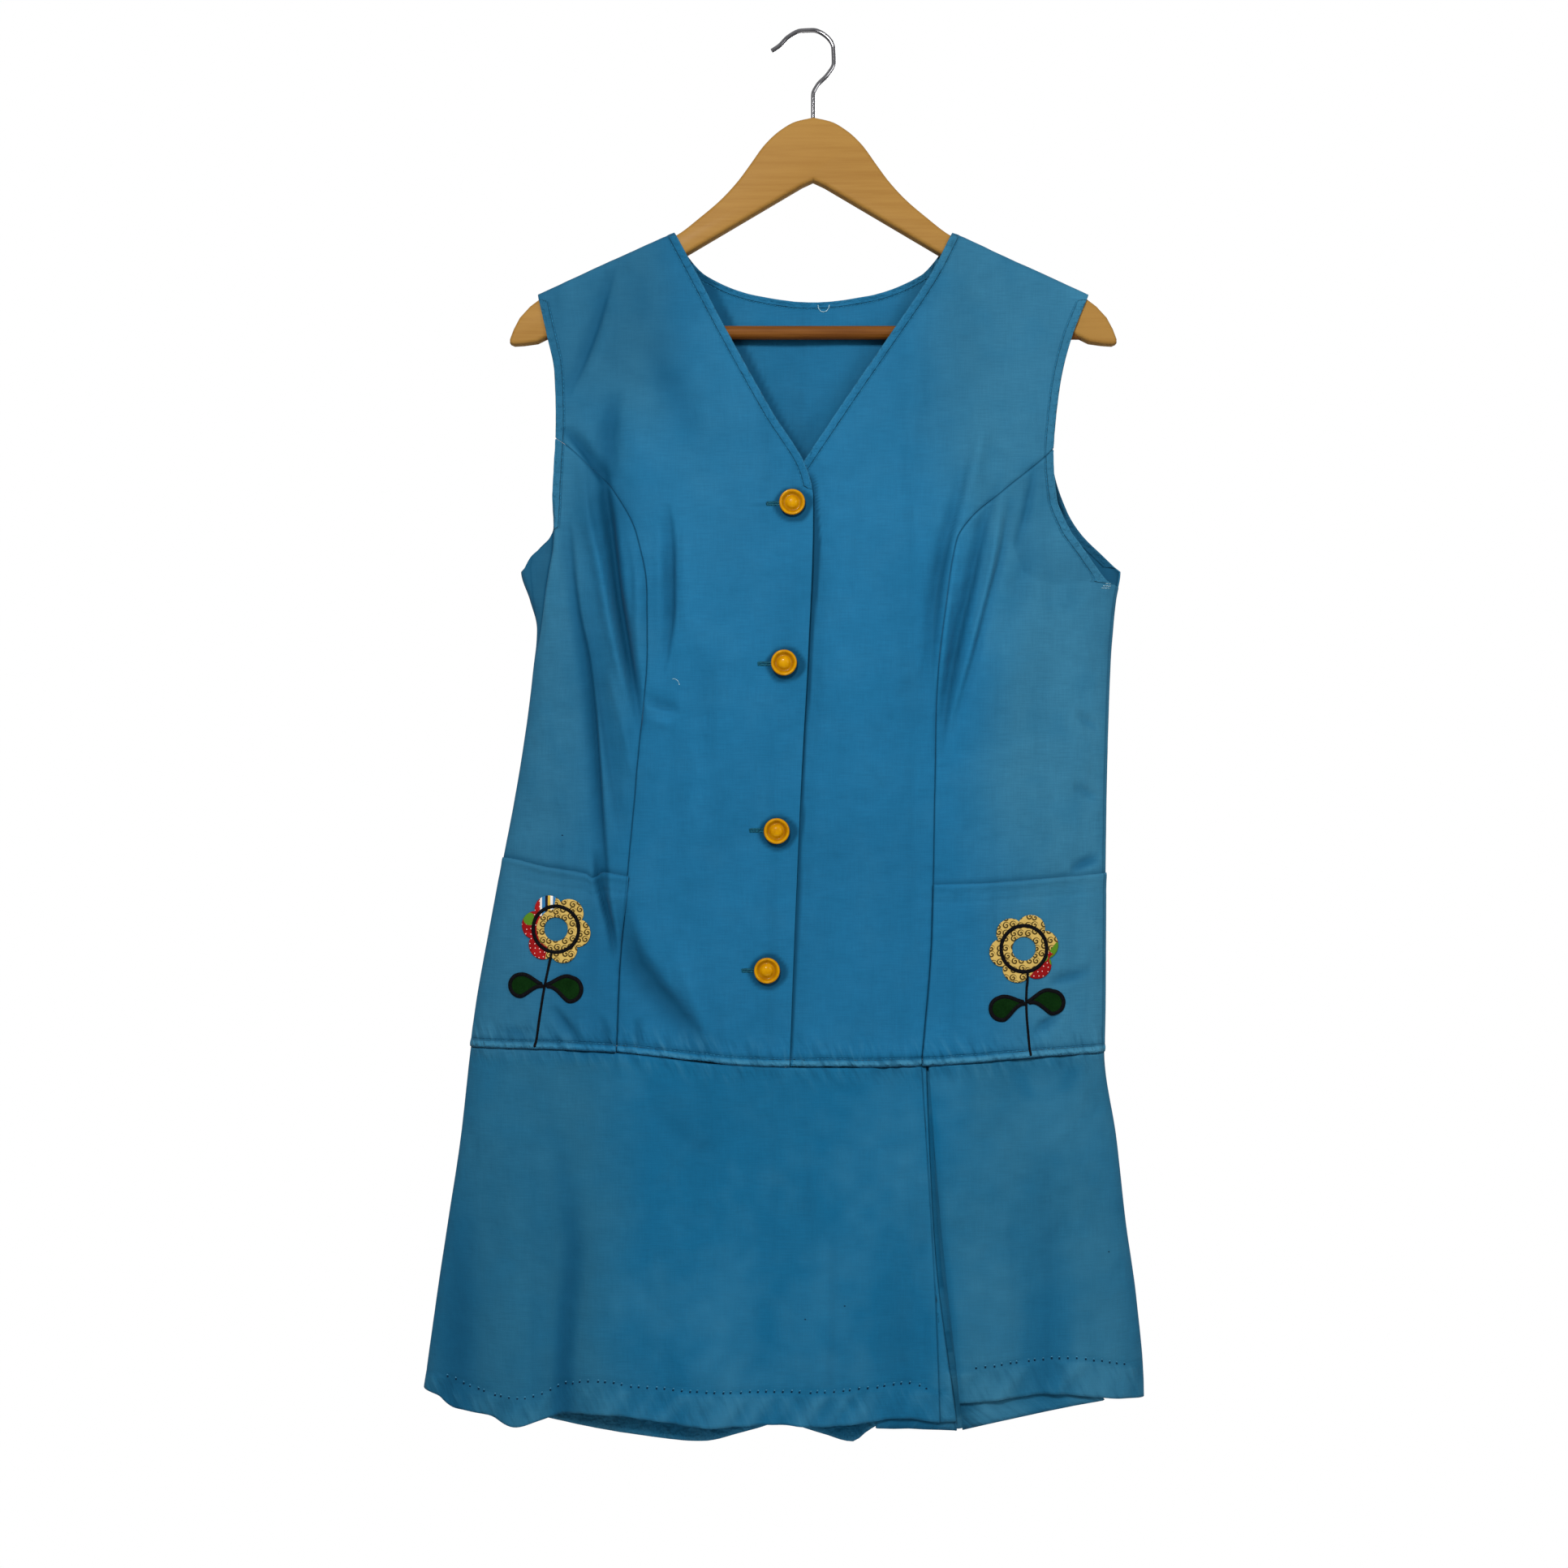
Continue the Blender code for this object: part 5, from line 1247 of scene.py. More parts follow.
def wire(name: str, path: Array, radius: float, resolution: int, material: Material) -> Piece:
    """Bent wire or thread.

    Args:
        name: The piece's name.
        path: Points along it, in millimetres.
        radius: Half its thickness.
        resolution: How finely its round is divided.
        material: Its finish.

    Returns:
        The piece.
    """
    line = bpy.data.curves.new(name, "CURVE")
    line.dimensions = "3D"
    line.bevel_depth = radius * MM
    line.bevel_resolution = resolution
    line.use_fill_caps = True
    line.resolution_u = 1
    spline = line.splines.new("POLY")
    spline.points.add(len(path) - 1)
    for knot, place in zip(spline.points, path * MM):
        knot.co = (*place, 1.0)
    spline.use_smooth = True
    line.materials.append(material)
    return linked(name, line)


def grid_mesh(points: Array) -> tuple[Mesh, Array, Array]:
    """Grid operator's mesh, laid over rows of points.

    Args:
        points: Rows of points in millimetres.

    Returns:
        The mesh, and the row and column of each of its vertices.
    """
    rows, columns = points.shape[:2]
    bm = bmesh.new()
    bmesh.ops.create_grid(bm, x_segments=columns - 1, y_segments=rows - 1, size=0.5)
    places = np.array([vert.co[:2] for vert in bm.verts])
    column = np.rint((places[:, 0] + 0.5) * (columns - 1)).astype(int)
    row = np.rint((0.5 - places[:, 1]) * (rows - 1)).astype(int)
    for vert, place in zip(bm.verts, points[row, column] * MM):
        vert.co = place
    return bm, row, column


def arc_lengths(points: Array) -> tuple[Array, Array]:
    """Length along each row, and down each column, from their first points."""
    across = np.linalg.norm(np.diff(points, axis=1), axis=2)
    down = np.linalg.norm(np.diff(points, axis=0), axis=2)
    along_row = np.pad(np.cumsum(across, axis=1), ((0, 0), (1, 0)))
    down_column = np.pad(np.cumsum(down, axis=0), ((1, 0), (0, 0)))
    return along_row, down_column


# Broad painted shade (+) or painted light (-), and greyer (+) or deeper blue (-) areas, each (x, z, half width,
# half height, amount)
SHADE_PATCHES = (
    (-150, -345, 17, 30, 0.22), (150, -335, 32, 30, 0.11), (95, -250, 40, 50, 0.05), (62, -880, 42, 140, -0.075),
    (172, -925, 18, 45, -0.1), (110, -425, 26, 45, -0.07), (-60, -330, 50, 60, 0.03))
GREYER_PATCHES = (
    (-75, -270, 60, 120, 0.3), (50, -270, 45, 110, 0.22), (118, -430, 24, 70, -0.35), (-150, -420, 16, 60, -0.35))


def patched(x: Array, z: Array, patches: tuple[tuple[float, ...], ...]) -> Array:
    """Sum of soft patches at each place."""
    return sum((amount * bell(x - across, wide) * bell(z - up, high) for across, up, wide, high, amount in patches),
               np.zeros_like(x))


def cloth_tone(points: Array, relief: Array, shade: Array) -> Array:
    """Uneven colour of the cloth, with painted shade, shadows, sheen and highlights.

    Args:
        points: Rows of points on its face.
        relief: Height of its folds there.
        shade: How much painted shade it gets there.

    Returns:
        Share of fading and painted sheen, share of the skirt's deeper blue, rubbing and painted light (above a
        half) or stains and painted shade (below it), and how light its inside is under its painted shadow.
    """
    x, z = points[..., 0], points[..., 2]
    half = (SIDE_LEFT.at(z) - SIDE_RIGHT.at(z)) / 2.0
    out = np.abs(x - (SIDE_LEFT.at(z) + SIDE_RIGHT.at(z)) / 2.0) / half
    # Greyer towards the sides, the shoulders, the skirt's sides and its hem: fading together with painted sheen.
    fade_and_sheen = 0.85 * ramp(out + 0.05 * wander(x, z, 60.0, 11.0), 0.52, 0.92)
    fade_and_sheen = np.maximum(fade_and_sheen, 0.85 * ramp(z, -330.0, -235.0) * ramp(np.abs(x), 90.0, 130.0))
    fade_and_sheen = np.maximum(fade_and_sheen, 0.9 * ramp(x + 0.12 * (z + 500.0) + 8.0 * wander(x, z, 80.0, 12.0), 85.0, 150.0))
    low = 0.92 * ramp(z, -735.0, -745.0)
    uneven = wander(x, z * 0.5, 45.0, 14.0)
    sides = np.maximum(ramp(x + 14.0 * uneven, -112.0, -165.0), 0.85 * ramp(x + 10.0 * uneven, 82.0, 118.0))
    fade_and_sheen = mix(fade_and_sheen, np.clip(sides + 0.2 * uneven + 0.25 * ramp(z, -930.0, -985.0), 0.0, 1.0), ramp(z, -738.0, -748.0))
    wear_and_light = 0.5 + 0.1 * ramp(z, -226.0, -196.0) * ramp(x, 170.0, 190.0)
    arc = Curve(((142, -374), (152, -396), (176, -403), (200, -399))).at(x)
    side = ramp(-x, 110.0, 150.0) * 0.08 + ramp(x, 90.0, 130.0) * 0.035
    bodice, skirt = ramp(z, -745.0, -735.0), ramp(z, -735.0, -760.0)
    # Darker: a real tide mark under the wearer's left arm, painted shade in the folds' troughs and from the panel's
    # shades, random mottle, and painted shade on the shoulders, the bodice's sides and front, the skirt's
    # wearer's-right side and in the broad patches.
    stain_and_shade = (0.085 * ramp(z, arc - 1.0, arc + 2.0) * ramp(z, arc + 40.0, arc + 12.0)
             * ramp(x, 138.0, 146.0) * ramp(x, 215.0, 195.0)
             + 0.38 * np.clip(-relief / 5.5, 0.0, 1.0) ** 1.15 + shade
             + 0.035 * wander(x, z * 0.6, 38.0, 71.0) + 0.02 * wander(x, z, 13.0, 72.0)
             + ramp(z, -330.0, -230.0) * ramp(np.abs(x), 50.0, 120.0) * np.where(x < 0.0, 0.2, 0.1)
             + side * ramp(z, -250.0, -330.0) * bodice + 0.04 * ramp(-x, 120.0, 190.0) * skirt
             + 0.075 * (1.0 - ramp(x, 60.0, 150.0)) * bodice + 0.07 * ramp(-x, 135.0, 165.0) * ramp(z, -770.0, -860.0)
             + patched(x, z, SHADE_PATCHES))
    # Lighter: painted light on the skirt's wearer's-left side and down the wearer's-left edge.
    wear_and_light = (wear_and_light + 0.03 * ramp(x, 80.0, 130.0) * skirt
            + 0.08 * ramp(x, 178.0, 202.0) * ramp(z, -430.0, -520.0) * ramp(z, -775.0, -740.0))
    fade_and_sheen = np.clip(fade_and_sheen + patched(x, z, GREYER_PATCHES), 0.0, 1.0)
    # Painted shade: deeper, less grey blue in the folds' troughs.
    fade_and_sheen = fade_and_sheen * (1.0 - 0.6 * np.clip(-relief / 3.0, 0.0, 1.0))
    # Painted highlight on the folds' ridges.
    wear_and_light = wear_and_light + 0.06 * np.clip(relief / 4.0, 0.0, 1.0)
    return np.stack((fade_and_sheen, low, np.clip(wear_and_light - stain_and_shade, 0.0, 1.0), 1.0 - inner_shade(x, z)), axis=-1)


def thicken(made: Piece, thickness: float, offset: float = -1.0) -> bpy.types.Modifier:
    """Give a thin sheet a live thickness, in millimetres, and return what makes it."""
    wall = made.modifiers.new("cloth_thickness", "SOLIDIFY")
    wall.thickness = thickness * MM
    wall.offset = offset
    return wall


@dataclass
class ClothCutter:
    """Makes a thin cloth piece from rows of points."""

    wardrobe: Wardrobe

    def cut(self, name: str, node: str, panel: Panel, skin: Skin, *rests_on: str, raised: float = 0.0,
            **options: float) -> None:
        """Build a sheet from its flat outline.

        Args:
            name: The piece's name.
            node: The node it stands for.
            panel: Its outline.
            skin: The face it lies on.
            rests_on: What carries it; passed on to make, which does not use it.
            raised: How far it stands off that face.
            options: The way it faces, and its thickness.
        """
        places = panel.grid()
        points, _ = skin.raised(raised).at(*places)
        self.make(name, node, points, skin, places, *rests_on, **options)

    def make(self, name: str, node: str, points: Array, skin: Skin, places: tuple[Array, Array], *rests_on: str,
             facing: int = -1, offset: float = -1.0, thickness: float = CLOTH_THICKNESS) -> None:
        """Build a sheet.

        Args:
            name: The piece's name.
            node: The node it stands for.
            points: Rows of points on its outer face, in millimetres.
            skin: The face it lies on.
            places: Its places across and up on that face.
            rests_on: What carries it; not used.
            facing: -1 where it faces the front, 1 the back.
            offset: Where the thickness goes: -1 inwards, 0 both ways.
            thickness: The cloth's thickness in millimetres.
        """
        bm, row, column = grid_mesh(points)
        along, down = arc_lengths(points)
        centre = points.shape[1] // 2
        u = (along - along[:, centre:centre + 1] + points[:, centre:centre + 1, 0]) * MM
        v = points[..., 2] * MM
        tone, marks = cloth_tone(points, skin.relief(*places), skin.shade(*places)), skin.marks(*places)
        tone_layer, marks_layer = (bm.verts.layers.float_color.new(layer) for layer in ("tone", "marks"))
        uv_layer = bm.loops.layers.uv.new("cloth")
        for vert, r, c in zip(bm.verts, row, column):
            vert[tone_layer] = tone[r, c]
            vert[marks_layer] = marks[r, c]
            for loop in vert.link_loops:
                loop[uv_layer].uv = (u[r, c], v[r, c])
        if facing > 0:
            bmesh.ops.reverse_faces(bm, faces=bm.faces)
        area = sum(face.calc_area() for face in bm.faces)
        made = to_object(name, bm, self.wardrobe.get(BLUE))
        made.data.materials.append(self.wardrobe.get(BLUE_INSIDE))
        thicken(made, thickness, offset).material_offset = 1
        place_piece(made, "blue_cloth", node)


def front_face(edgings: tuple[Edging, ...], lifts: tuple[Relief, ...], *shades: Relief,
               seam: Optional[Edging] = None) -> Skin:
    """Face of one of the front's panels, with a further seam that only its colour shows."""
    drawn = WAIST_ABOVE + ((seam,) if seam else ())
    return Skin(FRONT_FORM, FRONT_FOLDS, edgings, lifts, drawn, (welt_shade, *shades), seed=1.0)


@dataclass
class Bodice:
    """Fronts, side fronts, patch pockets and the back, from the shoulders to the waist seam."""

    cutter: ClothCutter
    centre_right: Skin = front_face((NECK_EDGE_RIGHT, ARM_EDGE_RIGHT, SEAM_RIGHT_IN), (lap_lift, welt), button_shade)
    centre_left: Skin = front_face((NECK_EDGE_LEFT, ARM_EDGE_LEFT, SEAM_LEFT_IN), (lap_sink, under_welt), lap_shade)
    side_right: Skin = front_face((ARM_EDGE_RIGHT, SEAM_RIGHT_OUT), (welt, side_tuck), tuck_shade, seam=TUCK_SEAM)
    side_left: Skin = front_face((ARM_EDGE_LEFT, SEAM_LEFT_OUT), (welt,), seam=SIDE_SEAM_LEFT)
    back: Skin = Skin(BACK_FORM, BACK_CREASES, (BACK_ARM_RIGHT, BACK_ARM_LEFT, BACK_NECK_EDGE), (welt,),
                      WAIST_ABOVE, (welt_shade,), seed=5.0)

    def build(self) -> None:
        """Make every piece of the bodice."""
        self.build_centres()
        self.build_sides()
        self.build_back()

    def build_centres(self) -> None:
        """The two buttoning fronts: the wearer's right one laps over the left."""
        right = Panel(joined(ARMHOLE_RIGHT, PRINCESS_RIGHT.moved(SEAM), PRINCESS_TOP_RIGHT_Z + 1.0), LAP_RIGHT.at,
                      SHOULDER_ROWS + PRINCESS_RIGHT_ROWS, LAP_ROWS, SEWN_EDGE, SEWN_EDGE, spacing=2.2, **TO_WAIST)
        left = Panel(LAP_LEFT.at, joined(ARMHOLE_LEFT, PRINCESS_LEFT.moved(-SEAM), PRINCESS_TOP_LEFT_Z + 1.0),
                     LAP_ROWS, SHOULDER_ROWS + PRINCESS_LEFT_ROWS, SEWN_EDGE, SEWN_EDGE, spacing=2.2, **TO_WAIST)
        for side, skin, panel in (("right", self.centre_right, right), ("left", self.centre_left, left)):
            self.cutter.cut("front_cloth_" + side, "front_centre_" + side, panel, skin, "hanger_body")

    def build_sides(self) -> None:
        """Side fronts from armhole to waist, and the patch pockets over their lower parts."""
        right = Panel(joined(ARMHOLE_RIGHT, SIDE_RIGHT, UNDERARM_Z), PRINCESS_RIGHT.moved(-SEAM).at,
                      OUTER_RIGHT_ROWS, PRINCESS_RIGHT_ROWS, shares=SIDE_SHARES, spacing=1.8, **TO_WAIST)
        left = Panel(PRINCESS_LEFT.moved(SEAM).at, joined(ARMHOLE_LEFT, SIDE_LEFT, UNDERARM_LEFT_Z),
                     PRINCESS_LEFT_ROWS, OUTER_LEFT_ROWS, shares=SIDE_SHARES_MIRRORED, spacing=1.8, **TO_WAIST)
        for side, skin, panel, top in (("right", self.side_right, right, POCKET_TOP_RIGHT),
                                       ("left", self.side_left, left, POCKET_TOP_LEFT)):
            shaded = replace(skin, shades=skin.shades + (pocket_shade(top),))
            self.cutter.cut("side_front_cloth_" + side, "front_side_" + side, panel, shaded, "front_cloth_" + side)
            pocket = replace(panel, left_rows=panel.left_rows[POCKET_FIRST_ROW:],
                             right_rows=panel.right_rows[POCKET_FIRST_ROW:], top=top.at, top_rows=2)
            lipped = replace(skin, lifts=skin.lifts + (pocket_lip(top),))
            self.cutter.cut("pocket_cloth_" + side, "pocket_" + side, pocket, lipped, "side_front_cloth_" + side,
                            raised=POCKET_BASE, thickness=POCKET_THICKNESS)

    def build_back(self) -> None:
        """Back in one piece, from both shoulders to the waist seam."""
        top_rows = rolled(SHOULDER_Z) + steps(-212.0, (-345.0, 5), (UNDERARM_Z, 3))[1:]
        half = [0.0, 0.0015, 0.004, 0.009, 0.018, 0.032, 0.05, 0.11, 0.18]
        half += [(SHOULDER_X - x) / (2.0 * SHOULDER_X) for x in (NECK_X, 99.5, 98.0, 95.0, 90.0, 80.0, 68.0, 41.0)]
        shares = tuple(half + [1.0 - share for share in reversed(half)])
        panel = Panel(joined(BACK_ARMHOLE_RIGHT, SIDE_RIGHT, UNDERARM_Z),
                      joined(BACK_ARMHOLE_LEFT, SIDE_LEFT, UNDERARM_Z),
                      top_rows + steps(UNDERARM_Z, (-727.0, 9), (-734.8, 2))[1:],
                      top_rows + steps(UNDERARM_Z, (-731.0, 9), (-738.8, 2))[1:], shares=shares,
                      top=self.back_top, top_rows=16, top_keep=8, spacing=4.0, **{**TO_WAIST, "bottom_rows": 3})
        self.cutter.cut("back_cloth", "back_bodice", panel, self.back, "hanger_body", "front_cloth_right", facing=1)

    @staticmethod
    def back_top(x: Array) -> Array:
        """Upper edge of the back: the two shoulder seams and the scooped neck between them."""
        return np.where(np.abs(x) >= NECK_X, shoulder_line(x), BACK_NECK.at(x))


@dataclass
class Apron:
    """Skirt over the shorts: main panel, side panel and the pleat between them."""

    cutter: ClothCutter
    skin: Skin = Skin(SKIRT_FORM, (), (), (skirt_hem_band, waist_pull),
                      WAIST_BELOW + (Edging(PLEAT_SEAM, Run.DOWN, -1, -1006.0, -748.0),
                                     Edging(SIDE_LEFT.moved(-4.5), Run.DOWN, -1, -850.0, -741.0)),
                      (hem_shade, pleat_shade), seed=9.0)
    pleat_wall: float = 0.9
    pleat_rows: int = 72
    turn_under: float = 2.0

    def build(self) -> None:
        """Make every piece of the skirt."""
        main = Panel(SIDE_RIGHT.at, PLEAT_SEAM.moved(-SEAM).at,
                     steps(-735.3, (-752.0, 1), (-792.0, 1), (-945.0, 5), (-980.5, 3)), SEAM_ROWS,
                     SIDE_ROUND, SEWN_EDGE[:5], bottom=SKIRT_HEM.at, bottom_rows=4, spacing=2.4, **FROM_WAIST)
        side = Panel(PLEAT_SIDE_FOLD.moved(GAP).at, SIDE_LEFT.at,
                     steps(-747.2, (-762.0, 1), (-800.0, 1), (-950.0, 4), (-985.9, 2)),
                     steps(-739.3, (-755.0, 1), (-795.0, 1), (-950.0, 4), (-988.2, 2)),
                     SEWN_EDGE[:5], SIDE_ROUND, bottom=SIDE_HEM.at, bottom_rows=3, spacing=2.4, **FROM_WAIST)
        for name, panel, under in (("main", main, "right"), ("side", side, "left")):
            self.cutter.cut("skirt_cloth_" + name, "skirt_" + name, panel, self.skin, "front_cloth_" + under)
        self.build_pleat()

    def section(self, z: float) -> list[tuple[float, float]]:
        """Middle line of the folded pleat at a height, as (x, depth behind the skirt's face) points."""
        half, turn = 0.6, float(PLEAT_SPACING.at(z)) / 2.0
        tight = half + turn
        layers = [half, half + 2 * turn, half + 4 * turn]
        seam, fold, side_fold = (float(line.at(z)) for line in (PLEAT_SEAM, PLEAT_FOLD, PLEAT_SIDE_FOLD))
        back_right, back_left = float(PLEAT_BACK_RIGHT.at(z)), float(PLEAT_BACK_LEFT.at(z))

        def fold_round(x: float, depth: float, way: int, down: int) -> list[tuple[float, float]]:
            """Half circle of the turning cloth."""
            angles = [math.pi * i / 8 for i in range(9)]
            return [(x + way * turn * math.sin(a), depth - down * turn * math.cos(a)) for a in angles]

        front_turn, right_turn, left_turn = fold - tight, back_right + tight, back_left - tight
        points = [(seam + SEAM, layers[0]), (mix(seam, front_turn, 0.5), layers[0])]
        points += fold_round(front_turn, layers[0] + turn, 1, 1)
        points += [(mix(front_turn, right_turn, i / 5), layers[1]) for i in range(1, 5)]
        points += fold_round(right_turn, layers[1] + turn, -1, 1)
        points += [(mix(right_turn, left_turn, i / 14), layers[2]) for i in range(1, 14)]
        points += fold_round(left_turn, layers[1] + turn, 1, -1)
        points += [(mix(left_turn, side_fold, i / 5), layers[1]) for i in range(1, 5)]
        points.append((side_fold + self.turn_under, layers[1]))
        return points

    def build_pleat(self) -> None:
        """Pleat insert: a strip beside the main panel that folds behind, runs across and folds back."""
        first, last = SEAM_ROWS[0], SEAM_ROWS[-1]
        rows = []
        for height in np.linspace(first, last, self.pleat_rows):
            share = (height - first) / (last - first)
            x, depth = np.array(self.section(float(height))).T
            behind = ramp(depth, 1.2, 2.4)
            low = mix(SKIRT_HEM.at(x), UNDERLAY_HEM.at(x), behind)
            z = mix(mix(height, first, share), low, share)
            z[0] = height
            point, normal = self.skin.at(x, z)
            rows.append(point - normal * depth[:, None])
        points = np.array(rows)
        self.cutter.make("skirt_cloth_pleat", "skirt_pleat", points, self.skin, (points[..., 0], points[..., 2]),
                         "front_cloth_left", offset=0.0, thickness=self.pleat_wall)


@dataclass
class Shorts:
    """Legs under the skirt: a front and a back for each, open at the hem."""

    cutter: ClothCutter
    hem_stitch: float = 16.0

    def build(self) -> None:
        """Make the four leg pieces."""
        inner_rows, right_rows, left_rows = (
            steps(top, (CROTCH_START_Z, 2), (CROTCH_Z, 5), (low, 4), (end, 2))
            for top, low, end in ((-747.4, -985.0, -1008.0), (-735.4, -960.0, -976.0), (-739.4, -960.0, -974.0)))
        for layer, way, depth, layer_folds, creases, inset in (
                ("front", -1, LEG_DEPTH, (), (), LEG_INSET),
                ("back", 1, BACK_DEPTH, BACK_FOLDS, BACK_CREASES, 0.0)):
            for side, inseam, hem, left, right, *edges in (
                    ("right", INSEAM_RIGHT, RIGHT_LEG_HEM, SIDE_RIGHT.moved(inset), INSEAM_RIGHT.moved(-SEAM),
                     right_rows, inner_rows, SIDE_ROUND, LEG_ROUND),
                    ("left", INSEAM_LEFT, LEFT_LEG_HEM, INSEAM_LEFT.moved(SEAM), SIDE_LEFT.moved(-inset),
                     inner_rows, left_rows, LEG_ROUND, SIDE_ROUND)):
                panel = Panel(left.at, right.at, *edges, bottom=hem.at, bottom_rows=4, spacing=4.5, **FROM_WAIST)
                edge = Edging(hem, Run.ACROSS, 1, -290.0, 245.0, stitch=self.hem_stitch, sink=0.2, plump=0.15,
                              pucker=0.3, reach=14.0, wave=8.0)
                skin = Skin(Form(way, depth, layer_folds, inset, inseam), creases, (edge,), (waist_pull,), WAIST_BELOW,
                            crumple=0.4 if way > 0 else 0.15, seed=13.0)
                name = "%s_%s" % (layer, side)
                self.cutter.cut("shorts_cloth_" + name, "shorts_" + name, panel, skin, "back_cloth", facing=way)


@dataclass
class Stitching:
    """Rows of small stitches, each a rounded grain of thread lying in the cloth."""

    wardrobe: Wardrobe

    @staticmethod
    def row(bm: Mesh, points: Array, normals: Array, step: float, length: float, radius: float) -> None:
        """Lay stitches along a path.

        Args:
            bm: The mesh that takes them.
            points: The path, in millimetres.
            normals: The cloth's outward directions there.
            step: Distance from stitch to stitch.
            length: Length of one stitch.
            radius: Half its thickness.
        """
        along = np.concatenate(([0.0], np.cumsum(np.linalg.norm(np.diff(points, axis=0), axis=1))))
        places = np.arange(step, along[-1] - step, step)
        for place in places + 0.25 * step * wander(places, places * 0.0, step * 1.3, step):
            ends = [Vector([np.interp(place + shift, along, points[:, axis]) for axis in range(3)])
                    for shift in (-length / 2.0, length / 2.0)]
            out = Vector([np.interp(place, along, normals[:, axis]) for axis in range(3)]).normalized()
            run = (ends[1] - ends[0]).normalized()
            across = out.cross(run).normalized()
            turned = Matrix((run, across, run.cross(across))).transposed().to_4x4()
            size = Matrix.Diagonal((length / 2.0 * MM, radius * MM, radius * MM, 1.0))
            middle = (ends[0] + ends[1]) / 2.0 - out * BEDDED
            bmesh.ops.create_icosphere(bm, subdivisions=1, radius=1.0,
                                       matrix=Matrix.Translation(middle * MM) @ turned @ size)

    def sew(self, name: str, lines: Iterable[tuple[Surface, tuple[Array, Array], float]], step: float = 3.3,
            length: float = 2.5, thread: Thread = BLUE_THREAD, radius: float = 0.3) -> None:
        """Make one piece of stitching from lines on faces, each (face, places, height off it)."""
        bm = bmesh.new()
        for surface, (x, z), height in lines:
            points, normals = surface(np.asarray(x, float), np.asarray(z, float))
            self.row(bm, points + normals * height, normals * (1.0 if height >= 0 else -1.0), step, length, radius)
        place_piece(to_object(name, bm, self.wardrobe.get(thread)), "blue_cloth")
        LOG.info("%s sewn", name)

    def build(self, bodice: Bodice, apron: Apron) -> None:
        """Sew every visible row."""
        self.sew("neck_stitches", (
            (bodice.centre_right.at, NECK_EDGE_RIGHT.line(EDGE_STITCH), LIFT),
            (bodice.centre_left.at, NECK_EDGE_LEFT.line(EDGE_STITCH), LIFT),
            (bodice.back.at, BACK_NECK_EDGE.line(NECK_STITCH), LIFT),
            (bodice.back.at, BACK_NECK_EDGE.line(NECK_STITCH), -CLOTH_THICKNESS - LIFT)))
        self.sew("armhole_stitches", [
            (skin.at, replace(edging, low=low, high=high).line(EDGE_STITCH), LIFT) for skin, edging, low, high in (
                (bodice.centre_right, ARM_EDGE_RIGHT, -292.0, -197.0),
                (bodice.side_right, ARM_EDGE_RIGHT, -360.0, -304.0),
                (bodice.centre_left, ARM_EDGE_LEFT, -300.0, -197.0),
                (bodice.side_left, ARM_EDGE_LEFT, -397.0, -312.0),
                (bodice.back, BACK_ARM_RIGHT, -365.0, -197.0),
                (bodice.back, BACK_ARM_LEFT, -388.0, -197.0))])
        top = WAIST.moved(WELT_STITCH)
        lines = []
        for skin, start, end in ((bodice.side_right.raised(POCKET_BASE), -236.0, -143.0),
                                 (bodice.centre_right, -138.0, -21.0),
                                 (bodice.centre_left, -10.0, 74.0),
                                 (bodice.side_left.raised(POCKET_BASE), 80.0, 206.0), (bodice.back, -236.0, 206.0)):
            x = np.arange(start, end, 3.0)
            lines.append((skin.at, (x, top.at(x)), LIFT))
        self.sew("waist_stitches", lines)
        snag = ((-101.5, -471.0), (-99.5, -470.2), (-97.5, -471.0), (-96.0, -473.0), (-95.4, -476.0))
        lines = [(bodice.centre_right.at, tuple(np.array(snag).T), 0.2)]
        for rise in (0.0, 1.5, 3.2):
            fray = np.linspace(206.0 + rise, 215.0, 8)
            lines.append((bodice.side_left.at, (fray, -404.5 + rise + 0.5 * np.sin(fray * 2.0)), 0.3))
        self.sew("snagged_thread", lines, step=1.4, length=1.9, thread=PALE_THREAD, radius=0.28)
        lines = []
        for skin, x, z in ((bodice.side_right, -180.0, -582.0), (apron.skin, 22.0, -916.0), (apron.skin, -6.0, -925.0),
                           (apron.skin, 212.0, -881.0)):
            lines.append((skin.at, ((x - 1.5, x + 1.5), (z, z - 0.3)), LIFT))
        self.sew("lint_specks", lines, step=1.4, length=1.5, thread=DARK_LINT_AND_DIMPLE_SHADE, radius=0.45)
        main, side = np.arange(-268.0, 88.0, 3.0), np.arange(110.0, 234.0, 3.0)
        rows = [(x, line.at(x) + 0.7 * wander(x, x * 0.0, 7.0, 71.0))
                for x, line in ((main, SKIRT_STITCHES), (side, SIDE_STITCHES))]
        # The first row is dark grains of painted shade in the stitch dimples, the second the light stitches above
        # them.
        for name, lift, thread, radius in (("hem_dimple_shade", 0.0, DARK_LINT_AND_DIMPLE_SHADE, 0.72),
                                           ("hem_stitches", 1.3, LIGHT_THREAD, 0.4)):
            self.sew(name, [(apron.skin.at, (x, z + lift), 0.2) for x, z in rows],
                     step=6.1, length=1.7, thread=thread, radius=radius)


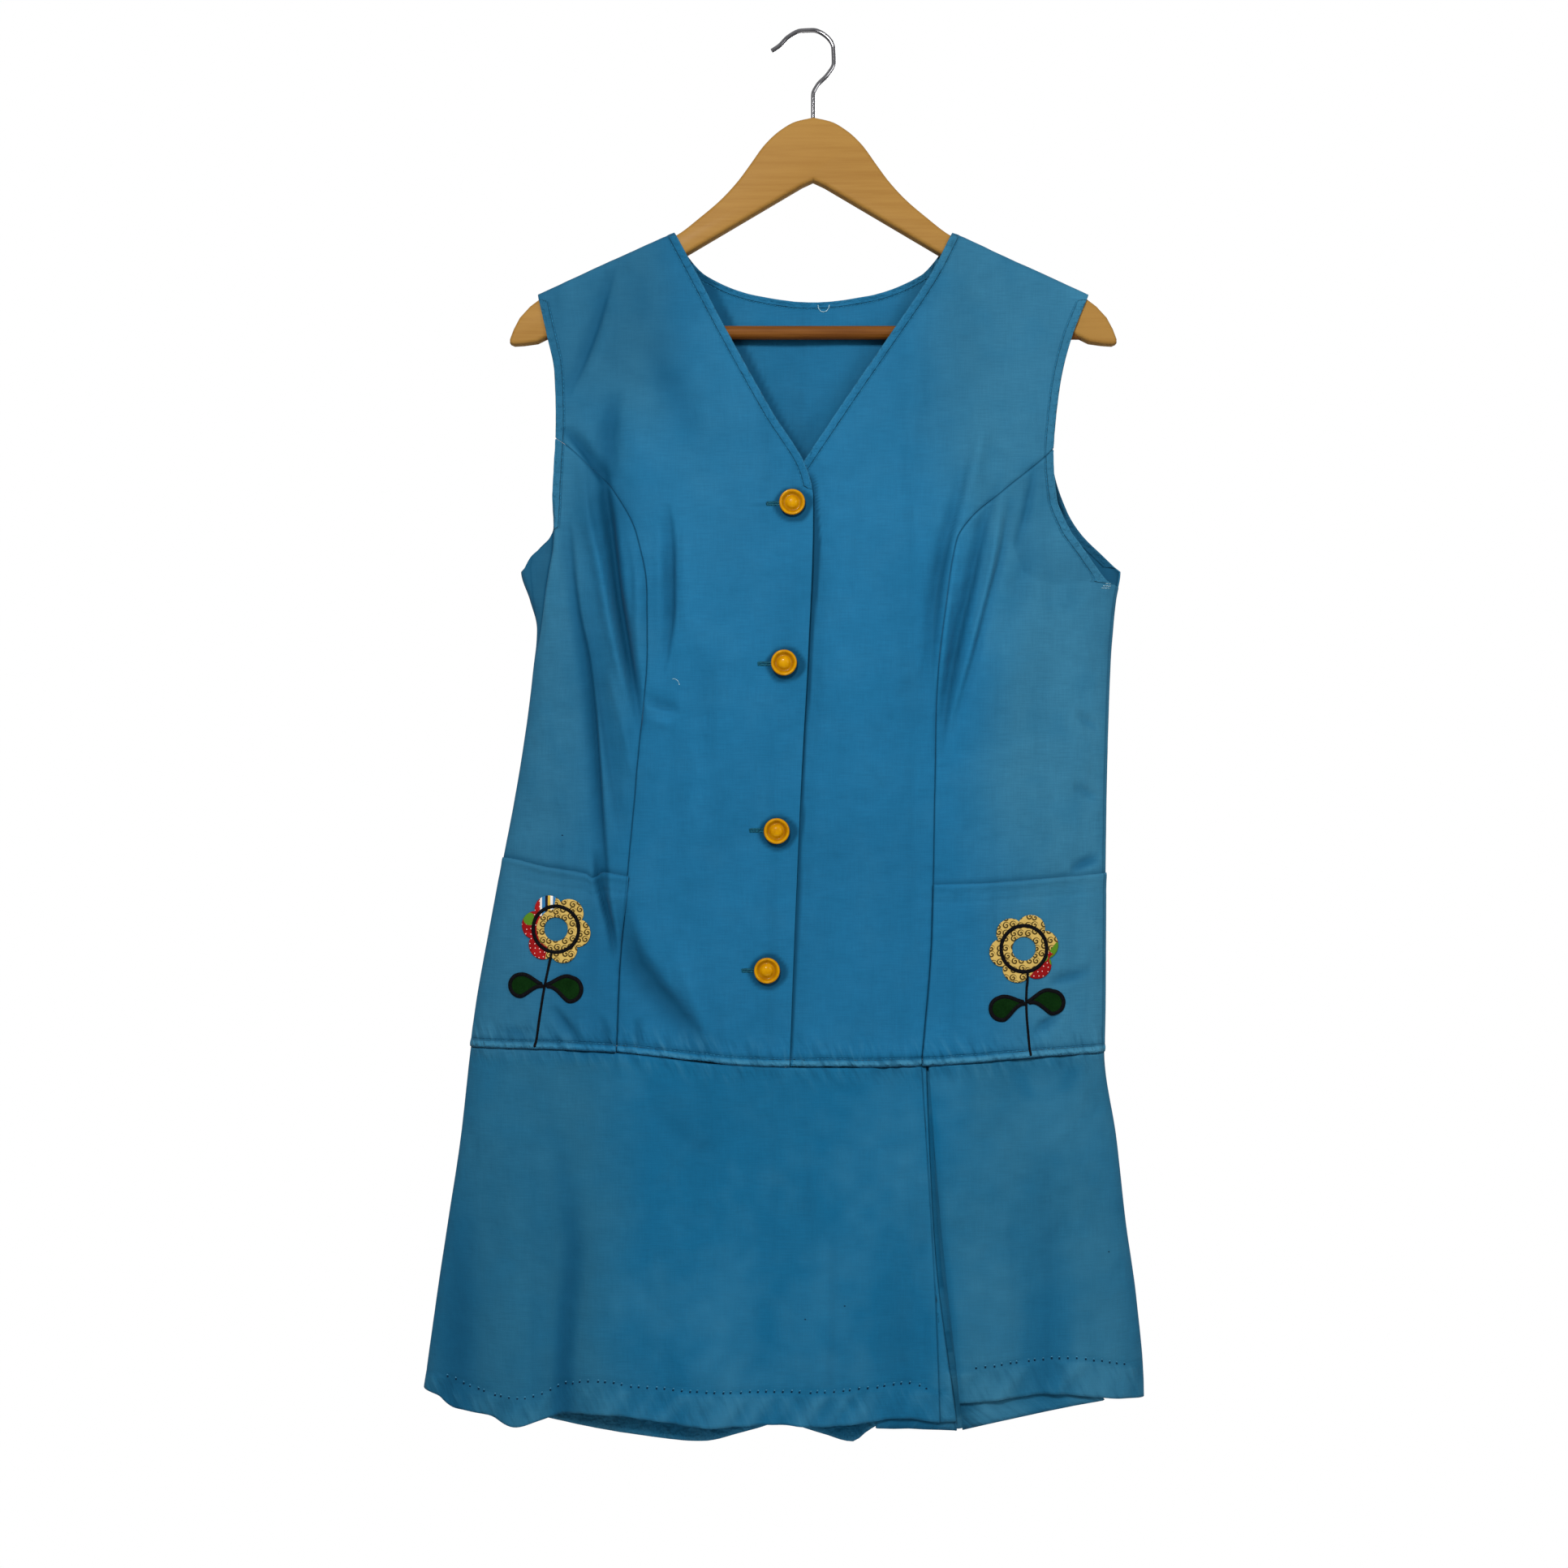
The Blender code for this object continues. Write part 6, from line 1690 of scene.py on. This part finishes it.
@dataclass
class SatinBand:
    """Dense satin stitching: a low rounded band with a ragged edge where its threads turn."""

    width: float
    height: float = 0.7
    thread: float = 0.5
    ragged: float = 0.16

    def lay(self, surface: Surface, x: Array, z: Array, closed: bool, seed: float) -> Array:
        """Rows of points round the band along a path.

        Args:
            surface: The face that the band lies on.
            x: The path's places across.
            z: The path's places up.
            closed: True where the path ends where it starts.
            seed: Which ragged edge.

        Returns:
            One ring of points for each step of the path.
        """
        along = np.concatenate(([0.0], np.cumsum(np.hypot(np.diff(x), np.diff(z)))))
        count = max(int(along[-1] / self.thread * 2.0), 4)
        place = np.linspace(0.0, along[-1], count + 1)
        path_x, path_z = np.interp(place, along, x), np.interp(place, along, z)
        if closed:
            run_x, run_z = (np.gradient(np.r_[path[-2], path, path[1]])[1:-1] for path in (path_x, path_z))
        else:
            run_x, run_z = np.gradient(path_x), np.gradient(path_z)
        size = np.hypot(run_x, run_z)
        out_x, out_z = run_z / size, -run_x / size
        index = np.arange(count + 1)
        uneven = 0.5 + np.abs(wander(index * 7.3, place, 5.0, seed))
        jag = 1.0 + self.ragged * np.where(index % 2 == 0, 1.0, -0.6) * uneven
        rise = np.where(index % 2 == 0, 1.0, 0.84)
        if closed:
            jag[-1], rise[-1] = jag[0], rise[0]
        else:
            jag = jag * np.minimum(1.0, 0.35 + np.minimum(index, count - index) * 0.3)
        angles = np.linspace(0.0, 2.0 * math.pi, 9)
        across = np.cos(angles)[None, :] * (self.width / 2.0 * jag)[:, None]
        up = np.maximum(np.sin(angles), -0.35)[None, :] * (self.height * rise)[:, None]
        face, normal = surface(path_x[:, None] + out_x[:, None] * across, path_z[:, None] + out_z[:, None] * across)
        return face + normal * up[..., None]


def add_band(bm: Mesh, rows: Array, closed: bool = False) -> None:
    """Add a band's closed tube to a mesh."""
    tube, _, _ = grid_mesh(rows)
    bmesh.ops.remove_doubles(tube, verts=tube.verts, dist=WELD)
    if not closed:
        rims = [edge for edge in tube.edges if edge.is_boundary]
        bmesh.ops.holes_fill(tube, edges=rims, sides=0)
    bmesh.ops.recalc_face_normals(tube, faces=tube.faces)
    carrier = bpy.data.meshes.new("band")
    tube.to_mesh(carrier)
    tube.free()
    bm.from_mesh(carrier)
    bpy.data.meshes.remove(carrier)


@dataclass(frozen=True)
class Flower:
    """Applied six-petal flower: its node, centre and turn, and the satin stem that leaves it."""

    node: str
    x: float
    z: float
    turn: float
    stem: Pairs
    finish: PrintedCloth


@dataclass(frozen=True)
class Leaf:
    """Applied leaf from its narrow root to its round tip."""

    node: str
    root: tuple[float, float]
    tip: tuple[float, float]
    width: float
    bow: float


@dataclass
class Motifs:
    """Flowers, leaves and satin stems on the pockets."""

    wardrobe: Wardrobe
    right_face: Skin
    left_face: Skin
    petals: int = 6
    tip_radius: float = 25.0
    valley_radius: float = 19.5
    hole_radius: float = 8.5
    ring_radius: float = 16.4
    cloth: float = 0.55
    wall: float = 0.45
    root_share: float = 0.08
    widest: float = 0.68
    flowers: tuple[Flower, ...] = (
        Flower("flower_right", -184.0, -649.2, 0.35, ((-187, -666), (-192, -689), (-199, -733.5)),
               PrintedCloth("printed_petal_cloth", -0.98, 0.17, 4.0, -12.0, (-184.0, -649.2))),
        Flower("flower_left", 150.0, -663.1, -0.35, ((152.6, -679), (151.8, -701), (154.5, -739.5)),
               PrintedCloth("printed_petal_cloth_turned", 0.78, -0.62, 15.5, 40.0, (150.0, -663.1))),
    )
    leaves: tuple[Leaf, ...] = (
        Leaf("leaf_right_outer", (-193.6, -689.3), (-217.1, -689.7), 8.7, 1.1),
        Leaf("leaf_right_inner", (-190.8, -689.5), (-165.8, -693.2), 9.5, 2.1),
        Leaf("leaf_left_inner", (150.4, -701.7), (126.3, -707.7), 9.0, 1.5),
        Leaf("leaf_left_outer", (153.2, -701.3), (178.5, -701.9), 9.1, 2.5),
    )

    def face(self, x: float) -> Skin:
        """The pocket that carries a motif at x."""
        return self.right_face if x < 0.0 else self.left_face

    def build(self) -> None:
        """Make the flowers, leaves and stems."""
        for flower in self.flowers:
            self.build_flower(flower)
        for leaf in self.leaves:
            self.build_leaf(leaf)

    def build_flower(self, flower: Flower) -> None:
        """One flower of printed cloth, with its satin ring and stem."""
        face = self.face(flower.x).raised(MOTIF_BASE - POCKET_BASE)
        angle = np.linspace(0.0, 2.0 * math.pi, 181)
        lobe = np.abs(np.sin(self.petals / 2.0 * angle)) ** 0.7
        outer = mix(self.valley_radius, self.tip_radius, lobe)
        share = np.array([0.0, 0.05, 0.15, 0.3, 0.45, 0.6, 0.75, 0.88, 0.96, 1.0])[:, None]
        radius = mix(self.hole_radius, outer[None, :], share)
        turned = -angle[None, :] + flower.turn
        x, z = flower.x + radius * np.cos(turned), flower.z + radius * np.sin(turned)
        points, normals = face.at(x, z)
        puff = self.cloth + 0.5 * np.sin(math.pi * share) ** 0.5 + 0.22 * wander(x, z, 9.0, 17.0)
        points = points + normals * (puff - 0.7 * bell(radius - self.ring_radius, 1.6))[..., None]
        bm, _, _ = grid_mesh(points)
        made = self.apply(flower.node, bm, flower.finish, "printed_petal_cloth")
        bm = bmesh.new()
        loop = np.linspace(0.0, 2.0 * math.pi, 121)
        ring_x = flower.x + self.ring_radius * np.cos(loop)
        ring_z = flower.z + self.ring_radius * np.sin(loop)
        band = SatinBand(2.7, height=0.8, thread=0.62, ragged=0.16)
        raised = face.raised(self.cloth + 0.1)
        add_band(bm, band.lay(raised.at, ring_x, ring_z, True, 2.0), closed=True)
        line = Curve(tuple((z, x) for x, z in flower.stem))
        stem_z = np.linspace(flower.stem[0][1], flower.stem[-1][1], 60)
        stem = SatinBand(1.75, height=0.6, thread=0.6, ragged=0.14)
        low, top = self.face(flower.x).raised(0.1), face.raised(self.cloth + 0.3)

        def climbing(x: Array, z: Array) -> tuple[Array, Array]:
            """Face of the pocket, rising onto the petals near the ring."""
            share = ramp(z, flower.z - self.tip_radius - 3.0, flower.z - self.tip_radius + 1.0)[..., None]
            (low_point, normal), (top_point, _) = low.at(x, z), top.at(x, z)
            return mix(low_point, top_point, share), normal

        add_band(bm, stem.lay(climbing, line.at(stem_z), stem_z, False, 3.0))
        self.outline(flower.node, bm)
        LOG.info("%s sewn on", flower.node)

    def apply(self, node: str, bm: Mesh, finish: Union[PrintedCloth, PlainCloth], slot: str) -> Piece:
        """Make a motif's cloth, with its faces to the front and a live thickness."""
        bmesh.ops.remove_doubles(bm, verts=bm.verts, dist=WELD)
        made = to_object(node + "_cloth", bm, self.wardrobe.get(finish))
        if sum(polygon.normal.y for polygon in made.data.polygons) > 0.0:
            made.data.flip_normals()
        thicken(made, self.wall)
        return place_piece(made, slot, node)

    def outline(self, node: str, bm: Mesh) -> None:
        """Make a motif's satin stitching."""
        place_piece(to_object(node + "_satin", bm, self.wardrobe.get(BLACK_THREAD)), "green_leaf_cloth")

    def leaf_width(self, share: Array) -> Array:
        """Share of a leaf's full half width, from its narrow root to its round end."""
        widening = self.root_share + (1.0 - self.root_share) * ramp(share, 0.0, self.widest)
        past = np.maximum(share - self.widest, 0.0) / (1.0 - self.widest)
        return np.maximum(widening * np.sqrt(np.maximum(1.0 - past ** 2, 0.0)), 0.02)

    def build_leaf(self, leaf: Leaf) -> None:
        """One leaf of green cloth with a black satin outline."""
        face = self.face(leaf.root[0]).raised(MOTIF_BASE - POCKET_BASE - LIFT)
        run = np.array(leaf.tip) - np.array(leaf.root)
        across = np.array((-run[1], run[0])) / np.hypot(*run)
        up = math.copysign(1.0, across[1])
        share = 1.0 - (1.0 - np.linspace(0.0, 1.0, 41)) ** 1.6
        half = (leaf.width - 1.0) * self.leaf_width(share)
        bow = up * leaf.bow * np.sin(math.pi * np.minimum(share / self.widest, 1.0))
        rungs = np.linspace(-1.0, 1.0, 13)
        away = bow[:, None] + half[:, None] * rungs[None, :]
        x = leaf.root[0] + run[0] * share[:, None] + across[0] * away
        z = leaf.root[1] + run[1] * share[:, None] + across[1] * away
        points, normals = face.at(x, z)
        puff = self.cloth + 0.25 * (1.0 - rungs[None, :] ** 2) * np.sin(math.pi * share[:, None])
        bm, _, _ = grid_mesh(points + normals * puff[..., None])
        made = self.apply(leaf.node, bm, LEAF_CLOTH, "green_leaf_cloth")
        edge = [np.concatenate((side[:, 0], side[::-1, -1][1:], side[:1, 0])) for side in (x, z)]
        bm = bmesh.new()
        band = SatinBand(2.9, height=0.8, thread=0.62, ragged=0.07)
        add_band(bm, band.lay(face.raised(self.cloth - LIFT).at, *edge, False, 6.0))
        self.outline(leaf.node, bm)


@dataclass
class Buttons:
    """Four turned buttons with their buttonholes and the thread loop at the back of the neck."""

    wardrobe: Wardrobe
    face: Skin
    back: Skin
    steps: int = 56
    profile: Pairs = ((0, 0), (2.6, 0), (2.9, 1.3), (6.0, 1.4), (7.6, 1.8), (8.7, 2.4), (9.2, 3.1), (9.25, 3.6),
                      (9.05, 4.1), (8.6, 4.45), (8.0, 4.5), (7.4, 4.1), (6.9, 3.3), (6.3, 2.6), (5.5, 2.35),
                      (4.9, 2.5), (4.4, 3.05), (3.9, 3.7), (3.2, 4.2), (2.2, 4.55), (1.1, 4.72), (0, 4.75))
    loop: Pairs = ((3.6, -196), (4, -198.6), (5.4, -200.6), (7.6, -201.2), (10, -200.4), (11.4, -198.4), (11.8, -196))
    loop_thread: float = 0.32

    def build(self) -> None:
        """Make the buttons, buttonholes and loop."""
        for number, (centre, _) in enumerate(BUTTON_SPOTS, 1):
            self.build_button("button_%d" % number, *centre)
        self.build_holes()
        self.build_loop()

    def build_button(self, node: str, x: float, z: float) -> None:
        """Turn one button and set it square to the cloth."""
        bm = bmesh.new()
        verts = [bm.verts.new((radius * MM, 0.0, height * MM)) for radius, height in self.profile]
        edges = [bm.edges.new(pair) for pair in zip(verts, verts[1:])]
        bmesh.ops.spin(bm, geom=verts + edges, cent=(0, 0, 0), axis=(0, 0, 1), angle=2.0 * math.pi,
                       steps=self.steps, use_merge=True)
        bmesh.ops.remove_doubles(bm, verts=bm.verts, dist=1e-5)
        bmesh.ops.recalc_face_normals(bm, faces=bm.faces)
        hollow_shade = bm.verts.layers.float.new("hollow_shade")
        for vert in bm.verts:
            radius = vert.co.xy.length / MM
            # Painted shade in the ring between rim and dome and on the button's outer side.
            vert[hollow_shade] = float(0.62 * bell(radius - 5.9, 1.1) + 0.55 * ramp(radius, 8.6, 9.2))
        point, normal = self.face.at(np.array([x]), np.array([z]))
        out = Vector(normal[0])
        seat = Vector(point[0]) + out * (GAP - 0.1)
        turned = out.to_track_quat("Z", "Y").to_matrix().to_4x4()
        bmesh.ops.transform(bm, matrix=Matrix.Translation(seat * MM) @ turned, verts=bm.verts)
        place_piece(to_object(node + "_turned", bm, self.wardrobe.get(YellowPlastic())), "yellow_button_plastic", node)
        LOG.info("%s turned", node)

    def build_holes(self) -> None:
        """Two thin satin rows and an end bar for each buttonhole."""
        bm = bmesh.new()
        row = SatinBand(1.5, height=0.5, thread=0.5, ragged=0.3)
        for (centre, _), (x, z) in BUTTON_SPOTS:
            span = np.linspace(x - 4.5, centre - 4.0, 12)
            for shift in (-0.85, 0.85):
                add_band(bm, row.lay(self.face.at, span, np.full_like(span, z + shift), False, 8.0))
            bar = np.linspace(z - 1.5, z + 1.5, 6)
            add_band(bm, row.lay(self.face.at, np.full_like(bar, x - 4.7), bar, False, 9.0))
        place_piece(to_object("buttonholes", bm, self.wardrobe.get(TEAL_THREAD)), "blue_cloth")

    def build_loop(self) -> None:
        """Thread loop that hangs inside the back of the neck."""
        point, normal = self.back.at(*np.array(self.loop).T)
        path = point - normal * (CLOTH_THICKNESS + 0.35)
        place_piece(wire("neck_loop", path, self.loop_thread, 2, self.wardrobe.get(PALE_THREAD)), "blue_cloth")


@dataclass
class Hanger:
    """Flat shaped wooden body, its round bar and the wire hook."""

    wardrobe: Wardrobe
    thickness: float = 12.0
    rounding: float = 3.0
    crown: Pairs = ((0, -63.0), (13, -66.0), (25, -73.0), (36, -83.5), (45, -96.0), (55, -109.5), (67, -122.5),
                    (81, -134.5), (99, -148.2), (150, -171.6), (196, -193.0))
    tip: Pairs = ((205, -199.8), (212.5, -208.0), (217, -216.5), (219.6, -223.5), (219.6, -226.2), (217, -227.4),
                  (210, -227.0), (200, -225.6), (189, -220.2))
    under: Pairs = ((93, -162.4), (8, -112.2), (0, -108.5))
    hook: Pairs = ((0, -62.7), (0, -46), (3, -38.5), (10.5, -30.5), (15, -22), (14.6, -11), (9, -2.4), (0, 1.6),
                   (-9, 1.2), (-18, -3.2), (-24.5, -9.6), (-30, -13.4))
    wire: float = 1.6
    hook_steps: int = 8

    def build(self) -> None:
        """Make the body and the hook, and finish the bar."""
        self.build_body()
        self.build_hook()
        bar = bpy.data.objects["hanger_bar"]
        bar.data.materials.clear()
        bar.data.materials.append(self.wardrobe.get(BAR_WOOD))
        LOG.info("hanger built")

    def outline(self) -> list[tuple[float, float]]:
        """Smooth half outline from the crown round the arm's tip to the notch, mirrored."""
        upper = Curve(self.crown)
        x = np.concatenate((np.linspace(0.0, 99.0, 34), np.linspace(105.0, 196.0, 8)))
        half = list(zip(x.tolist(), upper.at(x).tolist())) + list(self.tip) + list(self.under)
        return half + [(-a, b) for a, b in reversed(half[1:-1])]

    def build_body(self) -> None:
        """Cut the body from its outline and round its edges."""
        bm = bmesh.new()
        front = -self.thickness / 2.0 * MM
        face = bm.faces.new([bm.verts.new((x * MM, front, z * MM)) for x, z in self.outline()])
        pushed = bmesh.ops.extrude_face_region(bm, geom=[face])["geom"]
        moved = [item for item in pushed if isinstance(item, bmesh.types.BMVert)]
        bmesh.ops.translate(bm, verts=moved, vec=(0.0, self.thickness * MM, 0.0))
        bmesh.ops.recalc_face_normals(bm, faces=bm.faces)
        rims = [edge for edge in bm.edges if edge.calc_face_angle(0.0) > SHARP_RIM]
        bmesh.ops.bevel(bm, geom=rims, offset=self.rounding * MM * 0.9, offset_type="OFFSET", affect="EDGES",
                        segments=4, profile=0.5, material=-1, clamp_overlap=True)
        made = to_object("hanger_shaped_body", bm, self.wardrobe.get(PALE_WOOD))
        made.data.set_sharp_from_angle(angle=SHARP_SHADE)
        place_piece(made, "pale_hanger_wood", "hanger_body")

    def build_hook(self) -> None:
        """Bend the hook's wire."""
        last = len(self.hook) - 1
        place = np.linspace(0.0, last, last * self.hook_steps + 1)
        across, up = (Curve(tuple(enumerate(values))).at(place) for values in zip(*self.hook))
        path = np.stack((across, 0.0 * place, up), axis=-1)
        made = wire("hanger_wire_hook", path, self.wire, 5, self.wardrobe.get(BrightSteel()))
        place_piece(made, "bright_hook_steel", "hanger_hook")


@dataclass
class Studio:
    """Pale floor, soft lights and the camera."""

    camera_at: tuple[float, float, float] = (-0.0212, -1.4, -0.5454)
    view_width: float = 1.138
    floor_z: float = -1.65
    floor_radius: float = 1.15
    fill: float = 0.325
    key_power: float = 22.2

    def build(self) -> None:
        """Set up the stage."""
        self.build_camera()
        self.build_floor()
        self.build_light("key_light", (-0.3, -1.48, 0.28), STAGE_AIM, 0.3, self.key_power)
        self.build_light("side_light", (1.1, -1.2, -0.1), STAGE_AIM, 0.6, self.key_power * 0.27)
        self.build_light("back_light", (0.6, 1.9, 0.5), (0.0, 0.0, -0.55), 1.2, self.key_power * 1.5)
        self.build_world()

    def build_camera(self) -> None:
        """Camera at the photograph's angle."""
        lens = bpy.data.cameras.new("camera")
        lens.sensor_width = 36.0
        lens.lens = 36.0 * abs(self.camera_at[1]) / self.view_width
        camera = linked("camera", lens)
        camera.location = self.camera_at
        camera.rotation_euler = (math.pi / 2.0, 0.0, 0.0)
        bpy.context.scene.camera = camera

    def build_floor(self) -> None:
        """Round pale floor below the hem."""
        bm = bmesh.new()
        bmesh.ops.create_circle(bm, cap_ends=True, segments=96, radius=self.floor_radius,
                                matrix=Matrix.Translation((0.0, 0.0, self.floor_z)))
        made = Shader("pale_floor", 0.8)
        grain = made.lumps(made.coordinates("Object"), 30.0, 3.0)
        floor = to_object("floor", bm, made.finish(made.blend(grain, (0.82, 0.82, 0.81), (0.86, 0.86, 0.85))))

    @staticmethod
    def build_light(name: str, place: Colour, aim: Colour, size: float, power: float) -> None:
        """One soft square light that looks at a point."""
        light = bpy.data.lights.new(name, "AREA")
        light.energy = power
        light.size = size
        made = linked(name, light)
        made.location = place
        made.rotation_euler = (Vector(aim) - Vector(place)).to_track_quat("-Z", "Y").to_euler()

    def build_world(self) -> None:
        """White surroundings that light the part softly."""
        world = bpy.data.worlds.new("studio")
        world.use_nodes = True
        nodes = Nodes(world.node_tree)
        shown, output = (nodes.tree.nodes[name] for name in ("Background", "World Output"))
        nodes.fill(shown.inputs[0], (1.0, 1.0, 1.0))
        nodes.fill(shown.inputs[1], 1.0)
        up = nodes.add("SeparateXYZ", {0: nodes.add("TexCoord").outputs["Generated"]}).outputs[2]
        brighter = nodes.add("MapRange", {"Value": up, "From Min": -1.0, "From Max": 1.0, "To Min": self.fill * 0.45,
                                          "To Max": self.fill * 1.6}).outputs[0]
        lit = nodes.add("Background", {0: (0.97, 0.98, 1.0), 1: brighter}).outputs[0]
        seen = nodes.add("LightPath").outputs["Is Camera Ray"]
        nodes.fill(output.inputs[0], nodes.add("MixShader", {0: seen, 1: lit, 2: shown.outputs[0]}).outputs[0])
        scene = bpy.context.scene
        scene.world = world
        scene.view_settings.view_transform = "Standard"


def main() -> None:
    """Build the playsuit, its hanger and the studio in order."""
    logging.basicConfig(level=logging.INFO, format="%(name)s: %(message)s")
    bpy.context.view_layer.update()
    wardrobe = Wardrobe()
    cutter = ClothCutter(wardrobe)
    bodice, apron = Bodice(cutter), Apron(cutter)
    bodice.build()
    apron.build()
    Shorts(cutter).build()
    Stitching(wardrobe).build(bodice, apron)
    Motifs(wardrobe, bodice.side_right.raised(POCKET_BASE), bodice.side_left.raised(POCKET_BASE)).build()
    Buttons(wardrobe, bodice.centre_right, bodice.back).build()
    Hanger(wardrobe).build()
    Studio().build()
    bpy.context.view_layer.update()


if __name__ == "__main__":
    main()
